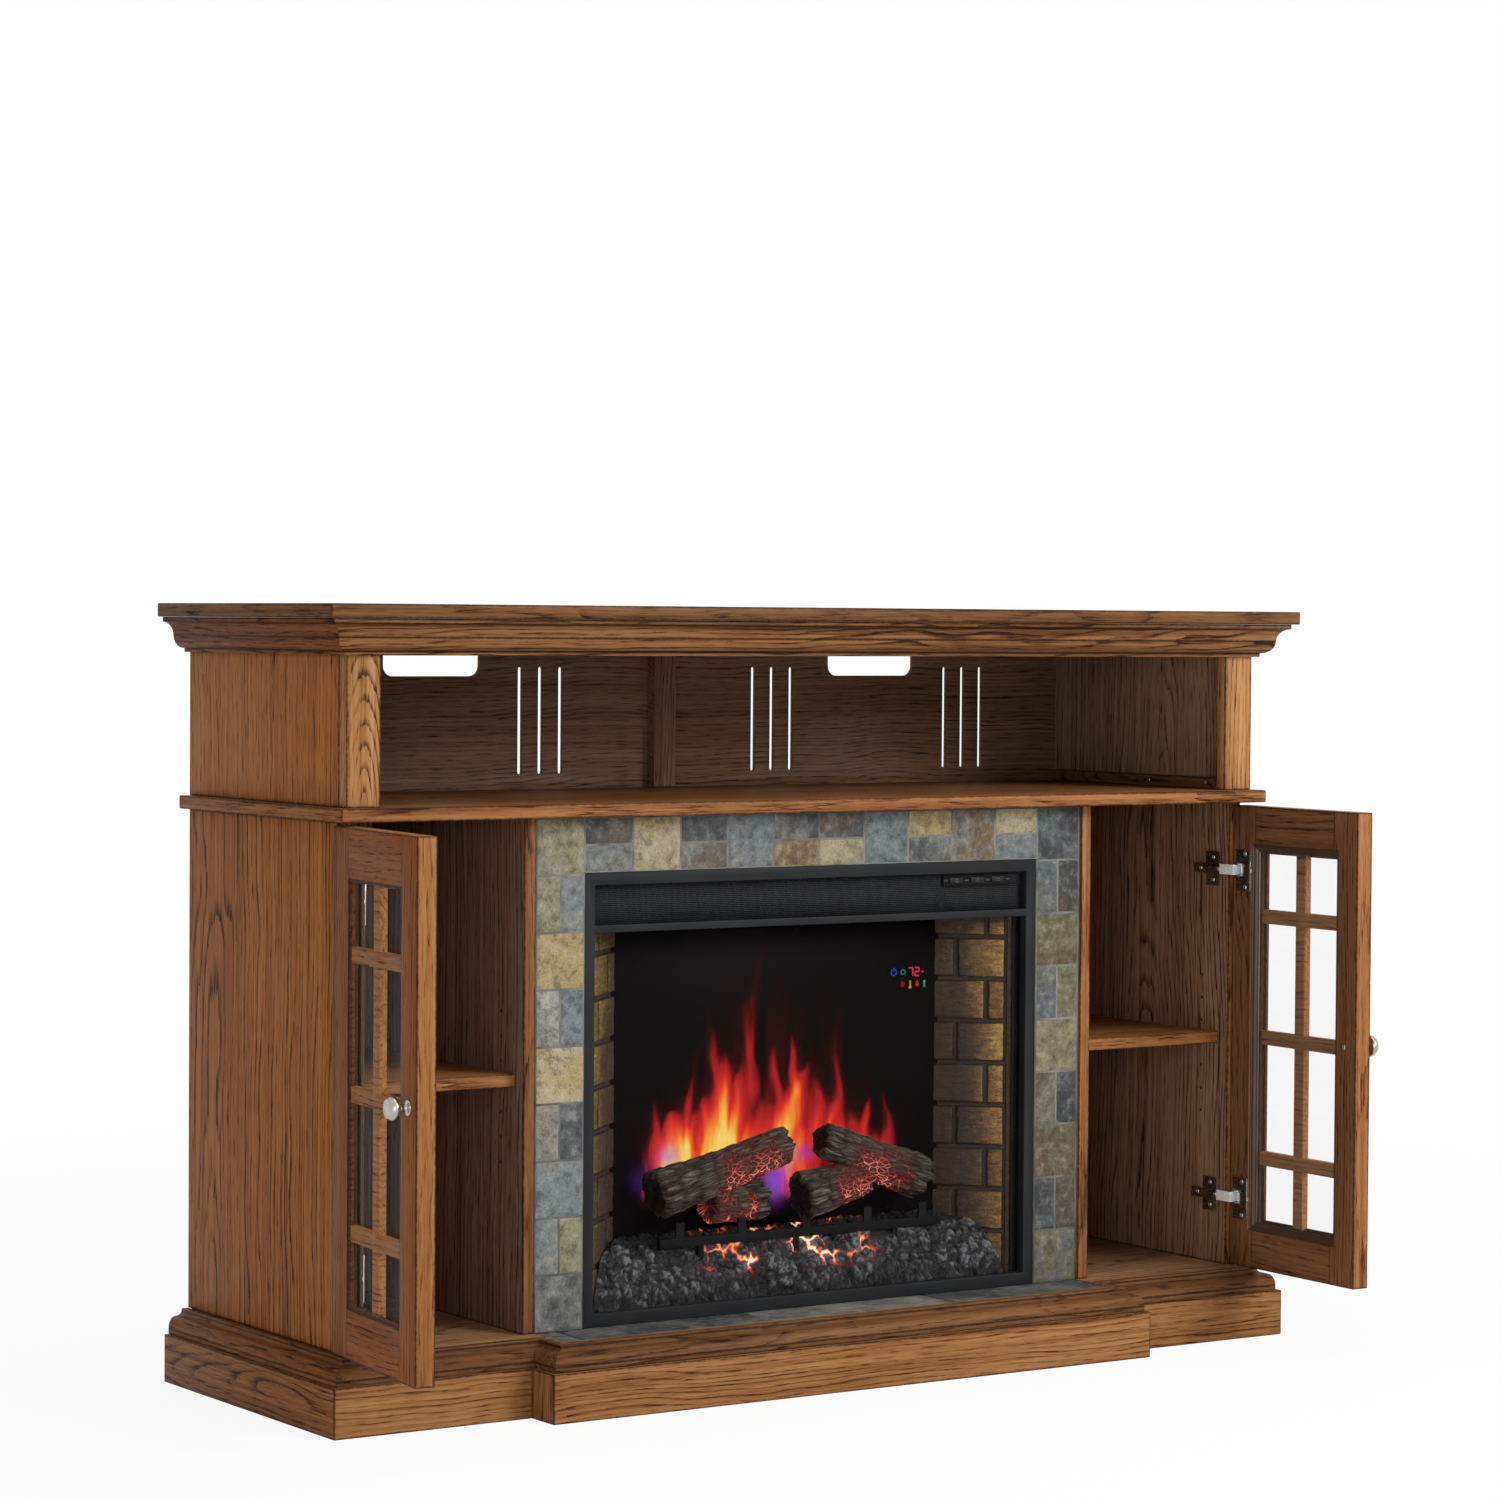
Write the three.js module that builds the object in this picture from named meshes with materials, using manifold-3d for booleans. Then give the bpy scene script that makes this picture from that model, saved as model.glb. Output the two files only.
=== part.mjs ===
// Fireplace TV stand: an oak case with an open media bay on top, a glazed cupboard at each
// side and an electric fireplace in a slate surround between them. Millimetres, +Z up, +X to
// the right as seen from the front, the front towards -Y. The origin is on the floor under
// the middle of the case. The doors stand open: each hangs in a turned group on its hinge axis.

import * as THREE from 'three';
import { mergeVertices } from 'three/addons/utils/BufferGeometryUtils.js';
import Module from 'manifold-3d';

const wasm = await Module();
wasm.setup();

// Plays and cuts that many parts share
const seat = 0.2; // between parts that rest on each other
const fit = 0.3; // round a part in its pocket or behind its stop
const overrun = 4; // how far a cut runs past the face that it opens
const weldTolerance = 0.001; // corners nearer than this are one corner
const arcSteps = 4; // straight pieces in a rounded corner's arc
const mouldingSteps = 5; // straight pieces in a quarter round of a moulding

// The case
const middleFromBack = 240;
const panel = { thickness: 19, backThickness: 6, backInset: 2 };
const lowerCase = { depth: 409, height: 650.6 };
const upperCase = { depth: 410.8, height: 230.9 };
const post = { width: 47, thickness: 19.5 };
const divider = { halfGap: 432.4, thickness: 16.7 };
const top = { width: 1520, depth: 479, thickness: 17.5, overhang: 46.8 };
const mediaShelf = { overhang: 15.2, depth: 447, thickness: 17 };
const cupboardShelf = { setback: 19, thickness: 16, height: 405, endPlay: 0.5 };

// The base: a plinth of boards with cleats, the deck on it and the moulding round the deck
const plinth = { height: 62, thickness: 19, proud: 33.8, cleatReach: 20, cleatHeight: 25 };
const centerRail = { width: 38 };
const deck = { thickness: 31.8, overhang: 26, hearthReach: 53.2, hearthMargin: 3.8 };
const mitreGap = 0.4;
const baseMould = {
  lip: 28, lipHeight: 7, shoulder: 19, shoulderHeight: 22.5, fillet: 9.4, filletHeight: 28.5,
};
const crown = {
  height: 45.3, step: 8, stepHeight: 5, belly: 9.3, waist: 24, waistHeight: 22,
  lip: 39, lipHeight: 39, railThickness: 19, railOverlap: 1,
};

// Openings of the upper back panel, and the stile on it
const cableCutout = { center: 359.5, width: 148, bottom: 916, height: 52, corner: 14 };
const ventSlot = { width: 7, bottom: 782, top: 929, pitch: 32 };
const ventGroups = { inner: 190, outer: 523 };
const backStile = { width: 35, thickness: 18 };
const serviceOpening = { halfWidth: 340, bottom: 108, top: 656 };
const lowerBackFloorGap = 2;

// The slate hearth and surround
const hearth = { recess: 8, thickness: 6.8, sideMargin: 4.2, back: 384, frontMargin: 7.7 };
const surround = { front: 405.6, thickness: 16.6, tileRelief: 1.4, sidePlay: 0.3 };
const tile = { pitch: 72, joint: 2.4, columnMargin: 2 };

// The fireplace insert
const insert = {
  halfWidth: 358.7, height: 579.5, front: 404, frameDepth: 14, sideRail: 16.4,
  topRail: 16.2, bottomRail: 16.7, crossBottom: 502.6, crossHeight: 9.5, play: 0.3,
};
const casing = {
  glassMargin: 2.7, height: 574, front: 385.4, back: 160, sheet: 1.5, flangeWidth: 18,
  shelfBottom: 509, screenFlangeWidth: 90, screenFlangeFront: 308.7,
};
const glass = { thickness: 4, overlap: 7 };
const grille = { thickness: 1.5, slotWidth: 44, slotHeight: 3, columns: 11, rows: 6, margin: 10 };
const controlStrip = { center: 266, width: 112, height: 14, proud: 5, topGap: 3.2 };
const controlButton = { width: 22, height: 8, proud: 1.3, pitch: 35, depth: 6.6 };
const screen = { halfWidth: 275, thickness: 3 };
const brick = { frontHalfGap: 333.5, backHalfGap: 256, thickness: 9 };
const embers = { frontHeight: 20, backHeight: 118, lump: 3.5, stepsAcross: 30, stepsDeep: 6, sidePlay: 2 };
const emberWaves = {
  across: 61, acrossTurn: 23, deepTurn: 19, fineAcross: 117, fineDeep: 11, fineShare: 0.6,
};
const grate = {
  back: 352, depth: 8, bottom: 84, height: 12, left: 214, right: 236,
  tabWidth: 13, tabHeight: 20, legWidth: 8,
};
const grateTabs = [-183, -86, 16, 115, 205];
const grateLegs = [-150, 0, 160];
const logs = {
  left: { from: [-219, 349, 152], to: [-6, 347, 207], radii: [31, 20], bumpShare: 0.1 },
  stub: { from: [-130, 342, 134], to: [-40, 338, 135], radii: [27, 26], bumpShare: 0.06 },
  rear: { from: [49, 341, 209], to: [217, 346, 147], radii: [22, 29], bumpShare: 0.1 },
  front: { from: [11, 350, 136], to: [119, 348, 156], radii: [31, 24], bumpShare: 0.08 },
};
const logMesh = { rings: 7, sides: 10 };
const barkWaves = { ridges: 3, twist: 5, swells: 7 };
const shaft = { radius: 3, play: 0.3 };
const rotor = {
  center: 255, height: 96, halfLength: 205, endGap: 4, vane: 20, vaneWidth: 26,
  vaneThickness: 0.8, vanes: 9, vaneStepDegrees: 60, bracket: 22, shaftEnd: 8,
};
const blower = {
  center: 330, height: 541, halfLength: 150, endGap: 4, radius: 22, discThickness: 2,
  bladeDepth: 6, bladeThickness: 1, blades: 12, discs: 3, bracket: 18, shaftEnd: 8,
};
const motor = { radius: 19, length: 30, sides: 16 };
const casingVents = { width: 60, height: 6, rows: 3, columns: 6, pitchAcross: 90, pitchUp: 14 };
const cordGland = { radius: 9, length: 8, offset: 290, height: 50 };

// The doors and their concealed hinges, measured along the door from the hinge axis and out
// from it towards the door's outer face
const door = {
  width: 270, height: 644, thickness: 25, bottomGap: 2.3, stileWidth: 50, topRailHeight: 62,
  bottomRailHeight: 62, muntinWidth: 20, barHeight: 19.5, shortPaneHeight: 81.5,
  barSetback: 3, barDepth: 10,
};
const rebate = { width: 10, glassThickness: 3 };
const pivot = { fromEdge: 6.5, fromInner: 10, doorGap: 2.5 };
const openAngles = { leftDegrees: 97, rightDegrees: 88 };
const hingeHeights = { upper: 650, lower: 191 };
const cup = {
  center: 16, radius: 17.5, depth: 13.6, floor: 0.7, flangeHalfHeight: 29, flangeThickness: 1.2,
  flangeStart: 2, flangeEnd: 33, cheekStart: 3.2, cheekEnd: 8, cheekHalfHeight: 11,
  wellStart: 4.3, wellEnd: 18.4, wellHalfHeight: 7.6, sides: 20,
};
const pin = { radius: 1.2, knuckle: 2.6 };
const arm = {
  halfHeight: 7, thickness: 3, linkThickness: 2.4, plateThickness: 1.5, plateBack: 48,
  plateFront: 18, plateHalfHeight: 24, tail: 71, wallPlay: 0.3, overlap: 0.3,
};
const knob = {
  height: 422, foot: 9.5, footHeight: 2.5, neck: 4.2, neckHeight: 9, head: 15,
  headStart: 13, rim: 21, crown: 27, crownRadius: 11, dish: 25.6, dishRadius: 7,
};

// Heights and depths that follow from the sizes above
const fromBack = (distance) => middleFromBack - distance;
const fromCaseFront = (distance) => fromBack(lowerCase.depth - distance);
const caseHalfWidth = top.width / 2 - top.overhang;
const mediaShelfHalfWidth = caseHalfWidth + mediaShelf.overhang;
const hearthDeckHalfWidth = divider.halfGap + deck.hearthMargin;
const deckDepth = lowerCase.depth + deck.overhang;
const hearthDeckDepth = deckDepth + deck.hearthReach;
const hearthHalfWidth = hearthDeckHalfWidth - hearth.sideMargin;
const hearthFront = hearthDeckDepth - hearth.frontMargin;
const deckBottom = plinth.height + seat;
const deckTop = deckBottom + deck.thickness;
const lowerSideBottom = deckTop + seat;
const lowerSideTop = lowerSideBottom + lowerCase.height;
const mediaShelfBottom = lowerSideTop + seat;
const mediaShelfTop = mediaShelfBottom + mediaShelf.thickness;
const upperSideBottom = mediaShelfTop + seat;
const upperSideTop = upperSideBottom + upperCase.height;
const topBottom = upperSideTop + seat;
const postFront = upperCase.depth + seat + post.thickness;
const sideInner = caseHalfWidth - panel.thickness;
const backFront = panel.backInset + panel.backThickness;
const dividerOuter = divider.halfGap + divider.thickness;
const hearthBottom = deckTop - hearth.recess + seat;
const hearthTop = hearthBottom + hearth.thickness;
const insertBottom = hearthTop + seat;
const insertTop = insertBottom + insert.height;
const frameBack = insert.front - insert.frameDepth;
const casingBottom = deckTop + seat;
const casingTop = casingBottom + casing.height;
const casingFloor = casingBottom + casing.sheet;
const shelfBottom = casingBottom + casing.shelfBottom;
const windowHalfWidth = insert.halfWidth - insert.sideRail;
const casingHalfWidth = windowHalfWidth + glass.overlap + casing.glassMargin;
const screenFront = casing.screenFlangeFront + fit + screen.thickness;

const finishes = {
  oak: { color: 0x8f5a2c, roughness: 0.5, metalness: 0 },
  oakInside: { color: 0x55331d, roughness: 0.62, metalness: 0 },
  slate: { color: 0x77776c, roughness: 0.7, metalness: 0 },
  blackSteel: { color: 0x1c1e20, roughness: 0.45, metalness: 0.4 },
  clearGlass: { color: 0xdfe8ea, roughness: 0.05, metalness: 0 },
  smokedScreen: { color: 0x0b0a0b, roughness: 0.25, metalness: 0 },
  brickwork: { color: 0x9a7434, roughness: 0.8, metalness: 0 },
  charcoal: { color: 0x3d3b3a, roughness: 0.9, metalness: 0 },
  bark: { color: 0x46302a, roughness: 0.85, metalness: 0 },
  nickel: { color: 0xa9a49b, roughness: 0.32, metalness: 1 },
  brightSteel: { color: 0xb8bcc0, roughness: 0.25, metalness: 1 },
  aluminium: { color: 0xc4c8ca, roughness: 0.3, metalness: 1 },
  blackPlastic: { color: 0x151617, roughness: 0.4, metalness: 0 },
};

const stand = new THREE.Group();

function add(name, geometry, finish, parent = stand) {
  const mesh = new THREE.Mesh(geometry, new THREE.MeshStandardMaterial(finishes[finish]));
  mesh.name = name;
  parent.add(mesh);
  return mesh;
}

// A rectangular block between two limits on each axis, given in either order
function block(xs, ys, zs) {
  const spans = [xs, ys, zs].map(([a, b]) => [Math.min(a, b), Math.max(a, b)]);
  const [x, y, z] = spans;
  const geometry = new THREE.BoxGeometry(x[1] - x[0], y[1] - y[0], z[1] - z[0]);
  return geometry.translate((x[0] + x[1]) / 2, (y[0] + y[1]) / 2, (z[0] + z[1]) / 2);
}

// Turns a closed surface that faces inwards the right way round
function facingOut(geometry) {
  const place = geometry.attributes.position;
  const index = geometry.index.array;
  const corners = [new THREE.Vector3(), new THREE.Vector3(), new THREE.Vector3()];
  let volume = 0;
  for (let i = 0; i < index.length; i += 3) {
    corners.forEach((corner, k) => corner.fromBufferAttribute(place, index[i + k]));
    volume += corners[0].dot(corners[1].cross(corners[2]));
  }
  if (volume < 0) {
    for (let i = 0; i < index.length; i += 3) {
      [index[i], index[i + 1]] = [index[i + 1], index[i]];
    }
  }
  return geometry;
}

function surfaceOf(positions, index) {
  const geometry = new THREE.BufferGeometry();
  geometry.setAttribute('position', new THREE.Float32BufferAttribute(positions, 3));
  geometry.setIndex(index);
  return facingOut(geometry);
}

// A closed geometry as a solid that can be joined and cut, and back
function solidOf(geometry) {
  const bare = geometry.clone();
  bare.deleteAttribute('normal');
  bare.deleteAttribute('uv');
  const merged = mergeVertices(bare, weldTolerance);
  return new wasm.Manifold(new wasm.Mesh({
    numProp: 3,
    vertProperties: new Float32Array(merged.attributes.position.array),
    triVerts: new Uint32Array(merged.index.array),
  }));
}

function geometryOf(solid) {
  const mesh = solid.getMesh();
  const geometry = new THREE.BufferGeometry();
  geometry.setAttribute('position', new THREE.BufferAttribute(mesh.vertProperties, 3));
  geometry.setIndex(new THREE.BufferAttribute(mesh.triVerts, 1));
  return geometry;
}

// Joins the first list of geometries and cuts the second list out of them
function shaped(joined, cuts = []) {
  let solid = solidOf(joined[0]);
  for (const piece of joined.slice(1)) solid = solid.add(solidOf(piece));
  for (const piece of cuts) solid = solid.subtract(solidOf(piece));
  return geometryOf(solid);
}

// A flat outline of [x, z] points carried from one depth to another
function frontPrism(outline, ys) {
  const shape = outline instanceof THREE.Shape ? outline : new THREE.Shape(
    outline.map(([x, z]) => new THREE.Vector2(x, z)));
  const depth = Math.abs(ys[1] - ys[0]);
  const geometry = new THREE.ExtrudeGeometry(shape, {
    depth, bevelEnabled: false, curveSegments: arcSteps,
  });
  return geometry.rotateX(Math.PI / 2).translate(0, Math.max(ys[0], ys[1]), 0);
}

// A flat outline of [x, y] points carried up from one height to another
function uprightPrism(outline, zs) {
  const shape = new THREE.Shape(outline.map(([x, y]) => new THREE.Vector2(x, y)));
  const geometry = new THREE.ExtrudeGeometry(shape, { depth: zs[1] - zs[0], bevelEnabled: false });
  return geometry.translate(0, 0, zs[0]);
}

// A round bar along the X axis, between two limits
function barAlongX(xs, y, z, radius, sides) {
  const length = Math.abs(xs[1] - xs[0]);
  const geometry = new THREE.CylinderGeometry(radius, radius, length, sides);
  return geometry.rotateZ(Math.PI / 2).translate((xs[0] + xs[1]) / 2, y, z);
}

function barAlongY(x, ys, z, radius, sides) {
  const length = Math.abs(ys[1] - ys[0]);
  const geometry = new THREE.CylinderGeometry(radius, radius, length, sides);
  return geometry.translate(x, (ys[0] + ys[1]) / 2, z);
}

function barAlongZ(x, y, zs, radius, sides) {
  const geometry = new THREE.CylinderGeometry(radius, radius, zs[1] - zs[0], sides);
  return geometry.rotateX(Math.PI / 2).translate(x, y, (zs[0] + zs[1]) / 2);
}

// Points of a quarter of an ellipse, from one quarter mark to the next, counted from +X
function quarter(center, radii, fromQuarter, toQuarter) {
  const points = [];
  for (let i = 0; i <= mouldingSteps; i++) {
    const angle = (fromQuarter + (toQuarter - fromQuarter) * i / mouldingSteps) * Math.PI / 2;
    points.push([center[0] + radii[0] * Math.cos(angle), center[1] + radii[1] * Math.sin(angle)]);
  }
  return points;
}

// A run of moulding or board. The profile's points are [outward, height]; each station is a
// corner of the case and its outward direction, which is diagonal where the run is mitred.
function mitredRun(profile, stations) {
  const positions = [];
  for (const { at, out } of stations) {
    for (const [proud, height] of profile) {
      positions.push(at[0] + out[0] * proud, at[1] + out[1] * proud, height);
    }
  }
  const ring = profile.length;
  const index = [];
  for (let s = 0; s + 1 < stations.length; s++) {
    for (let i = 0; i < ring; i++) {
      const here = s * ring + i;
      const next = s * ring + (i + 1) % ring;
      index.push(here, next, next + ring, here, next + ring, here + ring);
    }
  }
  const outline = profile.map(([proud, height]) => new THREE.Vector2(proud, height));
  const last = (stations.length - 1) * ring;
  const sign = THREE.ShapeUtils.isClockWise(outline) ? -1 : 1;
  for (const [a, b, c] of THREE.ShapeUtils.triangulateShape(outline, [])) {
    const [q, r] = sign > 0 ? [b, c] : [c, b];
    index.push(a, r, q, last + a, last + q, last + r);
  }
  return surfaceOf(positions, index);
}

// The two halves of a pair are built by the same function, with side -1 left and +1 right
const sides = [['left', -1], ['right', 1]];

// Case corners that the base mouldings and plinth boards follow, from the back on the left
function baseCorner(side, name) {
  const places = {
    back: [side * caseHalfWidth, fromBack(0)],
    outer: [side * caseHalfWidth, fromBack(deckDepth)],
    inner: [side * hearthDeckHalfWidth, fromBack(deckDepth)],
    hearth: [side * hearthDeckHalfWidth, fromBack(hearthDeckDepth)],
  };
  return places[name];
}

const shifted = (point, x, y) => [point[0] + x, point[1] + y];

function addTop() {
  add('top_panel', block([-top.width / 2, top.width / 2], [fromBack(0), fromBack(top.depth)],
    [topBottom, topBottom + top.thickness]), 'oak');
}

function crownProfile() {
  const z = upperSideTop - crown.height;
  const belly = quarter([crown.belly, z + crown.waistHeight],
    [crown.waist - crown.belly, crown.waistHeight - crown.stepHeight], -1, 0);
  const cove = quarter([crown.lip, z + crown.waistHeight],
    [crown.waist - crown.lip, crown.lipHeight - crown.waistHeight], 0, 1);
  return [[seat, z], [crown.step, z], [crown.step, z + crown.stepHeight], ...belly,
    ...cove.slice(1), [crown.lip, upperSideTop], [seat, upperSideTop]];
}

function addCrown() {
  const profile = crownProfile();
  for (const [name, side] of sides) {
    add(`crown_${name}`, mitredRun(profile, [
      { at: [side * caseHalfWidth, fromBack(0)], out: [side, 0] },
      { at: [side * caseHalfWidth, fromBack(postFront) + mitreGap], out: [side, -1] },
    ]), 'oak');
  }
  const run = mitredRun(profile, [
    { at: [-caseHalfWidth, fromBack(postFront)], out: [-1, -1] },
    { at: [caseHalfWidth, fromBack(postFront)], out: [1, -1] },
  ]);
  const railHalf = caseHalfWidth - post.width - seat;
  const rail = block([-railHalf, railHalf],
    [fromBack(postFront - crown.railThickness), fromBack(postFront + seat + crown.railOverlap)],
    [upperSideTop - crown.height, upperSideTop]);
  add('crown_front', shaped([run, rail]), 'oak');
}

function addUpperCase() {
  const height = [upperSideBottom, upperSideTop];
  for (const [name, side] of sides) {
    add(`upper_side_${name}`, block([side * sideInner, side * caseHalfWidth],
      [fromBack(0), fromBack(upperCase.depth)], height), 'oak');
    add(`front_post_${name}`, block([side * (caseHalfWidth - post.width), side * caseHalfWidth],
      [fromBack(upperCase.depth + seat), fromBack(postFront)], height), 'oak');
  }
  add('media_shelf', block([-mediaShelfHalfWidth, mediaShelfHalfWidth],
    [fromBack(0), fromBack(mediaShelf.depth)], [mediaShelfBottom, mediaShelfTop]), 'oak');
}

function roundEndedSlot(x, bottom, topEnd, width) {
  const shape = new THREE.Shape();
  const radius = width / 2;
  shape.moveTo(x + radius, bottom + radius);
  shape.lineTo(x + radius, topEnd - radius);
  shape.absarc(x, topEnd - radius, radius, 0, Math.PI, false);
  shape.lineTo(x - radius, bottom + radius);
  shape.absarc(x, bottom + radius, radius, Math.PI, 2 * Math.PI, false);
  return shape;
}

function roundedOpening(x, width, bottom, height, corner) {
  const shape = new THREE.Shape();
  const [left, right, topEdge] = [x - width / 2, x + width / 2, bottom + height];
  shape.moveTo(left + corner, bottom);
  shape.lineTo(right - corner, bottom);
  shape.absarc(right - corner, bottom + corner, corner, -Math.PI / 2, 0, false);
  shape.lineTo(right, topEdge - corner);
  shape.absarc(right - corner, topEdge - corner, corner, 0, Math.PI / 2, false);
  shape.lineTo(left + corner, topEdge);
  shape.absarc(left + corner, topEdge - corner, corner, Math.PI / 2, Math.PI, false);
  shape.lineTo(left, bottom + corner);
  shape.absarc(left + corner, bottom + corner, corner, Math.PI, 1.5 * Math.PI, false);
  return shape;
}

function addUpperBack() {
  const half = sideInner - seat;
  const height = [upperSideBottom, upperSideTop];
  const sheet = block([-half, half], [fromBack(panel.backInset), fromBack(backFront)], height);
  const stile = block([-backStile.width / 2, backStile.width / 2],
    [fromBack(panel.backInset), fromBack(backFront + backStile.thickness)], height);
  const through = [fromBack(panel.backInset - overrun), fromBack(backFront + overrun)];
  const cuts = [];
  for (const [, side] of sides) {
    cuts.push(frontPrism(roundedOpening(side * cableCutout.center, cableCutout.width,
      cableCutout.bottom, cableCutout.height, cableCutout.corner), through));
    for (const group of Object.values(ventGroups)) {
      for (const step of [-1, 0, 1]) {
        const x = side * group + step * ventSlot.pitch;
        cuts.push(frontPrism(roundEndedSlot(x, ventSlot.bottom, ventSlot.top, ventSlot.width),
          through));
      }
    }
  }
  add('upper_back_panel', shaped([sheet, stile], cuts), 'oakInside');
}

function addLowerCase() {
  const height = [lowerSideBottom, lowerSideTop];
  for (const [name, side] of sides) {
    add(`lower_side_${name}`, block([side * sideInner, side * caseHalfWidth],
      [fromBack(0), fromBack(lowerCase.depth)], height), 'oak');
    add(`divider_${name}`, block([side * divider.halfGap, side * dividerOuter],
      [fromBack(backFront + seat), fromBack(lowerCase.depth)], height), 'oak');
    add(`cupboard_shelf_${name}`, block(
      [side * (dividerOuter + cupboardShelf.endPlay), side * (sideInner - cupboardShelf.endPlay)],
      [fromBack(backFront + fit), fromCaseFront(cupboardShelf.setback)],
      [cupboardShelf.height, cupboardShelf.height + cupboardShelf.thickness]), 'oak');
  }
  const half = Math.min(sideInner, caseHalfWidth - plinth.cleatReach) - fit;
  const sheet = block([-half, half], [fromBack(panel.backInset), fromBack(backFront)],
    [lowerBackFloorGap, lowerSideTop]);
  const opening = block([-serviceOpening.halfWidth, serviceOpening.halfWidth],
    [fromBack(panel.backInset - overrun), fromBack(backFront + overrun)],
    [serviceOpening.bottom, serviceOpening.top]);
  add('lower_back_panel', shaped([sheet], [opening]), 'oakInside');
}

function addDeck() {
  const height = [deckBottom, deckTop];
  const back = fromBack(backFront + seat);
  const floor = block([-caseHalfWidth, caseHalfWidth], [back, fromBack(deckDepth)], height);
  const apron = block([-hearthDeckHalfWidth, hearthDeckHalfWidth],
    [back, fromBack(hearthDeckDepth)], height);
  const recess = block([-hearthHalfWidth - fit, hearthHalfWidth + fit],
    [fromBack(hearth.back - fit), fromBack(hearthFront + fit)],
    [deckTop - hearth.recess, deckTop + overrun]);
  add('base_deck', shaped([floor, apron], [recess]), 'oak');
}

function baseMouldProfile() {
  const z = plinth.height + seat;
  const shoulder = quarter([baseMould.shoulder, z + baseMould.lipHeight],
    [baseMould.lip - baseMould.shoulder, baseMould.shoulderHeight - baseMould.lipHeight], 0, 1);
  const cove = quarter([baseMould.shoulder, z + baseMould.filletHeight],
    [baseMould.shoulder - baseMould.fillet, baseMould.filletHeight - baseMould.shoulderHeight],
    3, 2);
  return [[seat, z], [baseMould.lip, z], ...shoulder, ...cove.slice(1),
    [baseMould.fillet, deckTop], [seat, deckTop]];
}

function addBaseMoulding() {
  const profile = baseMouldProfile();
  for (const [name, side] of sides) {
    add(`base_moulding_${name}`, mitredRun(profile, [
      { at: baseCorner(side, 'back'), out: [side, 0] },
      { at: shifted(baseCorner(side, 'outer'), 0, mitreGap), out: [side, -1] },
    ]), 'oak');
  }
  const route = ['outer', 'inner', 'hearth'];
  add('base_moulding_front', mitredRun(profile, [
    ...route.map((name) => ({ at: baseCorner(-1, name), out: [-1, -1] })),
    ...route.reverse().map((name) => ({ at: baseCorner(1, name), out: [1, -1] })),
  ]), 'oak');
}

function addPlinth() {
  const inner = plinth.proud - plinth.thickness;
  const cleatBottom = plinth.height - plinth.cleatHeight;
  const profile = [[inner, 0], [plinth.proud, 0], [plinth.proud, plinth.height],
    [-plinth.cleatReach, plinth.height], [-plinth.cleatReach, cleatBottom], [inner, cleatBottom]];
  for (const [name, side] of sides) {
    add(`plinth_side_${name}`, mitredRun(profile, [
      { at: baseCorner(side, 'back'), out: [side, 0] },
      { at: shifted(baseCorner(side, 'outer'), 0, mitreGap), out: [side, -1] },
    ]), 'oak');
    add(`plinth_front_${name}`, mitredRun(profile, [
      { at: baseCorner(side, 'outer'), out: [side, -1] },
      { at: shifted(baseCorner(side, 'inner'), side * mitreGap, 0), out: [side, -1] },
    ]), 'oak');
  }
  const route = ['inner', 'hearth'];
  add('plinth_front_center', mitredRun(profile, [
    ...route.map((name) => ({ at: baseCorner(-1, name), out: [-1, -1] })),
    ...route.reverse().map((name) => ({ at: baseCorner(1, name), out: [1, -1] })),
  ]), 'oak');
  add('plinth_center_rail', block([-centerRail.width / 2, centerRail.width / 2],
    [fromBack(backFront + seat), fromBack(hearthDeckDepth - plinth.cleatReach - seat)],
    [0, plinth.height]), 'oakInside');
}

// Raised tiles of one column or row: each full tile, or a pair of halves side by side
function tileBlocks(xs, zs, split) {
  const ys = [fromBack(surround.front), fromBack(surround.front + surround.tileRelief)];
  const backed = [ys[0] + surround.tileRelief, ys[1]];
  const gap = tile.joint / 2;
  const inside = ([low, high]) => [low + gap, high - gap];
  const middle = ([low, high]) => (low + high) / 2;
  if (split === 'upright') {
    return [[xs[0], middle(xs)], [middle(xs), xs[1]]].map((part) =>
      block(inside(part), backed, inside(zs)));
  }
  if (split === 'stacked') {
    return [[zs[0], middle(zs)], [middle(zs), zs[1]]].map((part) =>
      block(inside(xs), backed, inside(part)));
  }
  return [block(inside(xs), backed, inside(zs))];
}

const topRowPattern = ['stacked', 'full', 'stacked', 'full', 'stacked',
  'stacked', 'full', 'stacked', 'full', 'stacked'];

function addSurround() {
  const outer = divider.halfGap - surround.sidePlay;
  const opening = insert.halfWidth + insert.play;
  const openingTop = insertTop + insert.play;
  const back = fromBack(surround.front - surround.thickness);
  const board = block([-outer, outer], [back, fromBack(surround.front)],
    [insertBottom, lowerSideTop]);
  const hole = block([-opening, opening], [back + overrun, fromBack(surround.front + overrun)],
    [insertBottom - overrun, openingTop]);
  const tiles = [];
  const columnTop = lowerSideTop - tile.columnMargin;
  const rows = Math.round((columnTop - insertBottom) / tile.pitch);
  const rowHeight = (columnTop - insertBottom) / rows;
  for (const [, side] of sides) {
    for (let row = 0; row < rows; row++) {
      const zs = [columnTop - (row + 1) * rowHeight, columnTop - row * rowHeight];
      const xs = [side * opening, side * (outer - tile.columnMargin)].sort((a, b) => a - b);
      tiles.push(...tileBlocks(xs, zs, row % 2 ? 'upright' : 'full'));
    }
  }
  const columnWidth = 2 * opening / topRowPattern.length;
  topRowPattern.forEach((split, column) => {
    const xs = [-opening + column * columnWidth, -opening + (column + 1) * columnWidth];
    tiles.push(...tileBlocks(xs, [openingTop, columnTop], split));
  });
  add('tile_surround', shaped([board, ...tiles], [hole]), 'slate');
}

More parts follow.
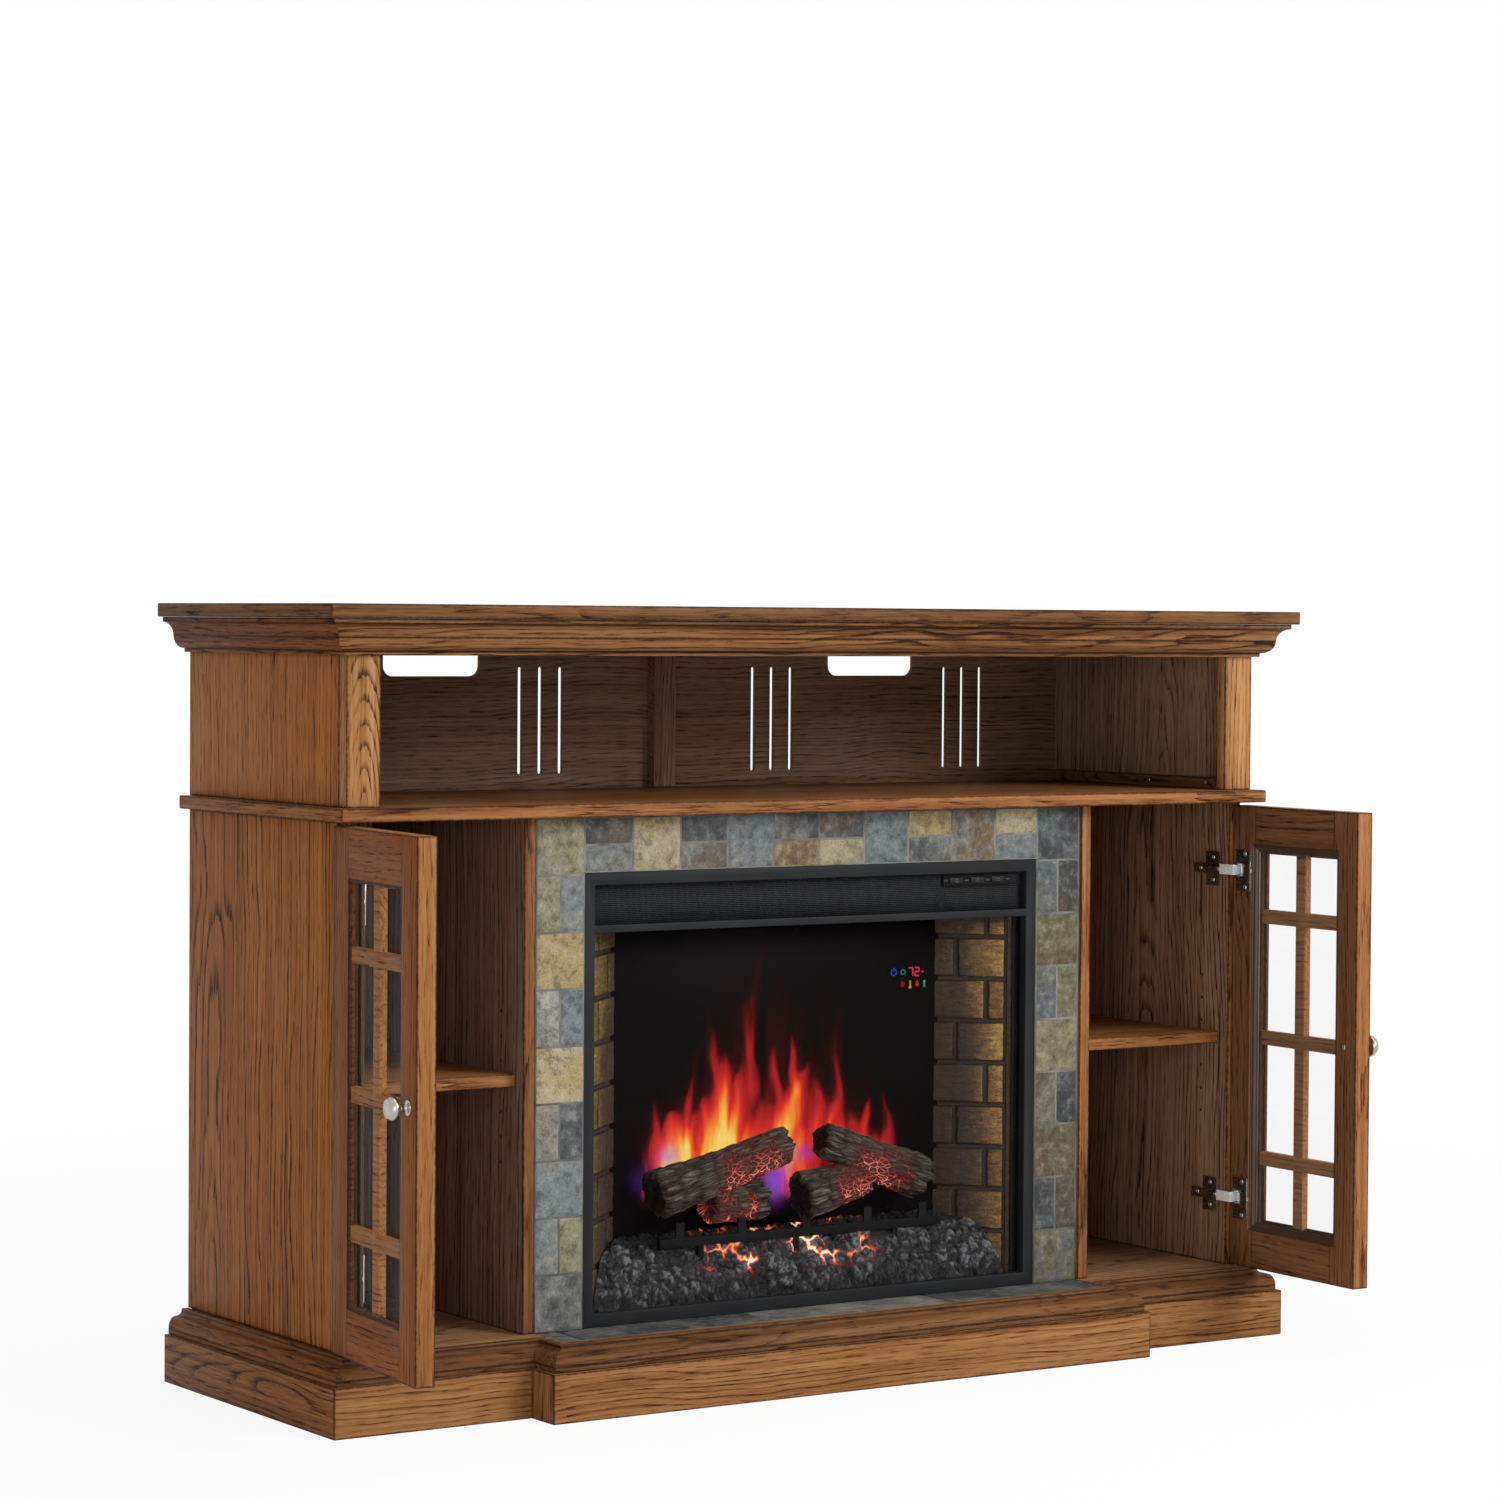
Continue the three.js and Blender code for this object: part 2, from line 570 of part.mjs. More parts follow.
function addHearth() {
  add('hearth_tiles', block([-hearthHalfWidth, hearthHalfWidth],
    [fromBack(hearth.back), fromBack(hearthFront)], [hearthBottom, hearthTop]), 'slate');
}

function addInsertFrame() {
  const plate = block([-insert.halfWidth, insert.halfWidth],
    [fromBack(frameBack), fromBack(insert.front)], [insertBottom, insertTop]);
  const crossBottom = insertBottom + insert.crossBottom;
  const through = [fromBack(frameBack - overrun), fromBack(insert.front + overrun)];
  const fireWindow = block([-windowHalfWidth, windowHalfWidth], through,
    [insertBottom + insert.bottomRail, crossBottom]);
  const grilleWindow = block([-windowHalfWidth, windowHalfWidth], through,
    [crossBottom + insert.crossHeight, insertTop - insert.topRail]);
  add('insert_frame', shaped([plate], [fireWindow, grilleWindow]), 'blackSteel');
}

function addFrontGlass() {
  const half = windowHalfWidth + glass.overlap;
  add('front_glass', block([-half, half],
    [fromBack(frameBack - fit), fromBack(frameBack - fit - glass.thickness)],
    [insertBottom + insert.bottomRail - glass.overlap,
      insertBottom + insert.crossBottom + insert.crossHeight / 2]), 'clearGlass');
}

const grilleFront = frameBack - fit;
const stripTop = insertTop - insert.topRail - controlStrip.topGap;
const stripMiddle = stripTop - controlStrip.height / 2;
const buttonPlaces = ['power_button', 'flame_button', 'heat_button'].map((name, i) => ({
  name, x: controlStrip.center + (i - 1) * controlButton.pitch,
}));

function addGrille() {
  const half = windowHalfWidth + glass.overlap;
  const bottom = insertBottom + insert.crossBottom + insert.crossHeight / 2 + 2 * fit;
  const windowBottom = insertBottom + insert.crossBottom + insert.crossHeight;
  const windowTop = insertTop - insert.topRail;
  const back = fromBack(grilleFront - grille.thickness);
  const plate = block([-half, half], [back, fromBack(grilleFront)],
    [bottom, windowTop + glass.overlap]);
  const stripEdge = controlStrip.center - controlStrip.width / 2;
  const strip = block([stripEdge, stripEdge + controlStrip.width],
    [back, fromBack(grilleFront + controlStrip.proud)],
    [stripTop - controlStrip.height, stripTop]);
  const through = [back + overrun, fromBack(grilleFront + controlStrip.proud + overrun)];
  const cuts = buttonPlaces.map(({ x }) => block(
    [x - controlButton.width / 2 - fit, x + controlButton.width / 2 + fit], through,
    [stripMiddle - controlButton.height / 2 - fit, stripMiddle + controlButton.height / 2 + fit]));
  const columnPitch = 2 * (windowHalfWidth - grille.margin) / grille.columns;
  const rowPitch = (windowTop - windowBottom) / grille.rows;
  for (let row = 0; row < grille.rows; row++) {
    const z = windowBottom + (row + 0.5) * rowPitch;
    for (let column = 0; column < grille.columns; column++) {
      const x = -windowHalfWidth + grille.margin + (column + 0.5) * columnPitch;
      const nearStrip = x + columnPitch / 2 > stripEdge &&
        z + grille.slotHeight > stripTop - controlStrip.height;
      if (nearStrip) continue;
      cuts.push(block([x - grille.slotWidth / 2, x + grille.slotWidth / 2], through,
        [z - grille.slotHeight / 2, z + grille.slotHeight / 2]));
    }
  }
  add('heater_grille', shaped([plate, strip], cuts), 'blackSteel');
}

function addControlButtons() {
  const front = grilleFront + controlStrip.proud + controlButton.proud;
  for (const { name, x } of buttonPlaces) {
    add(name, block([x - controlButton.width / 2, x + controlButton.width / 2],
      [fromBack(front - controlButton.depth), fromBack(front)],
      [stripMiddle - controlButton.height / 2, stripMiddle + controlButton.height / 2]),
    'blackPlastic');
  }
}

// A bearing bracket pair for a shaft across the casing, with the motor on the right one
function bearing(machine, baseZ) {
  const y = fromBack(machine.center);
  const z = casingBottom + machine.height;
  const inner = machine.halfLength + machine.endGap;
  const plates = sides.map(([, side]) => block(
    [side * inner, side * (inner + 2 * casing.sheet)],
    [y - machine.bracket, y + machine.bracket], [baseZ, z + machine.bracket]));
  const can = barAlongX([inner + casing.sheet, inner + casing.sheet + motor.length], y, z,
    Math.min(motor.radius, machine.bracket), motor.sides);
  const reach = inner + 2 * casing.sheet + machine.shaftEnd;
  const bore = barAlongX([-reach - overrun, reach + fit], y, z, shaft.radius + shaft.play,
    motor.sides);
  return { joined: [...plates, can], bore, reach, y, z };
}

const rotorBearing = bearing(rotor, casingBottom);
const blowerBearing = bearing(blower, shelfBottom);

function addCasing() {
  const [front, back] = [fromBack(casing.front), fromBack(casing.back)];
  const shell = block([-casingHalfWidth, casingHalfWidth], [front, back],
    [casingBottom, casingTop]);
  const inner = casingHalfWidth - casing.sheet;
  const hollow = block([-inner, inner], [front - overrun, back - casing.sheet],
    [casingFloor, casingTop - casing.sheet]);
  const walls = shaped([shell], [hollow]);
  const flangeInner = casingHalfWidth - casing.flangeWidth;
  const ring = shaped([block([-casingHalfWidth, casingHalfWidth], [front, front + casing.sheet],
    [casingBottom, casingTop])], [block([-flangeInner, flangeInner],
    [front - overrun, front + overrun],
    [casingBottom + casing.sheet + seat, casingTop - casing.sheet - seat])]);
  const shelf = block([-inner - casing.sheet / 2, inner + casing.sheet / 2],
    [front, back - casing.sheet / 2], [shelfBottom, shelfBottom + casing.sheet]);
  const flangeY = fromBack(casing.screenFlangeFront);
  const flanges = sides.map(([, side]) => block(
    [side * (casingHalfWidth - casing.screenFlangeWidth), side * (inner + casing.sheet / 2)],
    [flangeY, flangeY + casing.sheet], [casingBottom, shelfBottom + casing.sheet]));
  const gland = barAlongY(cordGland.offset, [back - casing.sheet / 2, back + cordGland.length],
    casingBottom + cordGland.height, cordGland.radius, motor.sides);
  const vents = [];
  for (let row = 0; row < casingVents.rows; row++) {
    for (let column = 0; column < casingVents.columns; column++) {
      const x = (column - (casingVents.columns - 1) / 2) * casingVents.pitchAcross;
      const z = shelfBottom - (row + 1) * casingVents.pitchUp;
      vents.push(block([x - casingVents.width / 2, x + casingVents.width / 2],
        [back - casing.sheet - overrun, back + overrun], [z, z + casingVents.height]));
    }
  }
  add('insert_casing', shaped(
    [walls, ring, shelf, ...flanges, gland, ...rotorBearing.joined, ...blowerBearing.joined],
    [rotorBearing.bore, blowerBearing.bore, ...vents]), 'blackSteel');
}

function addScreen() {
  const back = fromBack(casing.screenFlangeFront + fit);
  add('flame_screen', block([-screen.halfWidth, screen.halfWidth],
    [back, fromBack(screenFront)], [casingFloor + fit, shelfBottom - fit]), 'smokedScreen');
}

// Inner face of a brick panel, as the half width at a distance from the back
const brickFront = casing.front - casing.sheet - fit;
const brickBack = screenFront + fit;
function brickHalfGap(distance) {
  const share = (distance - brickBack) / (brickFront - brickBack);
  return brick.backHalfGap + (brick.frontHalfGap - brick.backHalfGap) * share;
}

function addBrickPanels() {
  for (const [name, side] of sides) {
    const corners = [[brickFront, 0], [brickBack, 0], [brickBack, brick.thickness],
      [brickFront, brick.thickness]];
    const outline = corners.map(([distance, outward]) =>
      [side * (brickHalfGap(distance) + outward), fromBack(distance)]);
    add(`brick_panel_${name}`, uprightPrism(outline, [casingFloor + fit, shelfBottom - fit]),
      'brickwork');
  }
}

// Height of the ember bed over the casing's floor: a slope that rises from the front, with
// lumps from three waves across it
function emberHeight(acrossShare, deepShare) {
  const slope = embers.frontHeight + (embers.backHeight - embers.frontHeight) *
    Math.sin(deepShare * Math.PI / 2);
  const broad = Math.sin(acrossShare * emberWaves.across) *
    Math.sin(deepShare * emberWaves.deepTurn + acrossShare * emberWaves.acrossTurn);
  const fine = Math.sin(acrossShare * emberWaves.fineAcross + deepShare * emberWaves.fineDeep);
  return slope + embers.lump * (broad + emberWaves.fineShare * fine);
}

function addEmberBed() {
  const bottom = casingFloor + fit;
  const [front, back] = [brickFront - fit, brickBack];
  const positions = [];
  for (const level of ['under', 'over']) {
    for (let j = 0; j <= embers.stepsDeep; j++) {
      const deepShare = j / embers.stepsDeep;
      const distance = front + (back - front) * deepShare;
      const half = brickHalfGap(distance) - embers.sidePlay;
      for (let i = 0; i <= embers.stepsAcross; i++) {
        const acrossShare = i / embers.stepsAcross;
        const z = level === 'under' ? bottom : bottom + emberHeight(acrossShare, deepShare);
        positions.push((2 * acrossShare - 1) * half, fromBack(distance), z);
      }
    }
  }
  const row = embers.stepsAcross + 1;
  const layer = row * (embers.stepsDeep + 1);
  const index = [];
  const quad = (a, b, c, d) => index.push(a, b, c, a, c, d);
  for (let j = 0; j < embers.stepsDeep; j++) {
    for (let i = 0; i < embers.stepsAcross; i++) {
      const a = j * row + i;
      quad(a, a + row, a + row + 1, a + 1);
      quad(layer + a, layer + a + 1, layer + a + row + 1, layer + a + row);
    }
  }
  for (let i = 0; i < embers.stepsAcross; i++) {
    const far = embers.stepsDeep * row + i;
    quad(i, i + 1, layer + i + 1, layer + i);
    quad(far + 1, far, layer + far, layer + far + 1);
  }
  for (let j = 0; j < embers.stepsDeep; j++) {
    const a = j * row;
    const b = a + embers.stepsAcross;
    quad(a + row, a, layer + a, layer + a + row);
    quad(b, b + row, layer + b + row, layer + b);
  }
  const legs = grateLegs.map((x) => grateLeg(x, fit, bottom - overrun));
  const seats = Object.values(logs).map((log) => logGeometry(log, fit));
  add('ember_bed', shaped([surfaceOf(positions, index)], [...legs, grateBar(fit), ...seats]),
    'charcoal');
}

function grateLeg(x, play, bottom) {
  const half = grate.legWidth / 2 + play;
  return block([x - half, x + half],
    [fromBack(grate.back) + play, fromBack(grate.back + grate.depth) - play],
    [bottom, casingBottom + grate.bottom + grate.height / 2]);
}

function grateTab(x, play) {
  const barTop = casingBottom + grate.bottom + grate.height;
  const front = fromBack(grate.back + grate.depth);
  return block([x - grate.tabWidth / 2 - play, x + grate.tabWidth / 2 + play],
    [front - play, front + grate.depth / 2 + play],
    [barTop - grate.height / 2, barTop + grate.tabHeight + play]);
}

function grateBar(play) {
  const bottom = casingBottom + grate.bottom;
  return block([-grate.left - play, grate.right + play],
    [fromBack(grate.back) + play, fromBack(grate.back + grate.depth) - play],
    [bottom - play, bottom + grate.height + play]);
}

function addGrate() {
  const tabs = grateTabs.map((x) => grateTab(x, 0));
  const legs = grateLegs.map((x) => grateLeg(x, 0, casingFloor + fit));
  add('grate', shaped([grateBar(0), ...tabs, ...legs]), 'blackSteel');
}

// A log: rings of corners along a slightly bent line, with a bark of uneven radius
function logGeometry({ from, to, radii, bumpShare }, swell = 0) {
  const place = ([x, distance, height]) =>
    new THREE.Vector3(x, fromBack(distance), casingBottom + height);
  const [start, end] = [place(from), place(to)];
  const along = end.clone().sub(start).normalize();
  const sideways = new THREE.Vector3(0, 1, 0).cross(along).normalize();
  const upwards = along.clone().cross(sideways);
  const positions = [];
  for (let ring = 0; ring <= logMesh.rings; ring++) {
    const share = ring / logMesh.rings;
    const center = start.clone().lerp(end, share);
    const radius = radii[0] + (radii[1] - radii[0]) * share + swell;
    for (let k = 0; k < logMesh.sides; k++) {
      const angle = 2 * Math.PI * k / logMesh.sides;
      const bump = 1 + bumpShare * Math.sin(barkWaves.ridges * angle + barkWaves.twist * share) *
        Math.cos(barkWaves.swells * share + angle);
      const point = center.clone().addScaledVector(sideways, radius * bump * Math.cos(angle))
        .addScaledVector(upwards, radius * bump * Math.sin(angle));
      positions.push(point.x, point.y, point.z);
    }
  }
  positions.push(start.x, start.y, start.z, end.x, end.y, end.z);
  const [startCenter, endCenter] = [positions.length / 3 - 2, positions.length / 3 - 1];
  const index = [];
  for (let k = 0; k < logMesh.sides; k++) {
    const next = (k + 1) % logMesh.sides;
    for (let ring = 0; ring < logMesh.rings; ring++) {
      const a = ring * logMesh.sides;
      const b = a + logMesh.sides;
      index.push(a + k, a + next, b + next, a + k, b + next, b + k);
    }
    const last = logMesh.rings * logMesh.sides;
    index.push(startCenter, next, k, endCenter, last + k, last + next);
  }
  return surfaceOf(positions, index);
}

function addLogs() {
  const cuts = [grateBar(fit), ...grateTabs.map((x) => grateTab(x, fit))];
  add('log_left', shaped([logGeometry(logs.left), logGeometry(logs.stub)], cuts), 'bark');
  add('log_right_rear', shaped([logGeometry(logs.rear)], cuts), 'bark');
  add('log_right_front', shaped([logGeometry(logs.front)],
    [...cuts, logGeometry(logs.rear, fit)]), 'bark');
}

function addFlameRotor() {
  const { y, z, reach } = rotorBearing;
  const parts = [barAlongX([-reach, reach], y, z, shaft.radius, motor.sides)];
  for (let i = 0; i < rotor.vanes; i++) {
    const x = (2 * (i + 0.5) / rotor.vanes - 1) * (rotor.halfLength - rotor.vaneWidth / 2);
    const vane = block([-rotor.vaneWidth / 2, rotor.vaneWidth / 2],
      [-rotor.vaneThickness / 2, rotor.vaneThickness / 2], [-rotor.vane, rotor.vane]);
    const turn = THREE.MathUtils.degToRad(i * rotor.vaneStepDegrees);
    parts.push(vane.rotateX(turn).translate(x, y, z));
  }
  add('flame_rotor', shaped(parts), 'aluminium');
}

function addBlowerWheel() {
  const { y, z, reach } = blowerBearing;
  const parts = [barAlongX([-reach, reach], y, z, shaft.radius, motor.sides)];
  for (let i = 0; i < blower.discs; i++) {
    const x = (2 * i / (blower.discs - 1) - 1) * (blower.halfLength - blower.discThickness / 2);
    parts.push(barAlongX([x - blower.discThickness / 2, x + blower.discThickness / 2], y, z,
      blower.radius, motor.sides));
  }
  for (let i = 0; i < blower.blades; i++) {
    const blade = block([-blower.halfLength, blower.halfLength],
      [-blower.bladeThickness / 2, blower.bladeThickness / 2],
      [blower.radius - blower.bladeDepth, blower.radius - shaft.play]);
    parts.push(blade.rotateX(2 * Math.PI * i / blower.blades).translate(0, y, z));
  }
  add('blower_wheel', shaped(parts), 'aluminium');
}

// Doors
const pivotX = caseHalfWidth - pivot.fromEdge;
const pivotDistance = lowerCase.depth + pivot.doorGap + pivot.fromInner;
const doorOuterFace = door.thickness - pivot.fromInner;
const doorBottom = deckTop + door.bottomGap;

// A block of a door: along from the hinge axis to the free edge, out towards the outer face
function doorBlock(side, along, out, zs) {
  return block(along.map((value) => -side * value), out.map((value) => -value), zs);
}

// The round cup with its two cheeks, from a distance off the inner face to the cup's floor
function cupBody(side, z, standOff, play) {
  const depth = [-pivot.fromInner - standOff, cup.depth - pivot.fromInner + play];
  const round = barAlongY(-side * cup.center, depth.map((value) => -value), z,
    cup.radius + play, cup.sides);
  const cheeks = doorBlock(side, [-cup.cheekStart - play, cup.cheekEnd], depth,
    [z - cup.cheekHalfHeight - play, z + cup.cheekHalfHeight + play]);
  return [round, cheeks];
}

function cupWell(side, z, play) {
  return doorBlock(side, [-cup.wellStart - play, cup.wellEnd],
    [-pivot.fromInner - overrun, cup.depth - cup.floor - pivot.fromInner],
    [z - cup.wellHalfHeight - play, z + cup.wellHalfHeight + play]);
}

function doorFrameGeometry(side) {
  const [hingeEdge, freeEdge] = [-pivot.fromEdge, door.width - pivot.fromEdge];
  const openAlong = [hingeEdge + door.stileWidth, freeEdge - door.stileWidth];
  const openUp = [doorBottom + door.bottomRailHeight, doorBottom + door.height - door.topRailHeight];
  const faces = [-pivot.fromInner, doorOuterFace];
  const slab = doorBlock(side, [hingeEdge, freeEdge], faces,
    [doorBottom, doorBottom + door.height]);
  const opening = doorBlock(side, openAlong, [faces[0] - overrun, faces[1] + overrun], openUp);
  const barFaces = [faces[1] - door.barSetback - door.barDepth, faces[1] - door.barSetback];
  const rebateCut = doorBlock(side, [openAlong[0] - rebate.width, openAlong[1] + rebate.width],
    [faces[0] - overrun, barFaces[0]], [openUp[0] - rebate.width, openUp[1] + rebate.width]);
  const middle = (openAlong[0] + openAlong[1]) / 2;
  const bars = [doorBlock(side, [middle - door.muntinWidth / 2, middle + door.muntinWidth / 2], barFaces,
    [openUp[0] - seat, openUp[1] + seat])];
  const tallPane = (openUp[1] - openUp[0] - 3 * door.barHeight - 2 * door.shortPaneHeight) / 2;
  const barStarts = [openUp[0] + door.shortPaneHeight,
    openUp[0] + door.shortPaneHeight + door.barHeight + tallPane,
    openUp[1] - door.shortPaneHeight - door.barHeight];
  for (const z of barStarts) {
    bars.push(doorBlock(side, [openAlong[0] - seat, openAlong[1] + seat], barFaces,
      [z, z + door.barHeight]));
  }
  let solid = solidOf(slab).subtract(solidOf(opening)).subtract(solidOf(rebateCut));
  for (const bar of bars) solid = solid.add(solidOf(bar));
  for (const z of Object.values(hingeHeights)) {
    for (const cut of [...cupBody(side, z, overrun, fit), cupWell(side, z, fit)]) {
      solid = solid.subtract(solidOf(cut));
    }
  }
  return geometryOf(solid);
}

function doorGlassGeometry(side) {
  const back = doorOuterFace - door.barSetback - door.barDepth - fit;
  const reach = rebate.width - fit;
  return doorBlock(side,
    [-pivot.fromEdge + door.stileWidth - reach, door.width - pivot.fromEdge - door.stileWidth + reach],
    [back - rebate.glassThickness, back],
    [doorBottom + door.bottomRailHeight - reach, doorBottom + door.height - door.topRailHeight + reach]);
}

function knobGeometry(side) {
  const profile = [[0, 0], [knob.foot, 0], [knob.foot, knob.footHeight / 2],
    [knob.neck + knob.footHeight / 2, knob.footHeight], [knob.neck, knob.neckHeight / 2],
    [knob.neck, knob.neckHeight], [knob.head, knob.headStart + knob.footHeight],
    [knob.head, knob.rim], [knob.crownRadius, knob.crown], [knob.dishRadius, knob.dish],
    [0, knob.dish]];
  const geometry = new THREE.LatheGeometry(
    profile.map(([radius, out]) => new THREE.Vector2(radius, out)), cup.sides);
  const along = door.width - pivot.fromEdge - door.stileWidth / 2;
  return geometry.rotateX(Math.PI).translate(-side * along, -(doorOuterFace + fit), knob.height);
}

function hingeCupGeometry(side, z) {
  const flange = doorBlock(side, [cup.flangeStart, cup.flangeEnd],
    [-pivot.fromInner - fit - cup.flangeThickness, -pivot.fromInner - fit],
    [z - cup.flangeHalfHeight, z + cup.flangeHalfHeight]);
  const pinBar = barAlongZ(0, 0, [z - cup.wellHalfHeight - fit, z + cup.wellHalfHeight + fit],
    pin.radius, cup.sides / 2);
  const sunk = cupBody(side, z, fit + cup.flangeThickness / 2, 0);
  const body = solidOf(shaped([...sunk, flange], [cupWell(side, z, 0)]));
  return geometryOf(body.add(solidOf(pinBar)));
}

function hingeArmGeometry(side, z) {
  const inward = (distance) => side * (sideInner - arm.wallPlay - distance);
  const plateOuter = arm.plateThickness;
  const legOuter = plateOuter - arm.overlap;
  const [px, py] = [side * pivotX, fromBack(pivotDistance)];
  const heights = [z - arm.halfHeight, z + arm.halfHeight];
  const plate = block([inward(0), inward(plateOuter)],
    [fromCaseFront(arm.plateBack), fromCaseFront(arm.plateFront)],
    [z - arm.plateHalfHeight, z + arm.plateHalfHeight]);
  const leg = block([inward(legOuter), inward(legOuter + arm.thickness)],
    [fromCaseFront(arm.tail), py - arm.linkThickness / 2], heights);
  const link = block([inward(legOuter + arm.thickness), px],
    [py - arm.linkThickness / 2, py + arm.linkThickness / 2], heights);
  const knuckle = barAlongZ(px, py, heights, pin.knuckle, cup.sides);
  const bore = barAlongZ(px, py, [heights[0] - overrun, heights[1] + overrun],
    pin.radius + fit, cup.sides);
  return shaped([plate, leg, link, knuckle], [bore]);
}

function addDoors() {
  for (const [name, side] of sides) {
    const group = new THREE.Group();
    group.position.set(side * pivotX, fromBack(pivotDistance), 0);
    group.rotation.z = side * THREE.MathUtils.degToRad(openAngles[`${name}Degrees`]);
    stand.add(group);
    add(`${name}_door_frame`, doorFrameGeometry(side), 'oak', group);
    add(`${name}_door_glass`, doorGlassGeometry(side), 'clearGlass', group);
    add(`${name}_door_knob`, knobGeometry(side), 'nickel', group);
    for (const [level, z] of Object.entries(hingeHeights)) {
      add(`${name}_hinge_cup_${level}`, hingeCupGeometry(side, z), 'brightSteel', group);
      add(`${name}_hinge_arm_${level}`, hingeArmGeometry(side, z), 'brightSteel');
    }
  }
}

addTop();
addCrown();
addUpperCase();
addUpperBack();
addLowerCase();
addDeck();
addBaseMoulding();
addPlinth();
addSurround();
addHearth();
addInsertFrame();
addFrontGlass();
addGrille();
addControlButtons();
addCasing();
addScreen();
addBrickPanels();
addEmberBed();
addGrate();
addLogs();
addFlameRotor();
addBlowerWheel();
addDoors();

export default stand;
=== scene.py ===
"""Looks of an oak media stand with a slate-faced electric fireplace between two glazed cupboards.

The model gives the plain solids. Each of them gets its finish here, and the fine work is added:
slate tiles with their grout, moulded brick, embers, logs and flames, the woven grille, knobs,
beads, screws and shelf pins. Lengths are metres in the frame of the model: X to the right, Y to
the back, Z up, with the floor at zero.
"""
from __future__ import annotations

import logging
import math
from dataclasses import dataclass, field, replace
from enum import Enum

import bmesh
import bpy
import numpy as np
from mathutils import Matrix, Vector

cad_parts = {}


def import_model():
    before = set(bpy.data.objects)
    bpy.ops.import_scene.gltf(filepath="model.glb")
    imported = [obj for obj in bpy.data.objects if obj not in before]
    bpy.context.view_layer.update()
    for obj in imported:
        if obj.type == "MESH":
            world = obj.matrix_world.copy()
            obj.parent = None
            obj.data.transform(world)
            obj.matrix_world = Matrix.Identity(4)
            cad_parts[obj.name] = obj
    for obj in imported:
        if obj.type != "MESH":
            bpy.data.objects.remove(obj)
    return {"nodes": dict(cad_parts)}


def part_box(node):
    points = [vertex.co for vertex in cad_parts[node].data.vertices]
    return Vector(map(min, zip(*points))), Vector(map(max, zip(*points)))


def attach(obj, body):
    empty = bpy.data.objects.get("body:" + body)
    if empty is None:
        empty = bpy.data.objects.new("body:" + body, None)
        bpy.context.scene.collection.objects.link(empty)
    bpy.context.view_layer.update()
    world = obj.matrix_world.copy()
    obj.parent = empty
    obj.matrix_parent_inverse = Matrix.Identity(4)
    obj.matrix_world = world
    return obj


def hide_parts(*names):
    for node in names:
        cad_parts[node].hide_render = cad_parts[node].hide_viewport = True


log = logging.getLogger("media_stand")

Array = np.ndarray
Colour = tuple[float, float, float]
Triple = tuple[float, float, float]
Socket = bpy.types.NodeSocket
Nodes = dict[str, bpy.types.Object]
MM = 0.001
BLACK = (0.0, 0.0, 0.0)


# Shader building


class Scalar:
    """A number that varies over a surface. Arithmetic on it adds Math nodes to its tree."""

    def __init__(self, tree: Tree, socket: Socket) -> None:
        """Keeps the tree and the socket that gives the number."""
        self.tree = tree
        self.socket = socket

    def __add__(self, other: Scalar | float) -> Scalar:
        """Gives the sum."""
        return self.tree.math("ADD", self, other)

    def __sub__(self, other: Scalar | float) -> Scalar:
        """Gives the difference."""
        return self.tree.math("SUBTRACT", self, other)

    def __rsub__(self, other: float) -> Scalar:
        """Gives a plain number less this one."""
        return self.tree.math("SUBTRACT", other, self)

    def __mul__(self, other: Scalar | float) -> Scalar:
        """Gives the product."""
        return self.tree.math("MULTIPLY", self, other)

    __radd__ = __add__
    __rmul__ = __mul__

    def least(self, other: Scalar | float) -> Scalar:
        """Gives the smaller of the two."""
        return self.tree.math("MINIMUM", self, other)

    def most(self, other: Scalar | float) -> Scalar:
        """Gives the larger of the two."""
        return self.tree.math("MAXIMUM", self, other)

    def size(self) -> Scalar:
        """Gives the number without its sign."""
        return self.tree.math("ABSOLUTE", self)

    def fraction(self) -> Scalar:
        """Gives what is left above the next whole number below."""
        return self.tree.math("FRACT", self)

    def root(self) -> Scalar:
        """Gives the square root."""
        return self.tree.math("SQRT", self)

    def below(self, limit: float) -> Scalar:
        """Gives 1 where the number is less than the limit, else 0."""
        return self.tree.math("LESS_THAN", self, limit)

    def clamped(self) -> Scalar:
        """Keeps the number between 0 and 1."""
        return self.tree.math("ADD", self, 0.0, clamp=True)

    def eased(self, low: float, high: float) -> Scalar:
        """Rises smoothly from 0 at the low mark to 1 at the high one.

        Args:
            low: The number at which the result is 0.
            high: The number at which the result is 1.

        Returns:
            The eased share.
        """
        node = self.tree.node(
            "ShaderNodeMapRange", {"interpolation_type": "SMOOTHSTEP"},
            {"Value": self, "From Min": low, "From Max": high, "To Min": 0.0, "To Max": 1.0})
        return Scalar(self.tree, node.outputs["Result"])


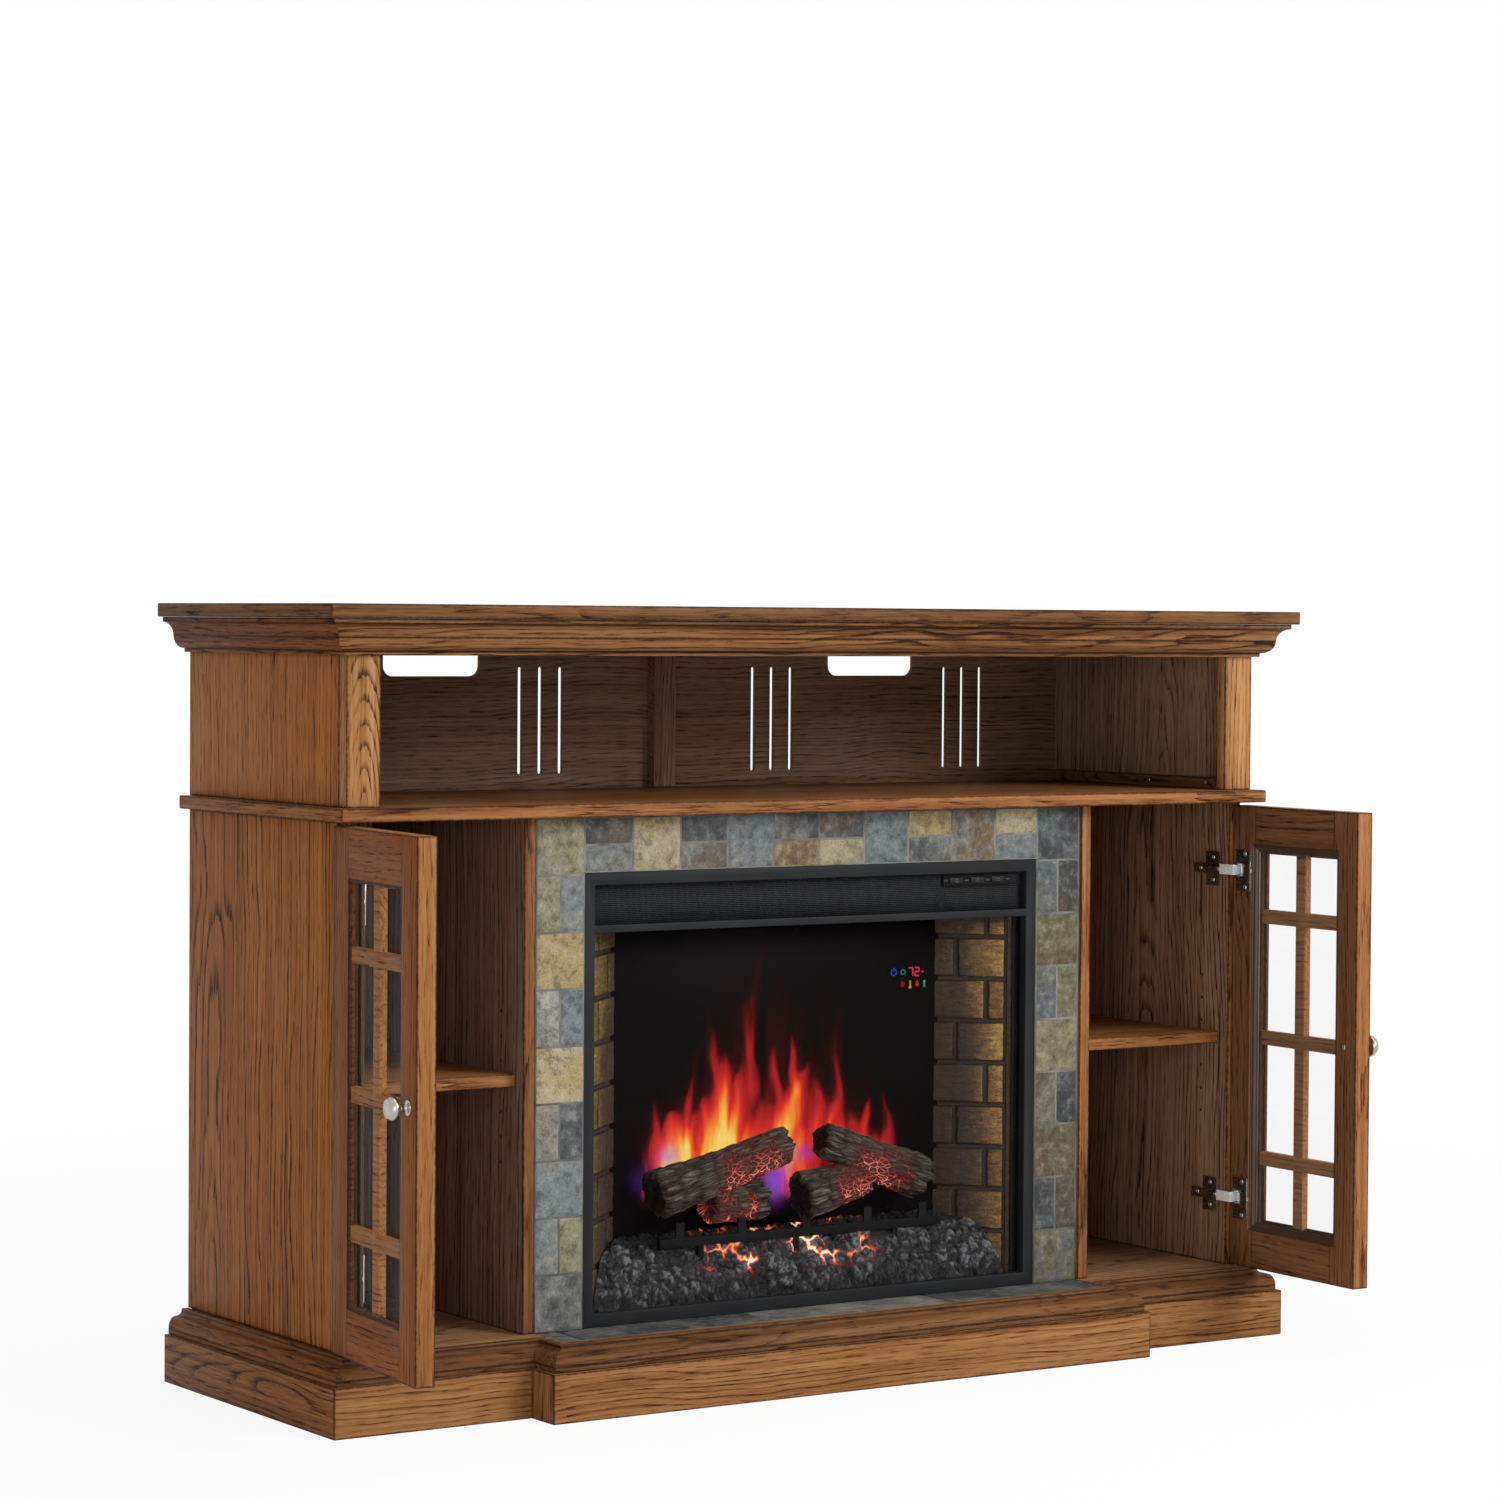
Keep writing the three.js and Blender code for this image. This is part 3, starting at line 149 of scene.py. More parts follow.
class Tree:
    """A tree of nodes, for a material, the room or a modifier, that is filled by one method."""

    def __init__(self, tree: bpy.types.NodeTree) -> None:
        """Empties the tree and keeps it."""
        self.tree = tree
        self.tree.nodes.clear()

    def node(self, kind: str, settings: dict[str, object] | None = None,
             sockets: dict[str | int, object] | None = None) -> bpy.types.Node:
        """Adds one node, its settings first and its sockets after them.

        Args:
            kind: The node's type.
            settings: Attributes of the node; "stops" holds a ramp's (position, colour) pairs.
            sockets: Values, colours, scalars or output sockets for the inputs, by name or number.

        Returns:
            The node.
        """
        node = self.tree.nodes.new(kind)
        for key, value in (settings or {}).items():
            if key == "stops":
                elements = node.color_ramp.elements
                elements.remove(elements[-1])
                for number, (position, colour) in enumerate(value):
                    element = elements[0] if number == 0 else elements.new(position)
                    element.position, element.color = position, (*colour, 1.0)
            else:
                setattr(node, key, value)
        for key, value in (sockets or {}).items():
            self.feed(node.inputs[key], value)
        return node

    def feed(self, socket: Socket, value: object) -> None:
        """Links or sets one input socket.

        Args:
            socket: The input.
            value: A scalar, an output socket, a colour or a plain value.
        """
        if isinstance(value, (Scalar, Socket)):
            self.tree.links.new(value.socket if isinstance(value, Scalar) else value, socket)
        elif socket.type == "RGBA":
            socket.default_value = (*value, 1.0)
        else:
            socket.default_value = value

    def math(self, operation: str, *values: Scalar | float, clamp: bool = False) -> Scalar:
        """Adds one Math node.

        Args:
            operation: What it works out.
            values: Its numbers in order.
            clamp: Whether the result is kept between 0 and 1.

        Returns:
            The result.
        """
        settings = {"operation": operation, "use_clamp": clamp}
        return Scalar(self, self.node("ShaderNodeMath", settings, dict(enumerate(values))).outputs[0])

    def seen(self) -> tuple[Scalar, Scalar, Scalar]:
        """Tells whether a ray comes from the camera, from gloss or through something clear."""
        rays = self.node("ShaderNodeLightPath")
        return tuple(Scalar(self, rays.outputs[f"Is {kind} Ray"])
                     for kind in ("Camera", "Glossy", "Transmission"))


class Paint(Tree):
    """The nodes of one material: its Principled shader, its output and what feeds them."""

    def __init__(self, name: str) -> None:
        """Makes the material with its shader.

        Args:
            name: The material's name.
        """
        self.material = bpy.data.materials.new(name)
        self.material.use_nodes = True
        super().__init__(self.material.node_tree)
        self.shader = self.node("ShaderNodeBsdfPrincipled")
        self.output = self.node("ShaderNodeOutputMaterial", sockets={0: self.shader.outputs[0]})

    def surface(self, **sockets: object) -> None:
        """Feeds inputs of the Principled shader, with underscores for spaces in their names."""
        for key, value in sockets.items():
            self.feed(self.shader.inputs[key.replace("_", " ")], value)

    def place(self, pivot: Triple = (0.0, 0.0, 0.0), turn: float = 0.0) -> Socket:
        """Gives the position on the piece, measured from a pivot and turned back about Z.

        Args:
            pivot: Where the piece's own zero is, in the frame of the model.
            turn: The angle in radians by which the piece stands turned about Z.

        Returns:
            The vector socket.
        """
        place = self.node("ShaderNodeTexCoord").outputs["Object"]
        if turn == 0.0:
            return place
        return self.node("ShaderNodeMapping", {"vector_type": "TEXTURE"}, {
            "Vector": place, "Location": pivot, "Rotation": (0.0, 0.0, turn)}).outputs[0]

    def split(self, vector: Socket) -> list[Scalar]:
        """Gives the three parts of a vector."""
        node = self.node("ShaderNodeSeparateXYZ", sockets={0: vector})
        return [Scalar(self, output) for output in node.outputs]

    def vector(self, *parts: Scalar | float) -> Socket:
        """Gives a vector from three parts."""
        return self.node("ShaderNodeCombineXYZ", sockets=dict(enumerate(parts))).outputs[0]

    def _stretch(self, vector: Socket, scales: Triple | float, shift: float) -> Socket:
        """Scales a vector and moves it by a shift, to pick another stretch of a pattern."""
        scales = scales if isinstance(scales, tuple) else (scales,) * 3
        return self.node("ShaderNodeVectorMath", {"operation": "MULTIPLY_ADD"}, {
            0: vector, 1: scales, 2: (shift, shift * 0.37, shift * 0.71)}).outputs[0]

    def noise(self, vector: Socket, scales: Triple | float, detail: float = 2.0, shift: float = 0.0,
              roughness: float = 0.5) -> Scalar:
        """Gives a cloudy pattern from 0 to 1 with so many cells a metre.

        Args:
            vector: The position.
            scales: Cells a metre, along each axis or along all of them.
            detail: How many finer layers are added.
            shift: Picks another stretch of the same pattern.
            roughness: The strength of the finer layers.

        Returns:
            The pattern.
        """
        node = self.node("ShaderNodeTexNoise", sockets={
            "Vector": self._stretch(vector, scales, shift), "Scale": 1.0, "Detail": detail,
            "Roughness": roughness})
        return Scalar(self, node.outputs[0])

    def cracks(self, vector: Socket, scales: Triple) -> Scalar:
        """Gives the distance to the nearest border between cells, in cells."""
        node = self.node("ShaderNodeTexVoronoi", {"feature": "DISTANCE_TO_EDGE"},
                         {"Vector": self._stretch(vector, scales, 0.0), "Scale": 1.0})
        return Scalar(self, node.outputs["Distance"])

    def number(self, name: str) -> Scalar:
        """Gives a number that the piece carries at each point."""
        return Scalar(self, self.node("ShaderNodeAttribute", {"attribute_name": name}).outputs["Fac"])

    def tint(self, name: str) -> Socket:
        """Gives a colour that the piece carries at each point."""
        return self.node("ShaderNodeAttribute", {"attribute_name": name}).outputs["Color"]

    def blend(self, share: Scalar | float, first: Socket | Colour, second: Socket | Colour,
              kind: str = "MIX") -> Socket:
        """Mixes two colours.

        Args:
            share: How much of the second one.
            first: A colour.
            second: A colour.
            kind: The way of mixing.

        Returns:
            The colour socket.
        """
        return self.node("ShaderNodeMix", {"data_type": "RGBA", "blend_type": kind},
                         {0: share, 6: first, 7: second}).outputs[2]

    def ramp(self, share: Scalar, *stops: tuple[float, Colour]) -> Socket:
        """Gives a colour from a ramp of stops."""
        return self.node("ShaderNodeValToRGB", {"stops": stops}, {0: share}).outputs[0]

    def relief(self, height: Scalar, depth: float, strength: float) -> Socket:
        """Gives the normal of a surface that rises with a height from 0 to 1, so many metres deep."""
        return self.node("ShaderNodeBump", sockets={
            "Strength": strength, "Distance": depth, "Height": height}).outputs[0]


# Finishes


class Finish:
    """Base of the finishes. Each of them paints the Principled shader of a fresh material."""

    def build(self, name: str) -> bpy.types.Material:
        """Makes the material.

        Args:
            name: The material's name.

        Returns:
            The material.
        """
        paint = Paint(name)
        self.mix(paint)
        return paint.material

    def mix(self, paint: Paint) -> None:
        """Feeds the shader.

        Args:
            paint: The material's nodes.
        """
        raise NotImplementedError


def toned(colour: Colour, share: float, lift: float = 0.0) -> Colour:
    """Gives a colour multiplied by a share and lifted by the same amount in each channel."""
    return tuple(part * share + lift for part in colour)


class Board(Enum):
    """How a board lies: the axes of its width, its thickness and its grain."""

    SLAB = (1, 2, 0)
    RAIL = (2, 1, 0)
    PANEL = (1, 0, 2)
    POST = (0, 1, 2)
    RETURN = (2, 0, 1)


@dataclass(frozen=True)
class Stain:
    """The four colours of stained oak, from the palest wood to the open pores, and its glaze."""

    pale: Colour
    wood: Colour
    brown: Colour
    pore: Colour
    glaze: Colour = (0.020, 0.009, 0.005)

    def toned(self, red: float, green: float, blue: float) -> Stain:
        """Gives the stain with each of its colours multiplied, channel by channel."""
        tones = np.array((self.pale, self.wood, self.brown, self.pore)) * (red, green, blue)
        return Stain(*(tuple(float(part) for part in tone) for tone in tones))


HONEY = Stain((0.430, 0.228, 0.096), (0.300, 0.135, 0.047), (0.170, 0.067, 0.021), (0.046, 0.018, 0.007))
AMBER = Stain((0.330, 0.145, 0.052), (0.220, 0.086, 0.029), (0.122, 0.043, 0.015), (0.034, 0.013, 0.006))
RUSSET = Stain((0.370, 0.148, 0.045), (0.272, 0.097, 0.027), (0.158, 0.050, 0.013), (0.040, 0.013, 0.005))
CROWN = Stain((0.235, 0.102, 0.037), (0.152, 0.059, 0.020), (0.084, 0.031, 0.011), (0.024, 0.009, 0.005))
INSIDE = Stain((0.165, 0.078, 0.034), (0.115, 0.050, 0.021), (0.066, 0.027, 0.012), (0.020, 0.009, 0.005))
BACK = Stain((0.165, 0.076, 0.034), (0.115, 0.048, 0.021), (0.066, 0.027, 0.012), (0.020, 0.009, 0.005))
DOOR = Stain((0.335, 0.154, 0.054), (0.245, 0.100, 0.033), (0.145, 0.053, 0.018), (0.037, 0.014, 0.007))
BEAD = Stain((0.130, 0.050, 0.018), (0.085, 0.031, 0.011), (0.045, 0.016, 0.006), (0.014, 0.006, 0.003))
PLINTH = HONEY.toned(0.74, 0.69, 0.64)
MOULDING = CROWN.toned(0.80, 0.86, 0.94)


@dataclass(frozen=True)
class Grain:
    """Where a board was cut from its log, in metres.

    centre and heart are the heart's place across the board and behind its face, lean is how far it
    drifts for each metre of length, ring is the width of a year's growth, figure is how strongly
    the rings show, shift picks another stretch of the patterns, and wander is how crooked it grew.
    """

    centre: float
    heart: float
    lean: float
    ring: float
    figure: float
    shift: float
    wander: float = 1.0


@dataclass(frozen=True)
class Turned:
    """Where a piece's grain runs crosswise: in a strip of its length, or on both sides of it."""

    middle: float
    half: float
    inside: bool


@dataclass(frozen=True)
class ShadedFace:
    """A face of a piece whose stain is toned to paint light or shade on it: its axis, its level and what
    tones its stain.
    """

    axis: int
    level: float
    shade: Colour


@dataclass(frozen=True)
class Oak(Finish):
    """Stained and glazed oak veneer under a satin lacquer.

    low and high are the corners of the piece, edge is how wide the dark glaze lies along its
    edges, grooves are the levels of its moulded lines, pivot and turn are its place, and window is
    the opening between its stiles and rails.
    """

    stain: Stain
    board: Board
    grain: Grain
    low: Triple
    high: Triple
    edge: float
    grooves: tuple[float, ...] = ()
    pivot: Triple = (0.0, 0.0, 0.0)
    turn: float = 0.0
    window: tuple[float, float, float, float] | None = None
    turned: Turned | None = None
    shaded_faces: tuple[ShadedFace, ...] = ()

    def _edge_distance(self, parts: list[Scalar]) -> Scalar:
        """Works out the distance to the nearest arris of the piece's box and of its window.

        On the surface the smallest of the three distances to the box's faces is zero, so the
        middle one of the three is the distance to the nearest edge.

        Args:
            parts: The position on the piece.

        Returns:
            The distance in metres.
        """
        first, second, third = ((part - low).least(high - part).size()
                                for part, low, high in zip(parts, self.low, self.high))
        middle = first.least(second).most(first.most(second).least(third))
        if self.window is not None:
            left, right, bottom, top = self.window
            x_gap = (parts[0] - (left + right) / 2).size() - (right - left) / 2
            z_gap = (parts[2] - (bottom + top) / 2).size() - (top - bottom) / 2
            middle = middle.least(x_gap.most(z_gap).size())
        return middle

    def mix(self, paint: Paint) -> None:
        """Grows the rings, opens the pores and lays the glaze.

        The years' rings are shells round the heart: the distance from the heart's wandering line,
        cut into steps of one ring. Each ring starts dark and porous and turns pale, and long thin
        dashes stand for the open pores.

        Args:
            paint: The material's nodes.
        """
        place = paint.place(self.pivot, self.turn)
        parts = paint.split(place)
        own = [part - (low + high) / 2 for part, low, high in zip(parts, self.low, self.high)]
        across, deep, along = (own[index] for index in self.board.value)
        if self.turned is not None:
            share = (parts[0] - self.turned.middle).size().below(self.turned.half)
            share = share if self.turned.inside else 1 - share
            across, along = across + share * (along - across), along + share * (across + 0.31 - along)
        spot = paint.vector(across, deep, along)
        grain, stain = self.grain, self.stain

        def noise(wide: float, long: float, detail: float, shift: float, rough: float = 0.5) -> Scalar:
            """Gives a pattern that is drawn out along the grain."""
            return paint.noise(spot, (wide, wide, long), detail, grain.shift + shift, rough)

        side = across - grain.centre + (noise(2.0, 2.6, 2.0, 0.0) - 0.5) * (0.05 * grain.wander)
        sway = noise(3.0, 5.5, 1.0, 7.3)
        heart = deep + grain.heart + along * grain.lean + (sway - 0.5) * (0.045 * grain.wander)
        fret, season = noise(260.0, 14.0, 2.0, 3.1), noise(34.0, 0.9, 1.0, 13.0)
        ring = (side * side + heart * heart).root() * (1.0 / grain.ring)
        ring = ring + (fret - 0.5) * 0.55 + (season - 0.5) * (2.4 * grain.wander)
        early = 1 - ring.fraction().eased(0.0, 0.46)
        gate = noise(48.0, 1.4, 2.0, 4.4).eased(0.40, 0.62)
        streak, cloud = noise(150.0, 1.7, 3.0, 5.9, 0.66), noise(9.0, 2.0, 2.0, 11.0)
        vessels = noise(430.0, 30.0, 2.0, 8.3).eased(0.50, 0.61)
        pores = noise(1250.0, 42.0, 1.0, 1.7).eased(0.54, 0.70)
        pores = (pores * 0.5 + vessels * 0.8) * (0.34 + 0.66 * early)
        tone = 0.20 + (streak - 0.5) * (0.55 + 1.00 * grain.figure) + (cloud - 0.5) * 0.40
        tone = (tone + early * (0.15 + gate * 0.95) * (0.50 * grain.figure) + pores * 0.60).clamped()
        colour = paint.ramp(tone, (0.0, stain.pale), (0.36, stain.wood), (0.66, stain.brown),
                            (1.0, stain.pore))
        # Painted light and shade: each face listed here has its stain multiplied by its tone.
        for shaded_face in self.shaded_faces:
            on_face = (parts[shaded_face.axis] - shaded_face.level).size().below(0.0012)
            colour = paint.blend(on_face, colour, shaded_face.shade, "MULTIPLY")
        rag = paint.noise(place, 160.0, 2.0, grain.shift + 2.0)
        gap = self._edge_distance(parts) + (rag - 0.5) * (self.edge * 1.1)
        glaze = 1 - gap.eased(0.0, self.edge)
        for level in self.grooves:
            line = (parts[2] - level).size() + (rag - 0.5) * 0.0015
            glaze = glaze.most(1 - line.eased(0.0003, 0.0024))
        if self.window is not None:
            left, right = self.window[:2]
            joint = ((parts[0] - (left + right) / 2).size() - (right - left) / 2).size()
            glaze = glaze.most((1 - joint.eased(0.0003, 0.0014)) * 0.7)
        paint.surface(Coat_Weight=0.03, Coat_Roughness=0.28, Specular_IOR_Level=0.04,
                      Base_Color=paint.blend(glaze * 0.86, colour, stain.glaze),
                      Roughness=0.44 + pores * 0.22 + (streak - 0.5) * 0.12,
                      Normal=paint.relief(0.5 - pores * 0.5 - early * 0.12, 0.0004, 0.55))


@dataclass(frozen=True)
class Steel(Finish):
    """Sheet steel or iron under a satin paint, with a faint orange peel."""

    colour: Colour
    roughness: float
    gloss: float

    def mix(self, paint: Paint) -> None:
        """Lays the paint: a slow change of tone over fine grit.

        Args:
            paint: The material's nodes.
        """
        place = paint.place()
        cloud = paint.noise(place, 14.0, 3.0)
        grit = paint.noise(place, 900.0, 1.0, 4.0)
        paint.surface(
            Specular_IOR_Level=self.gloss, Roughness=self.roughness + (cloud - 0.5) * 0.12,
            Base_Color=paint.blend(cloud, toned(self.colour, 0.75), toned(self.colour, 1.35, 0.001)),
            Normal=paint.relief(grit, 0.00012, 0.35))


@dataclass(frozen=True)
class Metal(Finish):
    """Bare or plated metal with fine scratches round or along it.

    fore gives a level along Y, in front of which the piece has another colour, and how metallic it is
    there: the casing's coat of black paint, or the pale painted highlight on the hinge arms.
    """

    colour: Colour
    roughness: float
    scratch: Triple | float = (60.0, 60.0, 2400.0)
    fore: tuple[float, Colour, float] | None = None

    def mix(self, paint: Paint) -> None:
        """Brushes the metal: scratches change its gloss, handling dulls it in clouds.

        Args:
            paint: The material's nodes.
        """
        place = paint.place()
        lines = paint.noise(place, self.scratch, 2.0)
        cloud = paint.noise(place, 70.0, 2.0, 9.0)
        colour = paint.blend(cloud * 0.6, self.colour, toned(self.colour, 0.72))
        paint.surface(Metallic=1.0)
        if self.fore is not None:
            level, coat, metallic = self.fore
            front = (level - paint.split(place)[1]).eased(0.0, 0.0008)
            colour = paint.blend(front, colour, coat)
            paint.surface(Metallic=1 - front * (1.0 - metallic))
        paint.surface(Base_Color=colour, Normal=paint.relief(lines, 0.00005, 0.3),
                      Roughness=self.roughness + (lines - 0.5) * 0.18 + (cloud - 0.5) * 0.1)


@dataclass(frozen=True)
class Plastic(Finish):
    """Moulded plastic with a faint grain."""

    colour: Colour
    roughness: float
    gloss: float = 0.45

    def mix(self, paint: Paint) -> None:
        """Moulds the plastic: a fine leather-like grain and a little unevenness of tone.

        Args:
            paint: The material's nodes.
        """
        place = paint.place()
        grit = paint.noise(place, 700.0)
        cloud = paint.noise(place, 30.0, 2.0, 3.0)
        paint.surface(Specular_IOR_Level=self.gloss, Roughness=self.roughness + (grit - 0.5) * 0.12,
                      Base_Color=paint.blend(cloud, self.colour, toned(self.colour, 1.3, 0.002)),
                      Normal=paint.relief(grit, 0.0001, 0.3))


@dataclass(frozen=True)
class Glass(Finish):
    """Thin clear pane: nearly see-through, with its gloss left on."""

    colour: Colour = (0.30, 0.34, 0.33)
    body: float = 0.035
    rim: float = 0.12
    gloss: float = 0.3

    def mix(self, paint: Paint) -> None:
        """Clears the pane: alpha rises towards a glancing view, and faint wipe marks dull it.

        Args:
            paint: The material's nodes.
        """
        weight = paint.node("ShaderNodeLayerWeight", sockets={"Blend": 0.28})
        facing = Scalar(paint, weight.outputs["Facing"])
        wipe = paint.noise(paint.place(), (6.0, 6.0, 34.0), 3.0)
        paint.surface(Specular_IOR_Level=self.gloss, Roughness=0.03, IOR=1.5,
                      Base_Color=paint.blend(wipe, self.colour, toned(self.colour, 0.9)),
                      Alpha=(self.body + facing * facing * self.rim + wipe * 0.02).clamped())


@dataclass(frozen=True)
class Screen(Finish):
    """Smoked glossy acrylic behind the fire."""

    colour: Colour = (0.0030, 0.0025, 0.0027)
    smoke: Colour = (0.006, 0.0042, 0.0044)

    def mix(self, paint: Paint) -> None:
        """Smokes the screen: nearly black, with a faint warm cloud."""
        cloud = paint.noise(paint.place(), (7.0, 7.0, 4.0), 3.0)
        paint.surface(Specular_IOR_Level=0.02, Base_Color=paint.blend(cloud, self.colour, self.smoke),
                      Roughness=0.32 + (cloud - 0.5) * 0.1)


@dataclass(frozen=True)
class Slate(Finish):
    """Split slate: each tile's two tints in drifting clouds, thin layers and rust specks."""

    fleck: Colour = (0.020, 0.019, 0.018)
    chalk: Colour = (0.30, 0.29, 0.25)
    rust: Colour = (0.10, 0.055, 0.022)
    gloss: float = 0.15
    roughness: float = 0.62

    def mix(self, paint: Paint) -> None:
        """Splits the stone.

        The tile's own noise shift comes from its "lot" number, so no pattern runs on from one tile
        to the next. Cloudy noise chooses between its two tints, a stepped noise makes the cleft
        layers, and sparse dark flecks and pale scratches lie over them.

        Args:
            paint: The material's nodes.
        """
        lot = paint.number("lot")
        parts = paint.split(paint.place())
        spot = paint.vector(*(part + lot * share for part, share in zip(parts, (3.1, 1.7, 2.3))))
        cloud = paint.noise(spot, 17.0, 5.0, 0.0, 0.64)
        colour = paint.blend(cloud.eased(0.40, 0.60), paint.tint("tint"), paint.tint("vein"))
        grit = paint.noise(spot, 420.0, 3.0, 2.0, 0.7)
        mottle = paint.noise(spot, 75.0, 4.0, 5.0, 0.7)
        colour = paint.blend((0.5 - grit).eased(0.0, 0.20) * 0.50, colour, self.fleck)
        colour = paint.blend((0.5 - mottle).eased(0.0, 0.15) * 0.48, colour, self.fleck)
        colour = paint.blend((mottle - 0.5).eased(0.0, 0.20) * 0.32, colour, self.chalk, "SCREEN")
        specks = paint.noise(spot, 60.0, 4.0, 8.0, 0.7).eased(0.62, 0.74)
        layers = paint.noise(spot, 34.0, 3.0, 12.0, 0.55) * 7.0
        height = layers * 0.10 + layers.fraction().eased(0.0, 0.22) * 0.18 + grit * 0.35 + mottle * 0.25
        paint.surface(Specular_IOR_Level=self.gloss, Roughness=self.roughness + (grit - 0.5) * 0.3,
                      Base_Color=paint.blend(specks * 0.35, colour, self.rust),
                      Normal=paint.relief(height, 0.0011, 0.8))


@dataclass(frozen=True)
class Grout(Finish):
    """Sanded grout, pale grey and a little stained."""

    colour: Colour = (0.205, 0.200, 0.180)

    def mix(self, paint: Paint) -> None:
        """Sands the grout: coarse grains and darker clouds.

        Args:
            paint: The material's nodes.
        """
        place = paint.place()
        sand = paint.noise(place, 1300.0)
        cloud = paint.noise(place, 25.0, 3.0, 6.0).eased(0.35, 0.75)
        paint.surface(Specular_IOR_Level=0.2, Roughness=0.85 + (sand - 0.5) * 0.1,
                      Base_Color=paint.blend(cloud, self.colour, toned(self.colour, 0.45)),
                      Normal=paint.relief(sand, 0.0004, 0.6))


@dataclass(frozen=True)
class Brickwork(Finish):
    """Cast brick with light and shade painted in: tan to gold where its "light" number paints lamp light,
    brown-purple where it paints shade deeper in, with dark mortar.
    """

    tan: Colour = (0.200, 0.112, 0.040)
    gold: Colour = (0.385, 0.225, 0.070)
    dusk: Colour = (0.070, 0.045, 0.027)
    deep: Colour = (0.036, 0.023, 0.020)
    mortar: Colour = (0.052, 0.037, 0.029)
    shadow: Colour = (0.008, 0.005, 0.0045)

    def mix(self, paint: Paint) -> None:
        """Colours the brick by the piece's "light" and "face" numbers and dragged, pitted noise.

        The light number is painted light and shade, which also darkens the mortar, and a painted
        shadow line runs where each brick's face meets the joint.

        Args:
            paint: The material's nodes.
        """
        place = paint.place()
        light, face = paint.number("light"), paint.number("face")
        drag = paint.noise(place, (60.0, 60.0, 210.0), 5.0, 0.0, 0.68)
        pit = paint.noise(place, (330.0, 330.0, 420.0), 3.0, 5.0, 0.65)
        share = (light + (drag - 0.5) * 1.2).clamped()
        colour = paint.ramp(share, (0.0, self.deep), (0.42, self.dusk), (0.78, self.tan), (1.0, self.gold))
        colour = paint.blend((pit - 0.5).eased(0.0, 0.14) * 0.6, colour, self.deep)
        joint = paint.blend(light * 0.8 + 0.2, self.deep, self.mortar)
        colour = paint.blend(face.eased(0.35, 0.9), joint, colour)
        # Painted shadow: a dark line along each brick's edge, between its face and the joint.
        edge = 1 - (face - 0.45).size().eased(0.05, 0.40)
        paint.surface(Specular_IOR_Level=0.12, Base_Color=paint.blend(edge * 0.85, colour, self.shadow),
                      Roughness=0.55 + (pit - 0.5) * 0.3,
                      Normal=paint.relief(drag * 0.6 + pit * 0.4, 0.0022, 0.9))


@dataclass(frozen=True)
class Ash(Finish):
    """Burnt-out embers: grey wool-like ash with fire in the gaps."""

    dark: Colour = (0.0110, 0.0105, 0.0108)
    grey: Colour = (0.040, 0.0395, 0.0415)
    pale: Colour = (0.150, 0.150, 0.156)

    def mix(self, paint: Paint) -> None:
        """Burns the ash by the piece's two numbers, one for pale ash with painted shade and one for fire,
        and by a fibrous noise.

        Args:
            paint: The material's nodes.
        """
        fire = paint.number("fire")
        wool = paint.noise(paint.place(), 420.0, 3.0, 0.0, 0.66)
        share = (paint.number("crest") + (wool - 0.5) * 0.75).clamped()
        heat = (fire + (wool - 0.5) * 0.5 * fire).clamped()
        glow = paint.ramp(heat, (0.0, BLACK), (0.22, (0.085, 0.010, 0.008)), (0.42, (0.50, 0.075, 0.040)),
                          (0.66, (1.0, 0.38, 0.15)), (0.90, (1.0, 0.86, 0.66)))
        paint.surface(Specular_IOR_Level=0.08, Emission_Strength=1.0, Emission_Color=glow,
                      Base_Color=paint.ramp(share, (0.0, self.dark), (0.40, self.grey), (1.0, self.pale)),
                      Roughness=0.85 + (wool - 0.5) * 0.2, Normal=paint.relief(wool, 0.0018, 0.9))


@dataclass(frozen=True)
class Bark(Finish):
    """Charred bark whose cracks glow where the fire has eaten into it."""

    crack: Colour = (0.010, 0.007, 0.006)
    skin: Colour = (0.038, 0.029, 0.023)
    ridge: Colour = (0.190, 0.165, 0.135)
    char: Colour = (0.020, 0.011, 0.010)

    def mix(self, paint: Paint) -> None:
        """Chars the bark.

        The piece carries "rise", how high the bark stands, "fire", how hot it is, and its own
        along-and-around map, on which a net of cells makes the checked charcoal.

        Args:
            paint: The material's nodes.
        """
        rise, fire = paint.number("rise"), paint.number("fire")
        chart = paint.node("ShaderNodeUVMap", {"uv_map": "chart"}).outputs[0]
        fibre = paint.noise(chart, (460.0, 34.0, 1.0), 4.0, 0.0, 0.68)
        grit = paint.noise(paint.place(), 500.0, 2.0, 6.0)
        warp = paint.noise(chart, (260.0, 260.0, 1.0), 2.0, 3.0)
        line = 1 - (paint.cracks(chart, (170.0, 95.0, 1.0)) + (warp - 0.5) * 0.10).eased(0.0, 0.085)
        share = (rise * 0.62 + (fibre - 0.5) * 1.9 + 0.08).clamped()
        colour = paint.ramp(share, (0.0, self.crack), (0.50, self.skin), (1.0, self.ridge))
        burnt = fire.eased(0.05, 0.5)
        heat = (fire * (0.17 + 0.74 * line) + (grit - 0.5) * 0.22 * fire).clamped()
        glow = paint.ramp(heat, (0.0, BLACK), (0.18, (0.055, 0.008, 0.006)), (0.5, (0.30, 0.030, 0.020)),
                          (0.78, (0.80, 0.17, 0.11)), (1.0, (1.0, 0.55, 0.44)))
        height = rise * 0.3 + fibre * 0.6 - line * burnt * 0.5 + grit * 0.15
        paint.surface(Specular_IOR_Level=0.08, Emission_Strength=1.0, Emission_Color=glow,
                      Base_Color=paint.blend(burnt * 0.75, colour, self.char),
                      Roughness=0.8 + (grit - 0.5) * 0.2, Normal=paint.relief(height, 0.0022, 0.9))


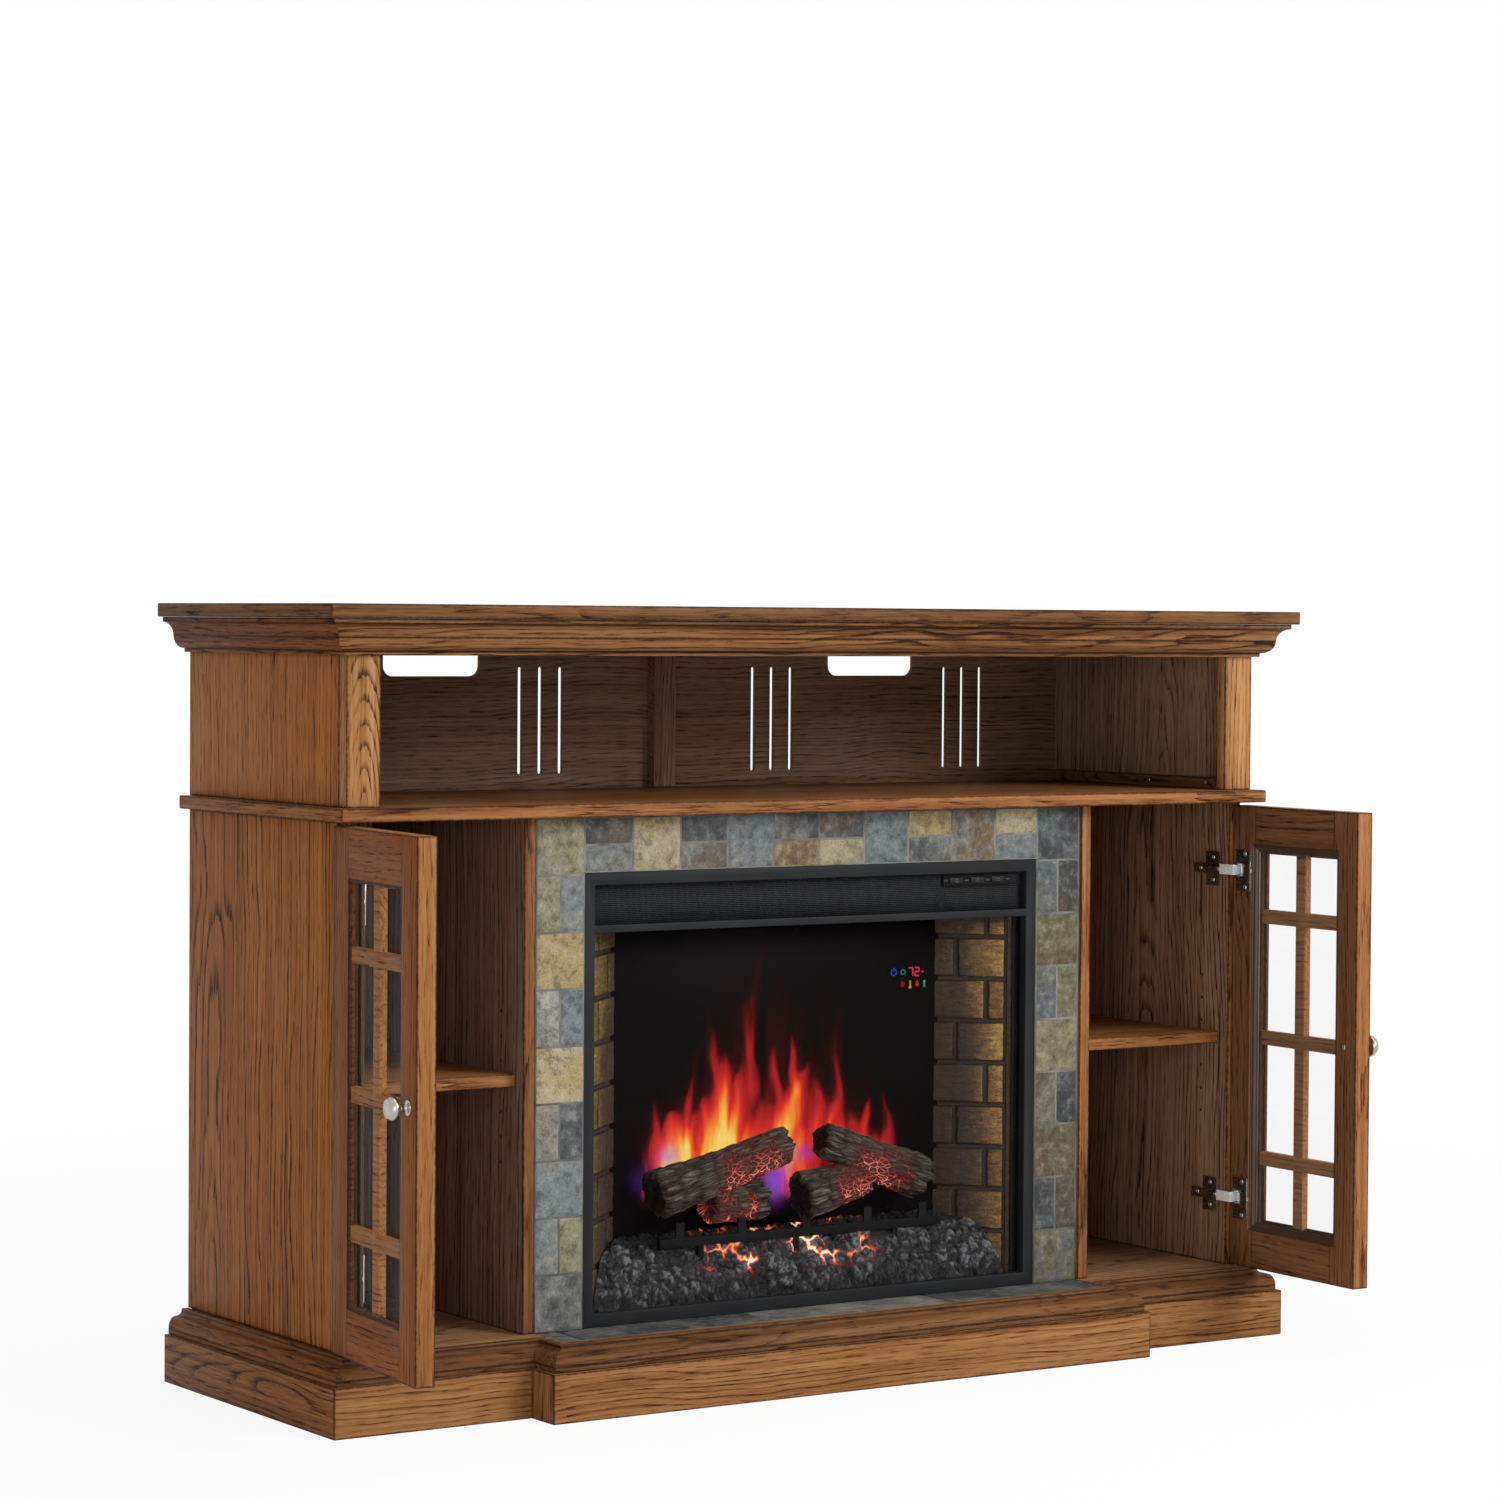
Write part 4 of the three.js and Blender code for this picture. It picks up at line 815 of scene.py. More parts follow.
@dataclass(frozen=True)
class Light(Finish):
    """A picture made of light: its colours are carried by the piece and shine through the screen."""

    strength: float
    film: Colour = (0.004, 0.003, 0.003)

    def mix(self, paint: Paint) -> None:
        """Shines with the piece's "shine" colours; where they are black it is clear.

        Args:
            paint: The material's nodes.
        """
        shine = paint.tint("shine")
        red, green, blue = paint.split(shine)
        shimmer = paint.noise(paint.place(), (220.0, 220.0, 60.0))
        paint.surface(Roughness=0.6, Specular_IOR_Level=0.0, Emission_Strength=self.strength,
                      Base_Color=self.film, Emission_Color=paint.blend(shimmer * 0.25, shine, BLACK),
                      Alpha=(red.most(green).most(blue) * 3.0).clamped())


# Meshes worked out as arrays


def smooth_step(value: Array, low: float = 0.0, high: float = 1.0) -> Array:
    """Gives 3 t squared less 2 t cubed, with t the share of the way from low to high."""
    share = np.clip((value - low) / (high - low), 0.0, 1.0)
    return share * share * (3.0 - 2.0 * share)


def spread(cells: Array, seed: int) -> Array:
    """Gives each whole-number cell a fixed number from 0 to 1 by mixing the bits of its parts.

    Args:
        cells: Whole numbers, (..., parts).
        seed: Picks another set of numbers.

    Returns:
        One number for each cell.
    """
    mixed = np.full(cells.shape[:-1], (seed * 7919 + 17) & 0xFFFFFFFF, dtype=np.uint64)
    factors = (73856093, 19349663, 83492791)
    for part, factor in zip(np.moveaxis(cells.astype(np.int64), -1, 0), factors):
        mixed ^= (part.astype(np.uint64) * np.uint64(factor)) & np.uint64(0xFFFFFFFF)
        mixed = (mixed * np.uint64(2654435761) + np.uint64(97)) & np.uint64(0xFFFFFFFF)
        mixed ^= mixed >> np.uint64(15)
    return mixed.astype(float) / 4294967296.0


def cloud_noise(points: Array, cell: float, seed: int = 0) -> Array:
    """Gives smooth noise from 0 to 1: fixed numbers at the corners of square or cubic cells, mixed
    between the corners by a smooth step along each axis.

    Args:
        points: Places, (..., 2) or (..., 3), in metres.
        cell: The size of a cell.
        seed: Picks another pattern.

    Returns:
        The noise at each place.
    """
    scaled = points / cell
    base = np.floor(scaled)
    inside = smooth_step(scaled - base)
    total = np.zeros(points.shape[:-1])
    for corner in np.ndindex(*(2,) * points.shape[-1]):
        offset = np.array(corner)
        weight = np.where(offset == 1, inside, 1.0 - inside).prod(axis=-1)
        total += weight * spread(base + offset, seed)
    return total


def layered_noise(points: Array, cell: float, layers: int, seed: int = 0) -> Array:
    """Adds layers of cloud noise, each half as large and half as strong as the one before.

    Args:
        points: Places, (..., 2) or (..., 3), in metres.
        cell: The size of the largest cells.
        layers: How many layers there are.
        seed: Picks another pattern.

    Returns:
        The noise at each place, from 0 to 1.
    """
    total = sum(cloud_noise(points, cell / 2 ** layer, seed + layer) / 2 ** layer for layer in range(layers))
    return total / (2.0 - 2.0 / 2 ** layers)


def twisted(points: Array, cell: float, seed: int, reach: float) -> Array:
    """Moves flat places about by two patterns of noise.

    Args:
        points: Places, (..., 2), in metres.
        cell: The size of the noise's cells.
        seed: The first of the two patterns.
        reach: How far the noise moves a place.

    Returns:
        The moved places.
    """
    waves = [layered_noise(points, cell, 2, seed + step) for step in range(2)]
    return points + (np.stack(waves, axis=-1) - 0.5) * reach


def lump_distances(points: Array, cell: float, seed: int = 0) -> tuple[Array, Array, Array]:
    """Measures places against lumps, of which each square cell holds one at a fixed random place.

    Args:
        points: Places, (..., 2), in metres.
        cell: The size of a cell.
        seed: Picks another set of lumps.

    Returns:
        How far each place is from its nearest and its second nearest lump's centre, in cells, and
        the nearest lump's own number from 0 to 1.
    """
    scaled = points / cell
    base = np.floor(scaled)
    first, second = np.full((2, *points.shape[:-1]), 9.0)
    number = np.zeros(points.shape[:-1])
    for step in np.ndindex(3, 3):
        home = base + np.array(step) - 1.0
        centre = home + 0.15 + 0.7 * np.stack([spread(home, seed), spread(home, seed + 31)], axis=-1)
        gap = np.linalg.norm(scaled - centre, axis=-1)
        nearer = gap < first
        second = np.where(nearer, first, np.minimum(second, gap))
        number = np.where(nearer, spread(home, seed + 57), number)
        first = np.where(nearer, gap, first)
    return first, second, number


def hump(value: Array, middle: float, width: float) -> Array:
    """Gives a bell that is 1 at its middle and falls to about a third at its width."""
    return np.exp(-((value - middle) / width) ** 2)


def grid_quads(rows: int, columns: int, closed_rows: bool = False, closed_columns: bool = False) -> Array:
    """Lists the quads of a grid of points that are numbered row by row.

    Args:
        rows: How many rows of points there are.
        columns: How many points a row has.
        closed_rows: Whether the last row is joined to the first.
        closed_columns: Whether each row's last point is joined to its first.

    Returns:
        The quads' corners, (quads, 4).
    """
    row = np.arange(rows if closed_rows else rows - 1)[:, None]
    column = np.arange(columns if closed_columns else columns - 1)[None, :]
    right, down = (column + 1) % columns, (row + 1) % rows
    corners = [row * columns + column, row * columns + right, down * columns + right,
               down * columns + column]
    return np.stack(np.broadcast_arrays(*corners), axis=-1).reshape(-1, 4)


def turn_outwards(mesh: bpy.types.Mesh) -> None:
    """Merges doubled points and turns the faces of each shell outwards.

    Args:
        mesh: The mesh.
    """
    shell = bmesh.new()
    shell.from_mesh(mesh)
    bmesh.ops.remove_doubles(shell, verts=shell.verts, dist=1e-6)
    bmesh.ops.recalc_face_normals(shell, faces=shell.faces)
    shell.to_mesh(mesh)
    shell.free()


@dataclass
class Surface:
    """Points, faces and what each point carries, for one mesh."""

    points: Array
    faces: list[Array]
    layers: dict[str, Array] = field(default_factory=dict)

    @staticmethod
    def joined(parts: list[Surface]) -> Surface:
        """Makes one surface of several that carry the same layers.

        Args:
            parts: The surfaces.

        Returns:
            The one surface.
        """
        starts = np.cumsum([0] + [len(part.points) for part in parts])
        faces = [face + start for part, start in zip(parts, starts) for face in part.faces]
        return Surface(np.concatenate([part.points for part in parts]), faces,
                       {name: np.concatenate([part.layers[name] for part in parts])
                        for name in parts[0].layers})

    def moved(self, matrix: Matrix) -> Surface:
        """Gives the surface with its points carried by a matrix."""
        rows = np.array(matrix)
        return Surface(self.points @ rows[:3, :3].T + rows[:3, 3], self.faces, self.layers)

    def carrying(self, **layers: Array | float | Colour) -> Surface:
        """Gives the surface with more layers.

        Args:
            layers: One value for each point, or the same for all of them, by the layer's name.

        Returns:
            The surface.
        """
        carried = dict(self.layers)
        for name, value in layers.items():
            layer = np.asarray(value, dtype=float)
            if layer.shape[:1] != (len(self.points),):
                layer = np.broadcast_to(layer, (len(self.points), *layer.shape))
            carried[name] = layer
        return Surface(self.points, self.faces, carried)

    def piece(self, name: str, material: bpy.types.Material, body: str, slot: str,
              stands_for: tuple[str, ...] = (), smooth: float | None = 40.0,
              recalculate: bool = True) -> None:
        """Makes the object: a mesh at the origin that rides on a body.

        Args:
            name: The piece's name.
            material: Its finish.
            body: The body that it moves with.
            slot: Not used.
            stands_for: Nodes of the model that it replaces.
            smooth: The angle in degrees above which an edge stays sharp, or None for flat faces.
            recalculate: Whether doubles are merged and the faces turned outwards.
        """
        mesh = bpy.data.meshes.new(name)
        widths = np.concatenate([np.full(len(part), part.shape[1]) for part in self.faces])
        corners = np.concatenate([part.ravel() for part in self.faces])
        mesh.vertices.add(len(self.points))
        mesh.vertices.foreach_set("co", np.ascontiguousarray(self.points, dtype=np.float32).ravel())
        mesh.loops.add(len(corners))
        mesh.loops.foreach_set("vertex_index", corners.astype(np.int32))
        mesh.polygons.add(len(widths))
        mesh.polygons.foreach_set("loop_start", (np.cumsum(widths) - widths).astype(np.int32))
        for key, layer in self.layers.items():
            if key == "chart":
                target, part, values = mesh.uv_layers.new(name="chart").data, "uv", layer[corners]
            elif layer.ndim == 2:
                target, part = mesh.attributes.new(key, "FLOAT_COLOR", "POINT").data, "color"
                values = np.concatenate([layer, np.ones((len(layer), 1))], axis=1)
            else:
                target, part, values = mesh.attributes.new(key, "FLOAT", "POINT").data, "value", layer
            target.foreach_set(part, values.astype(np.float32).ravel())
        mesh.update(calc_edges=True)
        mesh.validate()
        if recalculate:
            turn_outwards(mesh)
        mesh.materials.append(material)
        piece = bpy.data.objects.new(name, mesh)
        bpy.context.scene.collection.objects.link(piece)
        if smooth is not None:
            mesh.shade_smooth()
            mesh.set_sharp_from_angle(angle=math.radians(smooth))
        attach(piece, body)
        if stands_for:
            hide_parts(*stands_for)
        log.info("%s: %d points, %d faces on %s", name, len(mesh.vertices), len(mesh.polygons), body)


def loft(loops: Array) -> Surface:
    """Carries a skin over closed loops of points and closes both ends.

    Args:
        loops: The loops in order, (loops, points, 3).

    Returns:
        The solid; each end is a fan round the middle of its loop.
    """
    count, size = loops.shape[:2]
    here = np.arange(size)
    after = (here + 1) % size
    first = np.stack([after, here, np.full(size, count * size)], axis=-1)
    top = (count - 1) * size
    last = np.stack([top + here, top + after, np.full(size, count * size + 1)], axis=-1)
    points = np.concatenate([loops.reshape(-1, 3), loops[[0, -1]].mean(axis=1)])
    return Surface(points, [grid_quads(count, size, closed_columns=True), first, last])


def round_outline(radius: float, sides: int) -> Array:
    """Gives the points of a circle, (sides, 2)."""
    angle = np.arange(sides) * (2 * math.pi / sides)
    return radius * np.stack([np.cos(angle), np.sin(angle)], axis=-1)


def soft_rectangle(half_width: float, half_height: float, radius: float, steps: int = 3) -> Array:
    """Gives the outline of a rectangle whose corners are quarter circles.

    Args:
        half_width: Half of its width.
        half_height: Half of its height.
        radius: The corners' radius.
        steps: Into how many strokes a corner is cut.

    Returns:
        The outline's points, (points, 2).
    """
    angle = np.linspace(0.0, math.pi / 2, steps + 1)
    arc = radius * np.stack([np.cos(angle), np.sin(angle)], axis=-1)
    corner = np.array([half_width - radius, half_height - radius])
    quarters = []
    for quarter, signs in enumerate(((1, 1), (-1, 1), (-1, -1), (1, -1))):
        turn = quarter * math.pi / 2
        spin = np.array([[math.cos(turn), math.sin(turn)], [-math.sin(turn), math.cos(turn)]])
        quarters.append(arc @ spin + corner * np.array(signs))
    return np.concatenate(quarters)


def raised(outline: Array, height: float) -> Array:
    """Puts a flat outline at a height, (points, 3)."""
    return np.insert(outline, 2, height, axis=1)


def button(outline: Array, sections: list[tuple[float, float]]) -> Surface:
    """Builds a flat boss from its outline.

    Args:
        outline: The foot's outline, (points, 2).
        sections: How far the outline is drawn in towards the middle, and the height there.

    Returns:
        The boss, standing on zero.
    """
    reach = np.linalg.norm(outline, axis=-1, keepdims=True)
    return loft(np.stack([raised(outline * np.maximum(1 - inset / reach, 0.0), height)
                          for inset, height in sections]))


def lathe(profile: Array, sides: int) -> Surface:
    """Turns a profile of (radius, height) pairs round Z."""
    return loft(np.stack([raised(round_outline(radius, sides), height) for radius, height in profile]))


def rounded_block(low: Triple, high: Triple, radius: float) -> Surface:
    """Builds a box with eased edges: its outline is drawn in at the top and bottom in an arc.

    Args:
        low: Its lowest corner.
        high: Its highest corner.
        radius: The edges' radius.

    Returns:
        The box.
    """
    half = (np.array(high) - np.array(low)) / 2
    angle = np.linspace(0.0, math.pi / 2, 3)
    arc = list(zip(radius * (1 - np.cos(angle)), radius * (1 - np.sin(angle))))
    levels = [(inset, drop - half[2]) for inset, drop in arc[::-1]] + [
        (inset, half[2] - drop) for inset, drop in arc]
    loops = []
    for inset, level in levels:
        outline = soft_rectangle(half[0] - inset, half[1] - inset, max(radius - inset, 1e-5))
        loops.append(raised(outline, level))
    solid = loft(np.stack(loops))
    return Surface(solid.points + np.array(low) + half, solid.faces)


def stand_on(spot: Triple, way: Triple) -> Matrix:
    """Gives the matrix that stands a piece built along Z on a spot, facing a way."""
    turn = Vector((0.0, 0.0, 1.0)).rotation_difference(Vector(way).normalized())
    return Matrix.Translation(Vector(spot)) @ turn.to_matrix().to_4x4()


def screw_head(radius: float) -> Surface:
    """Builds a low pan head with a cross recess.

    Args:
        radius: The head's radius.

    Returns:
        The head, standing on zero; its rings sink where the arms of the cross run.
    """
    outline = round_outline(1.0, 24)
    arms = np.abs(np.cos(2 * np.arange(24) * (2 * math.pi / 24))) ** 6
    loops = []
    for share, height in ((1.0, 0.0), (1.0, 0.10), (0.86, 0.26), (0.6, 0.34), (0.28, 0.36), (0.12, 0.36)):
        sink = arms * smooth_step(np.array(0.66 - share), 0.0, 0.12) * 0.22
        loops.append(np.insert(outline * share, 2, height - sink, axis=1) * radius)
    return loft(np.stack(loops))


# Sub-assemblies


class Easing:
    """Takes the knife edges off boards and plates of the model with modifiers alone."""

    def __init__(self) -> None:
        """Builds the group that shades shallow edges smooth and keeps the others sharp."""
        self.group = bpy.data.node_groups.new("shade_shallow_edges", "GeometryNodeTree")
        for way in ("INPUT", "OUTPUT"):
            self.group.interface.new_socket("Geometry", in_out=way, socket_type="NodeSocketGeometry")
        tree = Tree(self.group)
        faces = tree.node("GeometryNodeSetShadeSmooth", {"domain": "FACE"}, {
            "Geometry": tree.node("NodeGroupInput").outputs[0]})
        steep = tree.node("FunctionNodeCompare", {"data_type": "FLOAT", "operation": "GREATER_THAN"}, {
            0: tree.node("GeometryNodeInputMeshEdgeAngle").outputs["Unsigned Angle"], 1: math.radians(38.0)})
        edges = tree.node("GeometryNodeSetShadeSmooth", {"domain": "EDGE"}, {
            "Geometry": faces.outputs[0], "Selection": steep.outputs[0], "Shade Smooth": False})
        tree.node("NodeGroupOutput", sockets={0: edges.outputs[0]})

    def apply(self, node: bpy.types.Object, width: float) -> None:
        """Adds the modifiers: merge, flatten, bevel and shade.

        Args:
            node: The board or plate.
            width: The width of the eased edge.
        """
        weld = node.modifiers.new("merge", "WELD")
        weld.merge_threshold = 1e-5
        flat = node.modifiers.new("flatten", "DECIMATE")
        flat.decimate_type = "DISSOLVE"
        flat.angle_limit = math.radians(0.6)
        if width > 0.0:
            bevel = node.modifiers.new("ease", "BEVEL")
            bevel.width = width
            bevel.segments = 2
            bevel.limit_method = "ANGLE"
            bevel.angle_limit = math.radians(40.0)
            bevel.use_clamp_overlap = True
        shade = node.modifiers.new("shade", "NODES")
        shade.node_group = self.group


@dataclass
class Work:
    """Base of the sub-assemblies: the model's nodes and the easing of their edges."""

    nodes: Nodes
    easing: Easing

    def dress(self, name: str, material: bpy.types.Material, ease: float) -> None:
        """Puts one material on a node of the model and eases its edges.

        Args:
            name: The node's name.
            material: Its finish.
            ease: The width of its eased edges.
        """
        node = self.nodes[name]
        if not node.material_slots:
            node.data.materials.append(material)
        for entry in node.material_slots:
            entry.material = material
        self.easing.apply(node, ease)
        log.info("%s: %s", name, material.name)

    def screws(self, name: str, spots: list[Triple], way: Triple, radius: float, steel: Metal) -> None:
        """Adds a set of screw heads to the case.

        Args:
            name: The set's name.
            spots: Where the heads stand.
            way: Where they face.
            radius: A head's radius.
            steel: Their finish.
        """
        heads = [screw_head(radius).moved(stand_on(spot, way)) for spot in spots]
        Surface.joined(heads).piece(name, steel.build(f"steel_{name}"), "cabinet", "hinge_steel")


class Face(Enum):
    """Which face of a board along X looks into the case."""

    LEFT = 0
    RIGHT = 1


@dataclass
class BoardFinish:
    """The finish of one board of the case: how it lies, its stain and its cut from the log.

    One field names the face that looks into the case, and shade is what its stain is multiplied by there:
    painted light and shade for the dim inside of the case.
    """

    board: Board
    stain: Stain
    grain: Grain
    edge: float = 0.004
    ease: float = 0.0008
    grooves: tuple[float, ...] = ()
    banding: float = 0.0
    shaded_side: Face | None = None
    shade: Colour = (0.74, 1.05, 2.10)


CROWN_LINES = (0.9528, 0.9698, 0.9868)
BASE_LINES = (0.0692, 0.0907)
BACK_STILE = Turned(0.0, 0.0175, True)

BOARDS: dict[str, BoardFinish] = {
    "top_panel": BoardFinish(
        Board.SLAB, MOULDING, Grain(-0.05, 0.035, 0.02, 0.0075, 0.9, 1.0), 0.003, 0.0016, banding=0.0012),
    # Painted light and shade: the crown's front is toned paler, and its left return darker and redder, than
    # the right return.
    "crown_front": BoardFinish(
        Board.RAIL, CROWN.toned(1.07, 1.14, 1.20), Grain(0.03, 0.05, 0.03, 0.0075, 1.45, 2.0), 0.003, 0.0005,
        CROWN_LINES),
    "crown_left": BoardFinish(
        Board.RETURN, CROWN.toned(0.93, 0.72, 0.50), Grain(0.03, 0.06, 0.03, 0.0075, 1.2, 3.0), 0.003,
        0.0005, CROWN_LINES),
    "crown_right": BoardFinish(
        Board.RETURN, CROWN, Grain(0.03, 0.06, 0.03, 0.0075, 1.2, 4.0), 0.003, 0.0005, CROWN_LINES),
    "upper_side_left": BoardFinish(
        Board.PANEL, RUSSET.toned(1.10, 1.06, 0.96), Grain(-0.04, 0.020, 0.06, 0.011, 0.42, 5.0),
        shaded_side=Face.RIGHT, shade=(0.85, 1.35, 2.80)),
    "upper_side_right": BoardFinish(
        Board.PANEL, RUSSET, Grain(-0.05, 0.025, 0.10, 0.009, 0.8, 6.0), shaded_side=Face.LEFT,
        shade=(0.85, 1.35, 2.80)),
    "front_post_left": BoardFinish(
        Board.POST, HONEY, Grain(0.0, 0.034, 0.19, 0.0054, 1.0, 7.0, 0.12), 0.0035),
    "front_post_right": BoardFinish(
        Board.POST, HONEY, Grain(0.060, 0.05, 0.05, 0.0070, 0.6, 8.0, 0.4), 0.0035),
    # Painted light: toned paler and greyer, for light that does not reach into the bay.
    "upper_back_panel": BoardFinish(
        Board.RAIL, BACK.toned(1.15, 1.42, 1.90), Grain(0.16, 0.05, 0.02, 0.0060, 0.7, 9.0), 0.003, 0.0004),
    "media_shelf": BoardFinish(
        Board.SLAB, AMBER, Grain(0.03, 0.04, 0.02, 0.0075, 1.1, 10.0), 0.003, 0.0016, banding=0.0012),
    "lower_side_left": BoardFinish(
        Board.PANEL, RUSSET.toned(0.98, 0.94, 0.86), Grain(0.13, 0.05, 0.05, 0.0105, 1.35, 11.0),
        shaded_side=Face.RIGHT),
    "lower_side_right": BoardFinish(
        Board.PANEL, RUSSET, Grain(-0.02, 0.03, 0.07, 0.0085, 1.1, 12.0), shaded_side=Face.LEFT),
    # Painted shade: the left divider is toned darker and a little greyer than the right one.
    "divider_left": BoardFinish(
        Board.PANEL, AMBER.toned(0.68, 0.71, 0.78), Grain(0.36, 0.06, 0.06, 0.0090, 1.0, 13.0), 0.003,
        shaded_side=Face.LEFT, shade=(0.98, 1.28, 2.20)),
    "divider_right": BoardFinish(
        Board.PANEL, AMBER, Grain(0.36, 0.06, 0.05, 0.0090, 1.0, 14.0), 0.003, shaded_side=Face.RIGHT),
    "cupboard_shelf_left": BoardFinish(
        Board.SLAB, AMBER, Grain(0.0, 0.04, 0.05, 0.0075, 0.8, 15.0), 0.002),
    "cupboard_shelf_right": BoardFinish(
        Board.SLAB, AMBER, Grain(0.04, 0.04, 0.05, 0.0075, 0.8, 16.0), 0.002),
    # Painted light: toned paler and greyer, for light that does not reach the inside of the cupboard.
    "lower_back_panel": BoardFinish(
        Board.PANEL, AMBER.toned(1.1, 1.3, 1.6), Grain(0.0, 0.05, 0.03, 0.0085, 0.7, 17.0), 0.003, 0.0004),
    # Painted light: the deck inside the case is toned paler and greyer.
    "base_deck": BoardFinish(
        Board.SLAB, AMBER.toned(1.06, 1.35, 1.90), Grain(-0.08, 0.04, 0.02, 0.0075, 0.9, 18.0), 0.002,
        0.0006),
    "base_moulding_front": BoardFinish(
        Board.RAIL, MOULDING, Grain(0.06, 0.08, 0.015, 0.0070, 0.6, 19.0), 0.002, 0.0003, BASE_LINES),
    "base_moulding_left": BoardFinish(
        Board.RETURN, CROWN.toned(1.05, 0.90, 0.68), Grain(0.06, 0.08, 0.02, 0.0070, 0.6, 20.0), 0.002,
        0.0003, BASE_LINES),
    "base_moulding_right": BoardFinish(
        Board.RETURN, MOULDING, Grain(0.06, 0.08, 0.02, 0.0070, 0.6, 21.0), 0.002, 0.0003, BASE_LINES),
    "plinth_front_center": BoardFinish(
        Board.RAIL, PLINTH, Grain(0.10, 0.045, 0.03, 0.0070, 0.95, 22.0), 0.003, banding=0.0012),
    "plinth_front_left": BoardFinish(Board.RAIL, PLINTH, Grain(0.08, 0.05, 0.04, 0.0070, 0.95, 23.0), 0.003),
    "plinth_front_right": BoardFinish(Board.RAIL, PLINTH, Grain(0.0, 0.03, 0.06, 0.0070, 1.0, 24.0), 0.003),
    "plinth_side_left": BoardFinish(Board.RETURN, AMBER, Grain(0.0, 0.05, 0.06, 0.0070, 1.1, 25.0), 0.003),
    "plinth_side_right": BoardFinish(Board.RETURN, AMBER, Grain(0.0, 0.05, 0.06, 0.0070, 1.1, 26.0), 0.003),
    "plinth_center_rail": BoardFinish(
        Board.RETURN, INSIDE, Grain(0.0, 0.1, 0.05, 0.006, 0.8, 27.0), 0.002),
}


@dataclass
class Joinery(Work):
    """The oak case: boards of the model, each with its own cut of veneer, and its small fittings."""

    screw_steel: Metal = Metal((0.30, 0.29, 0.27), 0.38)
    shelf_low: float = 0.405
    pin_radius: float = 0.0025
    pin_reach: float = 0.008
    pin_depths: tuple[float, ...] = (-0.112, 0.182)
    hole_steps: tuple[int, ...] = (-3, -2, -1, 1, 2, 3)
    hole_pitch: float = 0.032
    cleat: tuple[Triple, Triple] = ((0.6765, -0.1690, 0.7622), (0.6940, 0.2100, 0.7780))

    def dress_boards(self) -> None:
        """Gives every board its finish and eased edges."""
        for name, finish in BOARDS.items():
            low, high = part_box(name)
            turned = BACK_STILE if name == "upper_back_panel" else None
            if finish.banding > 0.0:
                turned = Turned((low[0] + high[0]) / 2, (high[0] - low[0]) / 2 - finish.banding, False)
            shaded_faces = () if finish.shaded_side is None else (
                ShadedFace(0, (low[0], high[0])[finish.shaded_side.value], finish.shade),)
            oak = Oak(finish.stain, finish.board, finish.grain, tuple(low), tuple(high), finish.edge,
                      finish.grooves, turned=turned, shaded_faces=shaded_faces)
            self.dress(name, oak.build(f"oak_{name}"), finish.ease)

    def add_cleat(self) -> None:
        """Adds the low cleat at the right of the media bay, with its two screws."""
        low, high = self.cleat
        oak = Oak(INSIDE, Board.RETURN, Grain(0.0, 0.05, 0.05, 0.006, 0.8, 31.0), low, high, 0.002)
        cleat = rounded_block(low, high, 0.0008)
        cleat.piece("bay_cleat", oak.build("oak_bay_cleat"), "cabinet", "oak_inside")
        self.screws("bay_cleat_screws", [(low[0], y, 0.7705) for y in (-0.135, -0.010)], (-1.0, 0.0, 0.0),
                    0.0034, self.screw_steel)

    def add_shelf_pins(self) -> None:
        """Adds a pin under each shelf corner and, above and below it, rows of thin near-black discs:
        painted shade that stands for the spare holes.
        """
        pin = button(round_outline(self.pin_radius, 12),
                     [(0.0, 0.0), (0.0, self.pin_reach - 0.0006), (0.0006, self.pin_reach)])
        hole = button(round_outline(self.pin_radius, 10), [(0.0, 0.0), (0.0002, 0.0001)])
        level = self.shelf_low - self.pin_radius - 0.0002
        pins, holes = [], []
        for face, way in ((-0.6942, 1.0), (-0.4491, -1.0), (0.6942, -1.0), (0.4491, 1.0)):
            for depth in self.pin_depths:
                pins.append(pin.moved(stand_on((face, depth, level), (way, 0.0, 0.0))))
                for step in self.hole_steps:
                    spot = (face, depth, level + step * self.hole_pitch)
                    holes.append(hole.moved(stand_on(spot, (way, 0.0, 0.0))))
        steel = Metal((0.42, 0.41, 0.38), 0.32).build("steel_shelf_pins")
        Surface.joined(pins).piece("shelf_pins", steel, "cabinet", "hinge_steel")
        # The spare holes are thin discs in a near-black colour: painted shade, not real holes.
        dark = Plastic((0.008, 0.005, 0.004), 0.8).build("painted_hole_shade")
        Surface.joined(holes).piece("shelf_pin_holes", dark, "cabinet", "oak_inside")

    def add_back_screws(self) -> None:
        """Adds the screws that hold the two back panels, on the side that faces the wall."""
        places = [(x, z) for z in (0.778, 0.977) for x in np.linspace(-0.66, 0.66, 9)]
        places += [(x, z) for x in (-0.684, 0.684) for z in np.linspace(0.03, 0.72, 6)]
        places += [(x, z) for x in (-0.440, 0.440) for z in np.linspace(0.12, 0.70, 5)]
        self.screws("back_panel_screws", [(float(x), 0.238, float(z)) for x, z in places], (0.0, 1.0, 0.0),
                    0.0034, self.screw_steel)

    def make(self) -> None:
        """Dresses the case and adds its fittings."""
        self.dress_boards()
        self.add_cleat()
        self.add_shelf_pins()
        self.add_back_screws()


OCHRE = (0.265, 0.200, 0.092)
OLIVE = (0.185, 0.172, 0.095)
KHAKI = (0.185, 0.168, 0.115)
SAND = (0.295, 0.248, 0.155)
TAN = (0.240, 0.175, 0.100)
BLUE = (0.130, 0.148, 0.158)
GREY = (0.150, 0.150, 0.140)
DARK = (0.060, 0.063, 0.066)
TAUPE = (0.105, 0.085, 0.068)
BROWN = (0.140, 0.095, 0.055)
TEAL = (0.115, 0.140, 0.135)
PALE = (0.270, 0.265, 0.225)


@dataclass(frozen=True)
class Tile:
    """One slate tile: its rectangle and its two tints."""

    left: float
    right: float
    bottom: float
    top: float
    tint: Colour
    vein: Colour


